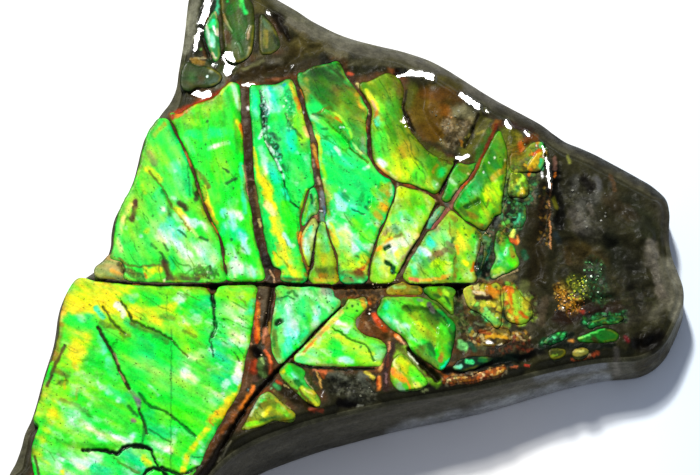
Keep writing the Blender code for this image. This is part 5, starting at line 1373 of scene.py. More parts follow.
    ((.45, .4, .35), .9, 2.6, (363, 157), (368, 160)), ((.55, .3, .25), .95, 2, (380, 175), (385, 178)),
    ((.45, .15, .02), .95, 1.6, (381, 172), (389, 176)),
    ((.3, .18, .06), .97, 3, (394, 181), (412, 186), (427, 193), (441, 201)),
    ((.6, .28, .06), .9, 1.5, (405, 184), (414, 187)),
    ((.92, .84, .45), .95, 2.4, (421, 191), (430, 198), (436, 202)),
    ((.25, .12, .05), .9, 1, (421, 189), (430, 195), (437, 200)),
    ((.3, .2, .1), .9, 1.2, (416, 191), (425, 197), (428, 204)),
    ((.35, .3, .24), .9, 2, (397, 184), (398, 192)),
    ((.26, .18, .07), .95, 1.8, (394, 184), (394, 196), (389, 210), (383, 224), (378, 238), (372, 256),
     (368, 280)), ((.75, .7, .5), .8, 1, (398, 184), (397, 190)),
    # The dark slanted veins
    ((.09, .06, .02), .98, 2.8, (457, 160), (449, 175), (440, 193)),
    ((.42, .3, .22), .95, 3, (440, 197), (445, 203)), ((.35, .4, .35), .8, 2.5, (446, 203), (449, 206)),
    ((.2, .15, .03), .97, 3.2, (437, 204), (427, 223), (417, 241), (406, 258), (398, 274)),
    ((.5, .42, .3), .8, 1.2, (416, 248), (408, 260)),
    ((.45, .15, .03), .97, 2.2, (497, 125), (488, 145), (481, 160)),
    ((.58, .26, .08), .97, 2.4, (481, 160), (474, 174), (466, 184)),
    ((.75, .3, .06), .95, 1.8, (466, 182), (462, 188)),
    ((.63, .4, .32), .97, 2.6, (460, 191), (452, 205), (447, 213)),
    ((.6, .33, .27), .97, 2.8, (445, 214), (433, 227)),
    ((.25, .2, .08), .9, 1, (449, 207), (463, 219), (479, 230)),
    ((.4, .35, .28), .9, 3.5, (402, 270), (398, 278)), ((.28, .22, .12), .9, 5, (380, 279), (402, 279)),
    # The long black crack and what lies along it
    ((.3, .26, .2), .95, 3, (97, 281), (130, 281), (200, 282)),
    (BLACK, .98, 2.2, (90, 280), (130, 284), (165, 286), (205, 285), (262, 283)),
    ((.2, .2, .08), .95, 4, (215, 288), (262, 286)), (BLACK, .98, 4.5, (212, 286), (225, 285)),
    ((.03, .05, .02), .98, 2.3, (262, 284), (320, 286), (400, 285), (470, 284)),
    ((.9, .55, .2), .9, 1.3, (134, 285), (142, 286)), (GLINT_WHITE, .9, 1.2, (165, 281)),
    ((.12, .1, .04), .95, 5, (305, 290), (304, 293)),
    # The broad brown band below it
    ((.35, .3, .22), .97, 6, (262, 290), (264, 304), (264, 316)),
    ((.12, .09, .04), .97, 4, (272, 288), (271, 300), (268, 314), (266, 330)),
    ((.75, .35, .1), .97, 3, (258, 303), (257, 318), (257, 336)),
    ((.98, .6, .2), .95, 1.6, (259, 309), (259, 317)), ((.98, .52, .12), .95, 1.8, (258, 328), (259, 338)),
    ((.9, .35, .08), .97, 1.8, (256, 331), (257, 342)), ((.72, .46, .32), .97, 3, (266, 329), (264, 341)),
    ((.6, .46, .12), .9, 1.8, (270, 322), (270, 332)), ((.5, .28, .12), .95, 2.5, (268, 338), (267, 348)),
    ((.05, .04, .02), 1, 6, (254, 350), (257, 355)), (PINK_BEIGE, .9, 1.2, (252, 344)),
    ((.5, .2, .1), .97, 5, (251, 363), (253, 371)), ((.72, .26, .12), .95, 2.6, (256, 361), (253, 369)),
    ((.3, .42, .2), .97, 4.5, (262, 361), (261, 373)), ((.65, .8, .45), .9, 1.5, (262, 358), (264, 363)),
    ((.2, .75, .4), .9, 1.1, (262, 355)), ((.92, .42, .2), .97, 1.8, (265, 350), (269, 356), (272, 365)),
    ((.6, .25, .1), .97, 2.8, (271, 366), (272, 373)), ((.42, .3, .2), .97, 6, (249, 380), (246, 388)),
    ((.46, .33, .26), .9, 4, (256, 378)), ((.08, .1, .1), .9, 3, (249, 389)),
    ((.4, .6, .58), .97, 1.8, (249, 389)), ((.92, .48, .15), .97, 2.8, (254, 386), (252, 395)),
    ((.96, .52, .1), .97, 4.5, (248, 397), (242, 405)), ((.5, .28, .1), .95, 5, (236, 412), (224, 434)),
    ((.35, .22, .1), .95, 5, (222, 436), (208, 462)),
    ((.07, .05, .02), 1, 3.2, (278, 370), (263, 385), (250, 401), (236, 424), (222, 446), (208, 470)),
    ((.12, .09, .04), .97, 4, (232, 426), (216, 452), (202, 474)),
    ((.05, .04, .02), 1, 1.9, (340, 307), (328, 319), (316, 331), (304, 344), (290, 357), (278, 369)),
    ((.5, .48, .38), .8, 1, (232, 440), (218, 462)),
    # Below the middle plates
    ((.25, .72, .36), .97, 3.3, (275, 384), (279, 387)), ((.5, .85, .55), .9, 1.6, (271, 388)),
    ((.82, .32, .12), .95, 1.8, (277, 380), (283, 384)),
    ((.14, .11, .03), .98, 8, (288, 388), (298, 398), (312, 406)),
    ((.78, .72, .42), .95, 1, (284, 385), (290, 387)),
    ((.7, .62, .35), .95, 1, (274, 390), (282, 401), (290, 408)),
    ((.35, .32, .08), .9, 3, (276, 393), (284, 400)),
    ((.2, .25, .05), .98, 5, (305, 371), (311, 380), (316, 388)),
    ((.78, .75, .52), .95, 1, (303, 374), (309, 384), (313, 389)),
    ((.5, .2, .1), .9, 2.5, (310, 408), (322, 410)), ((.82, .52, .35), .95, 1.8, (314, 369), (319, 370)),
    ((.86, .42, .2), .98, 2.8, (320, 370), (326, 372)), ((.62, .3, .1), .95, 2.2, (322, 374), (324, 377)),
    ((.88, .68, .32), .95, 1.3, (317, 372), (320, 380), (321, 387)),
    ((.04, .08, .02), .97, 2, (292, 362), (303, 366), (318, 367), (345, 369), (360, 368), (374, 368)),
    ((.33, .35, .29), .95, 6, (335, 375), (346, 379)), ((.37, .39, .33), .95, 6, (362, 377), (367, 386)),
    ((.3, .31, .26), .9, 6, (350, 386), (360, 394)), ((.05, .05, .03), .97, 5, (333, 389), (345, 384)),
    ((.05, .04, .03), .97, 5, (340, 402), (354, 404)), ((.62, .62, .54), .95, 1.9, (358, 405), (362, 405)),
    ((.93, .86, .28), .98, 2.2, (366, 372), (370, 375), (373, 377)),
    ((.92, .5, .18), .98, 2.5, (379, 377), (379, 388)), ((.7, .25, .08), .9, 1, (377, 378), (378, 386)),
    ((.38, .26, .12), .95, 1, (366, 377), (372, 384), (376, 390)),
    # Between the lower centre plate and the folded plate
    ((.5, .78, .12), .95, 4.5, (426, 378), (438, 384)), ((.6, .85, .2), .95, 5, (404, 350), (396, 358)),
    ((.45, .6, .15), .95, 4, (410, 356), (424, 371)), ((.55, .6, .1), .9, 4, (344, 302), (362, 300)),
    ((.4, .42, .1), .9, 3.5, (356, 306), (360, 318)), ((.3, .22, .1), .97, 9, (352, 290), (376, 294)),
    ((.62, .34, .08), .95, 3, (350, 298), (358, 297)), ((.95, .75, .55), .9, 1.2, (351, 301), (353, 303)),
    ((.88, .42, .1), .95, 2, (369, 299), (370, 303)), ((.2, .22, .08), .95, 4, (344, 302), (350, 305)),
    ((.14, .11, .05), .95, 4, (368, 312), (376, 309), (382, 302)),
    ((.32, .25, .12), .95, 4.5, (380, 290), (381, 298)), (PALE_GREY, .9, 1.3, (381, 299), (383, 296)),
    ((.44, .27, .11), .97, 7, (361, 322), (373, 327), (384, 334)),
    ((.5, .45, .38), .9, 3, (358, 320), (356, 326)), ((.66, .52, .36), .8, 1.5, (365, 322), (369, 328)),
    ((.88, .32, .12), .98, 3.2, (374, 315), (378, 322)), ((.68, .26, .06), .97, 3, (379, 324), (385, 330)),
    ((.34, .24, .09), .97, 4, (386, 335), (391, 343)),
    ((.2, .13, .1), .98, 4, (393, 344), (388, 357), (385, 372), (386, 388)),
    ((.42, .2, .12), .95, 1.4, (389, 350), (387, 366)), ((.62, .46, .46), .8, 1.4, (386, 373), (386, 382)),
    ((.92, .52, .2), .98, 2.2, (396, 335), (400, 340)), ((.96, .72, .52), .95, 1.3, (398, 337), (404, 343)),
    ((.36, .4, .12), .95, 3.5, (398, 346), (402, 350)), ((.9, .6, .4), .95, 1.4, (389, 342), (389, 350)),
    ((.95, .7, .36), .95, 1.9, (382, 364), (380, 369)),
    # The black strip in this groove is painted shadow
    ((.1, .1, .02), 1, 4.5, (410, 350), (424, 364), (437, 378)),
    ((.4, .46, .15), .95, 2.6, (404, 352), (412, 362), (420, 371)),
    ((.88, .92, .78), .97, 1.1, (408, 352), (417, 363)), ((.5, .6, .3), .9, .9, (410, 358), (420, 369)),
    # Left edge of the slab
    ((.5, .4, .12), .95, 3.5, (66, 330), (62, 348), (57, 362)),
    ((.2, .15, .08), .9, 3, (54, 370), (46, 392)), ((.22, .2, .14), .9, 5, (36, 430), (34, 460)),
    ((.22, .18, .08), .9, 4, (68, 312), (76, 294)), ((.2, .16, .08), .9, 3, (84, 283), (96, 281)),
]

# Grooves (below zero) and ridges in millimetres, each with a half-width and the places that it runs through
NACRE_CREASES = [
    (-.16, 1.8, (122, 302), (129, 311), (133, 320), (145, 326), (158, 331), (172, 339)),
    (-.1, 1.5, (172, 339), (181, 349), (189, 356)),
    (-.12, 1.6, (103, 306), (108, 313), (113, 321), (121, 329), (126, 333)),
    (-.3, 2.2, (99, 327), (104, 336), (109, 344), (114, 352), (118, 362), (122, 372), (127, 381),
     (131, 388)), (.14, 3.2, (133, 391), (139, 398), (140, 406)),
    (-.2, 1.8, (140, 408), (143, 416), (146, 424), (148, 432)),
    (-.14, 1.8, (140, 392), (152, 406), (168, 412), (186, 426), (196, 435)),
    (-.35, 2.6, (85, 449), (100, 448), (112, 450), (120, 452), (126, 446), (133, 444), (151, 447)),
    (-.3, 2, (151, 447), (155, 455), (158, 463), (161, 468)),
    (-.3, 2.4, (163, 466), (182, 473), (201, 465)), (-.25, 2, (145, 474), (155, 466), (168, 474)),
    (-.2, 2.6, (212, 293), (214, 306)), (-.2, 2.4, (215, 318), (216, 328), (212, 336)),
    (-.1, 1.5, (149, 171), (162, 187), (172, 207), (190, 230)), (-.16, 2, (262, 105), (263, 128)),
    (-.2, 1.8, (264, 138), (276, 163), (286, 190), (301, 210)),
    (.22, 4, (325, 112), (334, 119), (343, 130), (350, 142)),
    (-.16, 1.8, (312, 114), (330, 125), (346, 142), (368, 163)), (-.08, 1.2, (352, 210), (364, 215)),
    (-.15, 2, (369, 198), (369, 206)), (-.12, 2.4, (343, 195), (348, 200)),
    (-.25, 3, (385, 249), (389, 246)), (-.25, 3, (386, 262), (391, 265)), (-.25, 3, (393, 267), (394, 273)),
    (.2, 5, (416, 326), (436, 338)), (-.2, 4, (430, 310), (440, 316), (446, 324)),
    (-.12, 2, (405, 308), (428, 311)), (.15, 4, (440, 330), (438, 350)),
    (-.12, 1.5, (333, 328), (349, 338), (363, 343), (374, 360)), (-.3, 3.6, (277, 323), (281, 321)),
    (.12, 6, (289, 308), (291, 328)), (.1, 6, (265, 92), (268, 107)), (.15, 4, (488, 288), (490, 304)),
    (-.2, 2.5, (486, 301), (498, 301)), (.2, 3, (508, 292), (512, 308)), (.2, 3, (522, 300), (523, 312)),
    (.14, 2, (223, 14), (231, 30)), (.14, 2, (250, 26), (247, 38)), (.14, 2.2, (237, 44), (241, 54)),
    (-.2, 3, (466, 207), (478, 202)), (.15, 3, (538, 154), (531, 166)), (.12, 3, (524, 190), (524, 196)),
]
ROCK_CREASES = [
    (-.8, 2.6, (88, 281), (130, 285), (165, 287), (205, 286), (262, 284), (320, 287), (400, 286),
     (470, 285)), (-.5, 3.5, (212, 287), (225, 286)), (-.7, 4.5, (457, 287), (459, 296)),
    (-.6, 5, (304, 290), (304, 293)), (-.7, 2.2, (340, 307), (316, 331), (290, 357), (278, 369)),
    (-.7, 3.2, (278, 370), (250, 401), (222, 446), (208, 470)),
    (-.45, 3, (272, 288), (268, 314), (265, 332)), (.25, 3, (258, 303), (257, 338)),
    (.2, 3, (266, 328), (264, 342)), (-.6, 6, (254, 350), (257, 355)), (.3, 5, (251, 362), (246, 388)),
    (.25, 4, (270, 352), (272, 372)), (-.35, 2.6, (457, 160), (449, 175), (440, 193)),
    (-.3, 3, (437, 204), (417, 241), (398, 274)), (-.35, 2.4, (318, 223), (313, 252), (309, 281)),
    (-.8, 5, (410, 350), (424, 364), (437, 378)), (.2, 1.2, (408, 352), (418, 364)),
    (-.7, 9, (640, 344), (656, 340)), (-.5, 6, (445, 372), (490, 362), (530, 356)),
    (-.3, 2, (404, 104), (409, 120), (414, 130)), (.35, 6, (372, 324), (384, 333)),
    (.3, 6, (262, 70), (240, 74)), (-.3, 5, (277, 15), (288, 36)), (-.35, 3, (200, 30), (208, 54)),
    (.5, 2.2, (546, 152), (549, 170), (549, 188)), (-.4, 6, (558, 168), (560, 226)),
    (.25, 1.2, (550, 200), (551, 249)), (-.3, 2.4, (502, 206), (494, 224)),
    (-.35, 4, (480, 262), (488, 277)), (.5, 8, (650, 243), (664, 290)), (-.2, 8, (632, 262), (636, 300)),
    (-.3, 6, (585, 180), (590, 188)), (.4, 6, (578, 220), (592, 206)),
    (-.3, 2, (292, 362), (318, 367), (374, 368)), (-.3, 1.8, (479, 114), (465, 147)),
    (.15, 3, (379, 377), (379, 388)), (-.4, 5, (334, 389), (345, 384)), (-.4, 5, (340, 402), (354, 404)),
]

# Rugged rock: lump height and lump size in millimetres, a half-width and the places it runs through
ROCK_PATCHES = [
    (.3, 1.3, 16, (450, 128), (468, 118)), (.04, 1, 12, (430, 100), (430, 130)),
    (.3, 1.6, 14, (520, 130), (522, 160)), (.2, 2, 16, (536, 200), (536, 280)),
    (.2, 1.4, 12, (506, 200), (500, 240)), (.2, 1.4, 12, (486, 240), (486, 280)),
    (.2, 2.4, 30, (580, 190), (590, 240)), (.15, 1.8, 30, (575, 270), (590, 310)),
    (.2, 2.6, 30, (625, 220), (645, 320)), (.4, 2.2, 14, (560, 170), (565, 230)),
    (.4, 1.6, 18, (345, 384), (370, 392)), (.25, 1.2, 12, (360, 295), (385, 330)),
    (.2, 1, 8, (255, 290), (262, 380)), (.25, 1.2, 12, (240, 400), (205, 465)),
    (.35, 1.8, 16, (300, 35), (340, 55)), (.3, 1.4, 12, (240, 76), (285, 72)),
    (.25, 1.2, 8, (200, 60), (215, 82)), (.3, 1.4, 20, (530, 310), (540, 335)),
    (.3, 1.3, 10, (290, 390), (312, 400)), (.2, 1, 10, (350, 62), (420, 66)),
    (.15, .9, 6, (245, 90), (251, 200), (268, 280)), (.15, .9, 5, (368, 90), (368, 160), (394, 182)),
    (.12, .8, 4, (300, 90), (314, 160), (322, 220)), (.2, 1.1, 8, (400, 275), (430, 290)),
    (.3, 1.3, 12, (460, 300), (462, 350)), (.25, 1.2, 10, (480, 330), (515, 340)),
    (.35, 1.6, 14, (615, 340), (640, 330)),
]

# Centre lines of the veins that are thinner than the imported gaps, each after its half-width
THIN_VEINS = [
    (1.3, (169, 119), (172, 124), (177, 135), (182, 144), (187, 155), (191, 165), (194, 173), (197, 183),
     (200, 193), (206, 210), (211, 221), (217, 231), (221, 241), (223, 250), (224, 262), (226, 272),
     (227, 282)),
    (4.6, (243, 80), (245, 92), (245, 110), (247, 130), (248, 150), (249, 170), (251, 190), (255, 205),
     (257, 220), (260, 240), (266, 260), (272, 280)),
    (2.4, (294, 78), (299, 90), (302, 100), (306, 117), (309, 126), (312, 135), (314, 143)),
    (3.6, (314, 143), (315, 160), (317, 175), (321, 195), (323, 212)),
    (1.6, (320, 218), (317, 222), (315, 235), (313, 250), (312, 262), (309, 282)),
    (.8, (325, 222), (327, 228), (329, 238), (333, 246), (336, 254), (338, 262), (337, 270), (339, 282)),
    (1, (313, 205), (307, 214), (303, 222), (301, 230), (299, 240), (301, 250), (305, 262), (309, 276)),
    (.8, (308, 190), (304, 205), (301, 215), (300, 225)), (.8, (314, 213), (307, 224), (302, 232)),
    (2.2, (343, 62), (350, 80), (357, 90), (364, 98), (369, 108), (370, 115), (368, 125), (369, 140),
     (370, 155), (374, 166), (381, 174), (391, 181), (396, 184)),
    (1.6, (396, 184), (410, 186), (422, 190), (432, 195), (440, 200)),
    (.9, (396, 184), (395, 195), (393, 202), (389, 210), (386, 220), (381, 229), (377, 240), (374, 250),
     (371, 260), (369, 270), (369, 282)), (1.5, (456, 163), (448, 178), (440, 195)),
    (2.2, (438, 203), (430, 220), (421, 238), (410, 255), (402, 270), (396, 282)),
    (1.7, (500, 122), (496, 130), (489, 143), (483, 155), (478, 166), (472, 177), (464, 185), (458, 192)),
    (2, (458, 192), (450, 206), (441, 218), (433, 228)),
    (.7, (450, 207), (458, 214), (466, 222), (474, 226), (482, 232)),
    (1.4, (95, 279), (130, 283), (160, 284), (200, 284), (262, 283), (300, 285), (340, 286), (380, 285),
     (430, 285), (475, 284)), (1.2, (344, 303), (328, 319), (316, 331), (304, 344), (290, 357), (279, 368)),
    (1.2, (291, 361), (302, 365), (314, 367), (330, 367), (345, 368), (360, 367), (378, 367)),
    (2.2, (404, 90), (403, 105), (407, 116), (412, 128), (420, 140), (430, 149), (440, 156), (452, 162)),
    (1.2, (503, 130), (508, 150), (509, 170), (506, 190), (503, 206)),
    (.8, (384, 296), (400, 296), (420, 296), (428, 298)),
    (1, (424, 287), (428, 298), (438, 304), (447, 313), (456, 324)),
    (.6, (502, 286), (502, 300), (503, 312), (503, 326)),
]

# Broken wet faces that glare: a half-width and the places they run through
PLATE_FACETS = [
    (5.4, (207, -6), (205, 12), (201, 22)), (4.2, (199, 28), (195, 40), (194, 49)),
    (7.6, (226, 55), (230, 62), (227, 69)), (4, (213, 63)), (1.8, (265, 9), (268, 12), (271, 15)),
    (2.2, (487, 341), (491, 343)), (1.8, (497, 346), (501, 344)),
    (3.4, (544, 146), (548, 162), (550, 176), (550, 190)), (2.6, (404, 116), (405, 123)), (2.4, (406, 126)),
    (1.4, (207, 76)),
]
ROCK_FACETS = PLATE_FACETS + [
    (2.5, (190, 64)), (5.6, (191, 89), (199, 93), (208, 94)), (3, (242, 84), (254, 85)), (2.3, (291, 65)),
    (1.3, (188, 62)), (1.3, (206, 74)), (1.3, (209, 79)), (1.3, (184, 85)), (1.3, (203, 58)),
    (1.3, (295, 57)), (5, (398, 72), (410, 72), (422, 74), (433, 78)),
    (4.2, (461, 93), (470, 100), (480, 107)), (2, (486, 109), (490, 112)), (4, (506, 122), (511, 127)),
    (3.2, (526, 132), (530, 135)), (3.2, (403, 122), (407, 126)), (1.3, (403, 112)),
    (2, (404, 127), (410, 126)), (4, (457, 157), (463, 158), (469, 156)), (1.8, (464, 162)),
    (1.6, (542, 172), (543, 177)), (2, (484, 240)), (1.6, (475, 262), (476, 268)),
    (1.5, (322, 390), (323, 397)), (2.3, (563, 308)),
]

# Loose spangles of nacre on the rock: a colour, how many and the corners of the place that they lie in
SPANGLES = [
    ((.85, .6, .15), 40, (555, 288), (576, 312)), ((.75, .8, .2), 34, (568, 276), (586, 300)),
    ((.35, .6, .35), 30, (584, 262), (606, 298)), ((.8, .72, .55), 18, (372, 279), (402, 287)),
    ((.7, .62, .45), 10, (478, 226), (494, 238)), ((.55, .3, .12), 10, (565, 300), (590, 314)),
    ((.5, .5, .4), 14, (430, 110), (475, 145)), ((.45, .5, .3), 14, (505, 130), (540, 190)),
    ((.4, .4, .36), 16, (570, 175), (610, 240)), ((.7, .6, .4), 10, (340, 295), (386, 335)),
    ((.6, .5, .35), 10, (255, 290), (275, 380)), ((.5, .5, .42), 8, (335, 375), (375, 404)),
]

# Crumbled places: crumb size, strength, half-width, the crumbs' colours and the places they run through
MOSAICS = [
    (4, .45, 9, ((.42, .4, .07), (.52, .36, .06), (.36, .36, .08), (.58, .52, .1)), (514, 140), (516, 156)),
    (3.6, .85, 6, ((.92, .6, .15), (.35, .25, .08), (.6, .85, .3), (.16, .16, .08), (.8, .7, .25),
     (.3, .5, .25)), (501, 290), (503, 322)),
    (4, .8, 8, ((.9, .7, .12), (.8, .42, .08), (.5, .6, .15), (.3, .3, .1), (.4, .65, .3)), (530, 166),
     (540, 150)),
    (3.4, .6, 9, ((.5, .72, .15), (.32, .4, .14), (.1, .2, .08), (.4, .48, .3), (.75, .8, .25),
     (.3, .55, .25)), (514, 172), (512, 192)),
    (3, .85, 10, ((.05, .13, .06), (.25, .55, .3), (.2, .4, .15), (.3, .75, .5), (.4, .45, .3),
     (.1, .12, .06)), (512, 202), (512, 224)),
    (3.6, .8, 9, ((.16, .16, .1), (.35, .45, .2), (.12, .2, .12), (.4, .38, .28), (.2, .5, .3)), (534, 176),
     (528, 200)),
    (3.4, .6, 8, ((.08, .12, .09), (.35, .45, .3), (.14, .4, .26), (.42, .36, .26), (.1, .2, .12),
     (.3, .6, .3)), (484, 232), (484, 276)),
    (3.4, .7, 6, ((.5, .62, .15), (.3, .45, .12), (.2, .16, .08), (.6, .5, .2)), (504, 226), (502, 240)),
    (3, .85, 7, ((.12, .1, .05), (.2, .14, .06), (.1, .1, .07), (.55, .42, .15), (.16, .15, .08)),
     (544, 186), (544, 240)),
    (5, .72, 11, ((.92, .55, .12), (.9, .8, .2), (.2, .13, .05), (.55, .8, .2), (.95, .85, .6),
     (.4, .28, .1), (.75, .35, .1)), (480, 290), (492, 306)),
    (4.8, .72, 10, ((.45, .85, .3), (.3, .35, .12), (.85, .85, .2), (.12, .3, .15), (.7, .5, .15),
     (.5, .9, .5)), (478, 308), (498, 322)),
    (5, .72, 10, ((.92, .5, .1), (.8, .85, .15), (.55, .9, .2), (.3, .2, .06), (.9, .75, .15),
     (.85, .35, .08)), (508, 290), (520, 316)),
    (3.4, .8, 7, ((.35, .3, .15), (.6, .75, .2), (.2, .16, .08), (.45, .5, .25)), (530, 296), (532, 318)),
    (3.2, .8, 8, ((.3, .2, .1), (.7, .5, .12), (.16, .12, .06), (.5, .22, .1), (.4, .35, .15),
     (.85, .75, .5)), (474, 336), (500, 340), (524, 338)),
    (3, .75, 7, ((.2, .13, .07), (.4, .18, .08), (.13, .1, .06), (.3, .25, .15)), (490, 350), (528, 346)),
    (3.4, .75, 6, ((.2, .3, .12), (.35, .38, .2), (.1, .16, .08), (.25, .2, .12)), (458, 302), (462, 332)),
    (2.2, .9, 10, ((.8, .55, .12), (.3, .2, .06), (.45, .33, .1), (.65, .45, .1), (.2, .15, .05),
     (.9, .75, .3)), (562, 292), (572, 306)),
    (2.2, .85, 11, ((.35, .45, .15), (.15, .2, .08), (.65, .68, .15), (.2, .27, .1), (.3, .36, .12)),
     (574, 282), (588, 290)),
    (2.4, .8, 12, ((.14, .26, .12), (.1, .15, .08), (.28, .42, .2), (.2, .22, .1), (.12, .4, .22)),
     (594, 268), (600, 296)),
    (2.4, .55, 5, ((.3, .5, .15), (.15, .2, .08), (.7, .95, .6), (.2, .3, .1), (.4, .9, .3)), (196, 268),
     (216, 274)),
    (2.8, .5, 4, ((.35, .3, .12), (.45, .42, .2), (.5, .6, .2), (.6, .5, .2), (.3, .4, .15)), (124, 270),
     (142, 277)),
    (3, .6, 7, ((.4, .33, .22), (.25, .2, .12), (.5, .42, .3), (.55, .5, .4), (.33, .26, .14)), (448, 122),
     (452, 145), (466, 124)),
    (3.4, .7, 12, ((.26, .27, .21), (.17, .17, .12), (.36, .37, .3), (.22, .22, .16), (.42, .42, .35),
     (.3, .3, .24)), (338, 384), (368, 392)),
    (2.8, .7, 4.5, ((.95, .7, .35), (.75, .35, .12), (.3, .13, .06), (.98, .88, .65), (.5, .22, .1)),
     (446, 381), (475, 377), (503, 369)),
    (3, .75, 6, ((.04, .28, .1), (.1, .5, .2), (.2, .75, .4), (.03, .15, .06), (.15, .4, .1)), (584, 322),
     (604, 318), (624, 316)),
    (2.6, .6, 5, ((.04, .2, .1), (.3, .85, .5), (.1, .5, .25), (.03, .1, .06)), (544, 342), (564, 335)),
    (2.6, .6, 4, ((.02, .15, .1), (.05, .3, .2), (.9, 1, .95), (.3, .8, .6), (.02, .1, .06)), (263, 100),
     (266, 132), (281, 158)),
    (2.4, .4, 5, ((.1, .6, .4), (.3, .9, .6), (.9, 1, .9), (.1, .3, .2)), (288, 94), (291, 128)),
    (3.2, .6, 7, ((.36, .26, .13), (.2, .14, .07), (.5, .34, .16), (.13, .1, .05)), (350, 292), (378, 298)),
    (4.5, .45, 16, ((.24, .24, .2), (.14, .14, .1), (.3, .3, .26), (.19, .19, .15)), (574, 190),
     (592, 230)),
    (4.5, .4, 18, ((.16, .17, .08), (.1, .1, .06), (.22, .2, .12), (.14, .13, .08)), (565, 255), (610, 290),
     (640, 300)),
]

# Strokes that lie over the crumbs, on the plates and on the rock: flake colours, and white dots that are
# painted highlights
GLINTS = [
    ((.93, .6, .12), .75, 4.5, (488, 288), (496, 295)), ((.85, .88, .22), .65, 5, (484, 303), (498, 300)),
    ((.5, .92, .4), .75, 5, (486, 315), (496, 322)), ((.9, .8, .15), .65, 4.5, (511, 298), (514, 312)),
    ((.6, .92, .2), .75, 4.5, (518, 293), (522, 322)), ((.9, .88, .2), .7, 4, (527, 300), (525, 310)),
    ((.75, .85, .25), .6, 4, (503, 294), (501, 306)), ((.12, .2, .12), .8, 3, (504, 312), (506, 322)),
    ((.2, .2, .08), .7, 3, (474, 308), (480, 318)), ((.75, .3, .08), .7, 2.5, (506, 288), (512, 288)),
    ((.35, .3, .1), .6, 2.5, (493, 300), (500, 304)),
    ((.05, .22, .13), .85, 2.2, (492, 244), (484, 260), (477, 274)),
    ((.1, .48, .32), .8, 2.2, (489, 252), (485, 264)), ((.03, .06, .04), .9, 2.6, (487, 262), (483, 276)),
    ((.3, .6, .42), .7, 2, (484, 236), (490, 240)), ((.55, .75, .55), .8, 1.2, (481, 242), (484, 240)),
    ((.88, .95, .35), .95, 2.2, (514, 230), (512, 236)), ((.8, .35, .08), .95, 2.6, (512, 240), (517, 242)),
    ((.95, .6, .25), .9, 1.3, (518, 236), (519, 243)),
    ((.98, .82, .15), .95, 2.6, (530, 168), (536, 158), (540, 153)),
    ((.85, .35, .06), .9, 2, (534, 154), (541, 150)), ((.15, .85, .5), .95, 2.6, (542, 160), (542, 168)),
    ((.3, .9, .45), .95, 2.2, (542, 143), (544, 147)), (GLINT_WHITE, .95, 1.3, (537, 146)),
    (GLINT_WHITE, .95, 1.5, (542, 172), (543, 177)), ((.95, .5, .1), .9, 2, (532, 170), (530, 174)),
    ((.96, .85, .15), .95, 2.4, (524, 192)), ((.75, .95, .3), .9, 2.2, (523, 177), (519, 184)),
    ((.7, .32, .08), .85, 2.4, (521, 143), (522, 150)), ((.97, .6, .1), .95, 2.6, (488, 288), (496, 292)),
    ((.98, .9, .7), .95, 1.8, (474, 292), (484, 294)), ((.15, .1, .04), .95, 2.6, (476, 298), (490, 298)),
    ((.95, .85, .2), .9, 2, (488, 303), (494, 306)), ((.6, .98, .35), .9, 2.2, (488, 314), (496, 320)),
    (GLINT_WHITE, .9, 1.2, (497, 318)), ((.2, .9, .5), .9, 1.8, (486, 320)),
    ((.95, .5, .08), .95, 2.6, (508, 290), (513, 304)), ((.92, .4, .05), .9, 2.2, (520, 312), (526, 318)),
    ((.7, .95, .2), .9, 2.4, (514, 296), (516, 314)), ((.93, .9, .2), .9, 1.8, (523, 304), (527, 308)),
    ((.95, .7, .12), .9, 2.2, (486, 336), (498, 336), (506, 337)),
    (GLINT_WHITE, .95, 2.2, (487, 341), (491, 343)), (GLINT_WHITE, .95, 1.6, (497, 346), (501, 344)),
    ((.65, .3, .1), .9, 2, (480, 331), (490, 333)), ((.98, .85, .65), .9, 1.1, (560, 308), (564, 311)),
    (GLINT_WHITE, .95, 1.2, (563, 308)), ((.12, .1, .05), .9, 2.2, (510, 206), (506, 214)),
    ((.3, .85, .6), .9, 2, (518, 222), (520, 214)), ((.45, .9, .35), .9, 2.4, (503, 224), (508, 222)),
]

# Strokes of the ground wall: lighter grey bands along its foot, which are painted light, and other greys
WALL_STROKES = [
    ((.64, .65, .65), .95, 9, (392, 434), (440, 422), (500, 407), (560, 391), (604, 380)),
    ((.5, .51, .52), .85, 8, (540, 376), (566, 370), (602, 364)),
    ((.5, .48, .43), .85, 5, (616, 356), (617, 374)), ((.24, .22, .16), .9, 9, (642, 366), (664, 350)),
    ((.3, .29, .23), .8, 6, (240, 446), (320, 424), (400, 402)),
]


# Materials

def add_noise(tree, scale, detail):
    """A noise over the object's own coordinates."""
    place, texture = (tree.nodes.new("ShaderNode" + kind) for kind in ("TexCoord", "TexNoise"))
    texture.inputs["Scale"].default_value = scale
    texture.inputs["Detail"].default_value = detail
    texture.inputs["Roughness"].default_value = NOISE_ROUGHNESS
    tree.links.new(place.outputs["Object"], texture.inputs["Vector"])
    return texture.outputs["Fac"]


def remap(tree, value, low, high, to_low, to_high):
    """A value from low to high brought to run from to_low to to_high."""
    node = tree.nodes.new("ShaderNodeMapRange")
    for socket, number in zip(("From Min", "From Max", "To Min", "To Max"), (low, high, to_low, to_high)):
        node.inputs[socket].default_value = number
    tree.links.new(value, node.inputs["Value"])
    return node.outputs["Result"]


def ranged_noise(tree, scale, detail, *ends):
    """A noise brought to a range."""
    return remap(tree, add_noise(tree, scale, detail), *ends)


def scaled(tree, colour, value):
    """A colour times a value."""
    node = tree.nodes.new("ShaderNodeVectorMath")
    node.operation = 'SCALE'
    tree.links.new(colour, node.inputs[0])
    tree.links.new(value, node.inputs["Scale"])
    return node.outputs["Vector"]


def attribute(tree, name, output):
    """A mesh's attribute as a colour or a value."""
    node = tree.nodes.new("ShaderNodeAttribute")
    node.attribute_name = name
    return node.outputs[output]


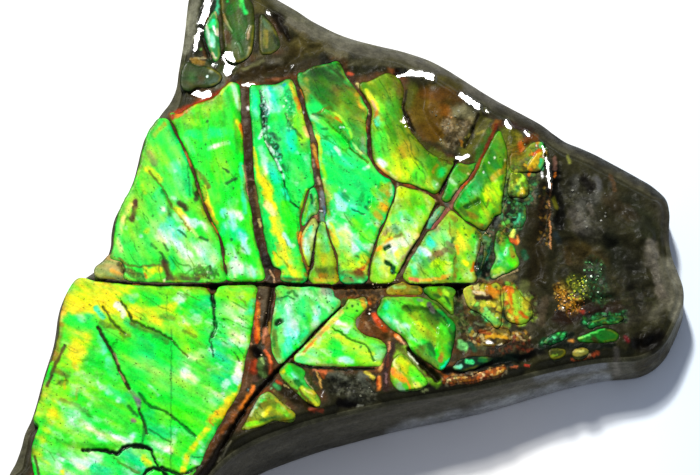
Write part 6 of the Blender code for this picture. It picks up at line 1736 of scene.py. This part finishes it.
def painted_material(name, mottling, roughness, bumps):
    """A material in its mesh's paint, mottled and roughened by noises, with a clear coat where it is wet."""
    material = bpy.data.materials.new(name)
    material.use_nodes = True
    tree = material.node_tree
    shader = tree.nodes["Principled BSDF"]
    colour = attribute(tree, "paint", "Color")
    for settings in mottling:
        colour = scaled(tree, colour, ranged_noise(tree, *settings))
    tree.links.new(colour, shader.inputs["Base Color"])
    tree.links.new(ranged_noise(tree, *roughness), shader.inputs["Roughness"])
    normal = None
    for scale, detail, depth in bumps:
        node = tree.nodes.new("ShaderNodeBump")
        node.inputs["Distance"].default_value = depth
        tree.links.new(add_noise(tree, scale, detail), node.inputs["Height"])
        if normal is not None:
            tree.links.new(normal, node.inputs["Normal"])
        normal = node.outputs["Normal"]
    tree.links.new(normal, shader.inputs["Normal"])
    tree.links.new(attribute(tree, "wet", "Fac"), shader.inputs["Coat Weight"])
    shader.inputs["Specular IOR Level"].default_value = SPECULAR_LEVEL
    shader.inputs["Coat Roughness"].default_value = COAT_ROUGHNESS
    return material


# Plates

def plate_loop(name, side, side_normals):
    """A plate's visible outline: out to the thin veins and to the slab's left side, with small chips; and
    which of its places lie along that side."""
    loop = even_loop(face_outline(name, 1), PLATE_SPACING)
    normals = outward(loop)
    closest_side, gap = closest(loop, side)
    uv = on_trace(loop, shell_height(loop))
    outer = (gap < OVERHANG_REACH) & (side_normals[closest_side, 0] < FACES_LEFT) & (uv[:, 1] < OVERHANG_END)
    growth = np.where(outer, np.maximum(gap - OVERHANG_STOP, 0.0) / TRACE_STEP, 0.0)
    least = np.full(len(loop), GROWTH_REACH)
    for width, *line in THIN_VEINS:
        away = near_line(uv, line)
        ahead = near_line(uv + normals * (1.0, -1.0), line)
        room = np.where((away < GROWTH_REACH) & (ahead < away - GROWTH_AHEAD), away - width, GROWTH_REACH)
        least = np.minimum(least, np.maximum(room, 0.0))
    growth = np.where(least < GROWTH_REACH, np.minimum(least, GROWTH_LIMIT), growth)
    growth = smoothed(growth, GROWTH_SMOOTHING)
    loop = smoothed(loop + normals * (growth * TRACE_STEP)[:, None], OUTLINE_SMOOTHING)
    chips = named_grain("plate chips", loop[:, 0], loop[:, 1])
    small = np.ptp(loop[:, 0]) < SMALL_PLATE and loop[:, 0].min() > SMALL_PLATES_FROM_X
    return loop + normals * (chips * (SMALL_PLATE_CHIP_DEPTH if small else CHIP_DEPTH))[:, None], outer


def plate_lift(mesh):
    """How far a packed plate's upper face lies above the shell surface."""
    tops = np.array([v.co for v in mesh.vertices])
    above = tops[:, 2] - shell_height(tops[:, :2])
    return float(np.median(above[above > -PLATE_FOOT_LIMIT]))


def plate_paint(name, uv, along, across, depth):
    """A plate's display colours: its strokes, then the play of colour, a painted milky sheen, crumbs, hairs,
    and at the edges warm fringes, painted shade and a dark rim.
    """
    ground, _, strokes = PLATE_LOOKS[name]
    paint = np.tile(np.array(ground, float), (len(uv), 1))
    put_strokes(paint, uv, strokes, named_grain("plate streaks", along, across))
    lively = smooth_step(paint[:, 1] * LIVELY_GAIN)
    # Painted sheen: pale milky clouds laid over the brightest nacre
    drift = wander(uv)[0] * BLOOM_LOOSE + np.column_stack((along * BLOOM_ALONG, across * BLOOM_ACROSS))
    milky_sheen = named_grain("plate bloom", drift[:, 0], drift[:, 1])
    milky_sheen = np.clip(milky_sheen * BLOOM_GAIN - BLOOM_LOSS, 0.0, BLOOM_MOST) * lively ** 3
    milky_sheen *= fields_of("plate bloom fields", uv)
    milky_sheen *= BLOOM_WITHOUT_BLUE + (1.0 - BLOOM_WITHOUT_BLUE) * smooth_step(paint[:, 2] * BLOOM_BLUE_GAIN)
    paint[:, 0] += RED_PLAY * named_grain("plate red", along, across) * lively
    paint[:, 2] += BLUE_PLAY * named_grain("plate blue", along, across) * lively
    paint += (np.array(MILK_AND_SHEEN) - paint) * milky_sheen[:, None]
    paint *= PLATE_GAIN
    put_mosaic(paint, uv, MOSAICS)
    put_strokes(paint, uv, GLINTS)
    paint *= (1.0 + SHADING_PLAY * named_grain("plate shading", along, across))[:, None]
    hair = smooth_step(1.0 - np.abs(named_grain("plate hairs", along, across)) / HAIR_WIDTH)
    hair *= fields_of("plate hair fields", uv)
    paint *= 1.0 - hair[:, None] * np.array(HAIR_DARKENS)
    fringe = fields_of("plate fringe", uv) * bell(depth, FRINGE_PLACE, FRINGE_REACH)
    paint += (np.array(FRINGE_COLOUR) - paint) * (FRINGE_STRENGTH * fringe)[:, None]
    # Painted shade: the plate is darkened near its edges, where it dips to the veins
    shade = fields_of("plate edge shade", uv) * bell(depth, 0.0, EDGE_SHADE_REACH)
    paint *= 1.0 - shade[:, None] * np.array(EDGE_SHADE_DARKENS)
    rim = fields_of("plate rim", uv) * bell(depth, 0.0, RIM_REACH)
    return paint * (1.0 - RIM_DARKENS * rim)[:, None]


def make_plate(name, material):
    """One plate of nacre: a fine upper face with its own relief, a short skirt and a plain underside."""
    loop, outer = plate_loops[name]
    plan, faces = triangles_in(loop, points_within(loop, PLATE_SPACING, PLATE_EDGE_GAP))
    base = shell_height(plan)
    uv = on_trace(plan, base)
    depth = distances(plan, loop) / TRACE_STEP
    along, across = turned(uv[:, 0], uv[:, 1], PLATE_LOOKS[name][1])
    height = np.full(len(plan), plate_lift(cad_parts[name].data))
    height += PLATE_RIPPLE * named_grain("plate ripple", along, across)
    height += PLATE_FINE_RIPPLE * named_grain("plate fine ripple", along, across)
    height -= PLATE_EDGE_FALL * bell(depth, 0.0, PLATE_EDGE_REACH)
    put_creases(height, uv, NACRE_CREASES)
    height += base
    wet = PLATE_WET * smooth_step((depth - WET_FROM_EDGE) / WET_BAND)
    put_facets(height, wet, uv, plan, PLATE_FACETS)
    paint = plate_paint(name, uv, along, across, depth)
    count, top = len(loop), len(plan)
    foot = base[:count] - BED_DEPTH - SKIRT_BELOW_BED - np.where(outer, OVERHANG_SKIRT, 0.0)
    corners = np.vstack((np.column_stack((plan, height)), np.column_stack((loop, foot))))
    faces += [(i, top + i, top + (i + 1) % count, (i + 1) % count) for i in range(count)]
    faces.append(tuple(reversed(range(top, top + count))))
    # The skirt takes the colours of the face's edge, halved as painted shade
    paint = np.vstack((paint, paint[:count] * SKIRT_PAINTED_SHADE))
    wet = np.concatenate((wet, np.zeros(count)))
    return add_piece(name + "_fine", corners, faces, paint, wet, material, [name])


# Rock

def slab_side():
    """The slab's outline in plan at its foot and, with its normals, between foot bevel and rim."""
    foot = even_loop(face_outline("matrix", -1), FOOT_SPACING)
    normals = outward(foot)
    return foot, foot + normals * FOOT_BEVEL, normals


def rock_top(brow, outlines):
    """Places and triangles of the rock's upper face: fine in the open and coarse under the plates."""
    fine = points_within(brow, ROCK_SPACING, ROCK_EDGE_GAP)
    fine = fine[clearance(fine, outlines) > -FINE_UNDER_PLATES]
    coarse = grid_points(brow.min(0), brow.max(0), HIDDEN_SPACING)
    coarse = coarse[inside_any(coarse, outlines)]
    coarse = coarse[distances(coarse, np.vstack(outlines)) > COARSE_UNDER_PLATES]
    return triangles_in(brow, np.vstack((fine, coarse)))


def rock_relief(plan, uv, clear, inset):
    """Height of the rock's upper face above its bed: rugged in the open, raised veins between the plates."""
    x, y = plan[:, 0], plan[:, 1]
    bare = smooth_step((clear - ROCK_CLEARANCE) / ROCK_SLOPE) * smooth_step(inset / ROCK_SLOPE)
    rough = smooth_step((x - ROUGH_FROM_X) / ROCK_SLOPE)
    relief = CHIPPED_HEIGHT + (ROUGH_HEIGHT - CHIPPED_HEIGHT) * rough
    kind = (ROUGH_FALL_OFF, ROUGH_STEP, ROUGH_OCTAVES)
    lumps = np.array([noise.fractal(Vector((a, b, 0.0)) / ROUGH_SIZE, *kind) for a, b in plan])
    rock = bare * (ROCK_RISE * (1.0 - ROCK_LOSS_WHERE_ROUGH * rough) + relief * lumps)
    from_brow = smooth_step(inset / BROW_BLEND)
    vein = VEIN_HEIGHT * smooth_step((clear + VEIN_WALL[0]) / VEIN_WALL[1]) * from_brow
    vein *= 1.0 - VEIN_SINK_SHARE * smooth_step((clear - VEIN_SINKS[0]) / VEIN_SINKS[1])
    tuck = smooth_step((clear + TUCK[0]) / TUCK[1]) * from_brow
    rugged = np.zeros(len(plan))
    put_rough(rugged, uv, plan, ROCK_PATCHES)
    put_creases(rugged, uv, ROCK_CREASES)
    height = np.maximum(rock, vein) - BED_DEPTH
    height += (VEIN_GRAIN + ROUGH_GRAIN * rough) * named_grain("rock grain", x, y) * tuck
    return height + rugged * tuck


def brow_ring(side, normals, width, drop, share):
    """A ring of the rounded rim, from the wall's top (share 0) to the brow (share 1)."""
    plan = side - normals * (width * share)[:, None]
    base = shell_height(side) * (1.0 - share) + shell_height(side - normals * width[:, None]) * share
    fall = drop * (1.0 - math.sin(share * math.pi / 2.0))
    return np.column_stack((plan, base - BED_DEPTH - fall))


def side_rings(foot, side, normals, width):
    """Rings of corners from the rim down the wall and round the bevel to the underside."""
    drop = width * RIM_DROP_RATIO
    rings = [brow_ring(side, normals, width, drop, 1.0 - (k + 1) / RIM_ROWS) for k in range(RIM_ROWS)]
    wall_top = rings[-1][:, 2]
    for row in range(1, WALL_ROWS + 1):
        low = FOOT_BEVEL + (wall_top - FOOT_BEVEL) * (1.0 - row / WALL_ROWS)
        rings.append(np.column_stack((side, low)))
    rings.append(np.column_stack((foot, np.zeros(len(foot)))))
    return rings


def rock_paint(corners, uv, clear, inset):
    """Display colours of the rock's upper face and rim; the upper face's places come first."""
    x, y = corners[:, 0], corners[:, 1]
    top = len(clear)
    paint = np.tile(np.array(ROCK, float), (len(corners), 1))
    narrow = 1.0 - smooth_step((clear - BROWN_FROM_PLATE) / BROWN_BAND)
    narrow *= 1.0 - smooth_step((x[:top] - BROWN_TO_X) / BROWN_X_BAND)
    narrow *= smooth_step((inset - BROWN_FROM_BROW) / BROWN_BROW_BAND)
    rust = fields_of("vein rust", corners[:top]) * RUST_SHARE
    brown = np.array(VEIN_BROWN) + (np.array(VEIN_RUST) - VEIN_BROWN) * rust[:, None]
    paint[:top] += (brown - paint[:top]) * narrow[:, None]
    paint[top:] = RIM_GREY
    put_strokes(paint, uv, ROCK_STROKES)
    put_mosaic(paint, uv, MOSAICS)
    put_strokes(paint, uv, GLINTS)
    return paint * (1.0 + ROCK_PLAY * named_grain("rock shading", x, y))[:, None]


def wall_paint(wall, count):
    """Display colours of the ground wall, whose rings have this number of corners, with painted light on it.
    """
    walked = np.cumsum(np.full(len(wall), FOOT_SPACING)) % (count * FOOT_SPACING)
    shades = 1.0 + WALL_CLOUDS * named_grain("wall clouds", walked, wall[:, 2] * WALL_CLOUD_SQUEEZE)
    shades += WALL_BANDS * named_grain("wall bands", walked, wall[:, 2] * WALL_BAND_SQUEEZE)
    # Painted light: the wall is darker on its left and lighter towards its right
    light = smooth_step((wall[:, 0] - WALL_LIGHT_FROM_X) / WALL_LIGHT_BAND)
    paint = np.tile(np.array(WALL_GREY), (len(wall), 1))
    # Painted light on the wall: the lighter bands along its foot
    put_strokes(paint, on_trace(wall[:, :2], wall[:, 2]), WALL_STROKES)
    return paint * (shades * (WALL_DARK_SIDE + WALL_LIGHT_GAIN * light))[:, None]


def make_matrix(foot, side, normals, material):
    """The shale: a fine upper face with veins between the plates, a rim, ground walls and a flat foot."""
    width = SIDE_RIM + (BACK_RIM - SIDE_RIM) * smooth_step(normals[:, 1])
    brow = side - normals * width[:, None]
    outlines = [loop for loop, _ in plate_loops.values()]
    plan, faces = rock_top(brow, outlines)
    clear, inset = clearance(plan, outlines), distances(plan, brow)
    base = shell_height(plan)
    height = rock_relief(plan, on_trace(plan, base), clear, inset) + base
    rings = side_rings(foot, side, normals, width)
    corners = np.vstack([np.column_stack((plan, height))] + rings)
    count = len(brow)
    previous = list(range(count))
    for k in range(len(rings)):
        current = list(range(len(plan) + k * count, len(plan) + (k + 1) * count))
        faces += [(previous[i], current[i], current[(i + 1) % count], previous[(i + 1) % count])
                  for i in range(count)]
        previous = current
    faces.append(tuple(reversed(previous)))
    upper = len(plan) + RIM_ROWS * count
    seen = on_trace(corners[:upper, :2], corners[:upper, 2])
    wet = np.full(len(corners), ROCK_WET)
    put_facets(corners[:upper, 2], wet, seen, corners[:upper, :2], ROCK_FACETS)
    paint = np.vstack((rock_paint(corners[:upper], seen, clear, inset), wall_paint(corners[upper:], count)))
    return add_piece("matrix_fine", corners, faces, paint, wet, material, ["matrix"])


def make_spangles(rock, material):
    """Loose chips of nacre that lie on the rock's face, each a thin tilted prism."""
    draw = random.Random(SPANGLE_SEED)
    tops = [v.co for v in rock.data.vertices if v.co.z > SPANGLE_ROCK_ABOVE]
    tree = kdtree.KDTree(len(tops))
    for i, corner in enumerate(tops):
        tree.insert((*on_trace(np.array([corner.xy]), corner.z)[0], 0.0), i)
    tree.balance()
    corners, faces, paint = [], [], []
    for colour, number, low, high in SPANGLES:
        for _ in range(number):
            spot = (draw.uniform(low[0], high[0]), draw.uniform(low[1], high[1]), 0.0)
            middle = tops[tree.find(spot)[1]]
            size, turn = draw.uniform(*SPANGLE_REACH), draw.uniform(0.0, TURN)
            sides = draw.choice(SPANGLE_SIDES)
            slope = [draw.uniform(-SPANGLE_TILT, SPANGLE_TILT) for _ in range(2)]
            start = len(corners)
            for level in (SPANGLE_HALF_THICKNESS, -SPANGLE_HALF_THICKNESS):
                for k in range(sides):
                    reach = size * draw.uniform(*SPANGLE_ROUNDNESS)
                    a = reach * math.cos(turn + TURN * k / sides)
                    b = reach * math.sin(turn + TURN * k / sides)
                    height = middle.z + SPANGLE_LIFT + level + a * slope[0] + b * slope[1]
                    corners.append((middle.x + a, middle.y + b, height))
            shade = draw.uniform(*SPANGLE_SHADES)
            paint += [[c * shade for c in colour]] * (2 * sides)
            faces.append(tuple(range(start, start + sides)))
            faces.append(tuple(reversed(range(start + sides, start + 2 * sides))))
            for k in range(sides):
                after = (k + 1) % sides
                faces.append((start + k, start + sides + k, start + sides + after, start + after))
    wet = np.full(len(corners), SPANGLE_WET)
    piece = add_piece("spangles", np.array(corners), faces, np.array(paint), wet, material, [])
    piece.data.shade_flat()
    return piece


# Floor, light and camera

def make_floor():
    """A white floor that turns faintly blue towards the right."""
    bpy.ops.mesh.primitive_plane_add(size=FLOOR_SIZE, location=(0.0, 0.0, 0.0))
    floor = bpy.context.object
    floor.name = "floor"
    material = bpy.data.materials.new("floor")
    material.use_nodes = True
    tree = material.node_tree
    shader = tree.nodes["Principled BSDF"]
    shader.inputs["Roughness"].default_value = FLOOR_ROUGHNESS
    kinds = ("TexCoord", "SeparateXYZ", "MixRGB")
    place, split, mix = (tree.nodes.new("ShaderNode" + kind) for kind in kinds)
    mix.inputs["Color1"].default_value = FLOOR_WHITE
    mix.inputs["Color2"].default_value = FLOOR_BLUE
    tree.links.new(place.outputs["Object"], split.inputs["Vector"])
    tree.links.new(remap(tree, split.outputs["X"], *FLOOR_BAND, 0.0, 1.0), mix.inputs["Fac"])
    tree.links.new(mix.outputs["Color"], shader.inputs["Base Color"])
    floor.data.materials.append(material)


def aim_from(item, side, middle, distance):
    """Places a light or the camera on one side of a middle point, looking at it."""
    towards = Vector(direction(*side))
    item.location = middle + towards * distance
    item.rotation_euler = towards.to_track_quat('Z', 'Y').to_euler()
    bpy.context.scene.collection.objects.link(item)


def add_light(name, side, watts):
    """A square soft light that looks at the middle of the slab."""
    data = bpy.data.lights.new(name, 'AREA')
    data.color = KEY_COLOUR
    data.size = LIGHT_SIZE
    data.energy = watts
    aim_from(bpy.data.objects.new(name, data), side, Vector((0.0, 0.0, 0.0)), LIGHT_DISTANCE)


def make_lights():
    """A pale blue surround and two key lights from behind, which draw the shadow's soft double edge."""
    world = bpy.data.worlds.new("studio")
    world.use_nodes = True
    background = world.node_tree.nodes["Background"]
    background.inputs["Color"].default_value = WORLD_COLOUR
    background.inputs["Strength"].default_value = WORLD_STRENGTH
    bpy.context.scene.world = world
    add_light("key", KEY_LIGHT, KEY_WATTS)
    add_light("upper key", UPPER_LIGHT, UPPER_WATTS)


def make_camera():
    """A long lens that looks down on the slab from the front, framed as the photograph is."""
    data = bpy.data.cameras.new("camera")
    data.lens = CAMERA_LENS
    data.sensor_width = CAMERA_SENSOR
    camera = bpy.data.objects.new("camera", data)
    x = (TRACE_SIZE[0] / 2.0 - TRACE_MIDDLE[0]) * TRACE_STEP
    y = (TRACE_MIDDLE[1] - TRACE_SIZE[1] / 2.0) * TRACE_STEP / math.sin(TRACE_ELEVATION)
    distance = TRACE_SIZE[0] * TRACE_STEP * CAMERA_LENS / CAMERA_SENSOR
    aim_from(camera, CAMERA_SIDE, Vector((x, y, SHELL_HEIGHT)), distance)
    bpy.context.scene.camera = camera


nacre = painted_material("nacre", NACRE_MOTTLING, NACRE_ROUGHNESS, NACRE_BUMPS)
shale = painted_material("shale", SHALE_MOTTLING, SHALE_ROUGHNESS, SHALE_BUMPS)
slab_foot, slab_wall, slab_normals = slab_side()
plates = [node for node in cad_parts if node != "matrix"]
plate_loops = {node: plate_loop(node, slab_wall, slab_normals) for node in plates}
rock = make_matrix(slab_foot, slab_wall, slab_normals, shale)
for node in sorted(plates):
    make_plate(node, nacre)
make_spangles(rock, nacre)
make_floor()
make_lights()
make_camera()
bpy.context.scene.view_settings.view_transform = 'Standard'
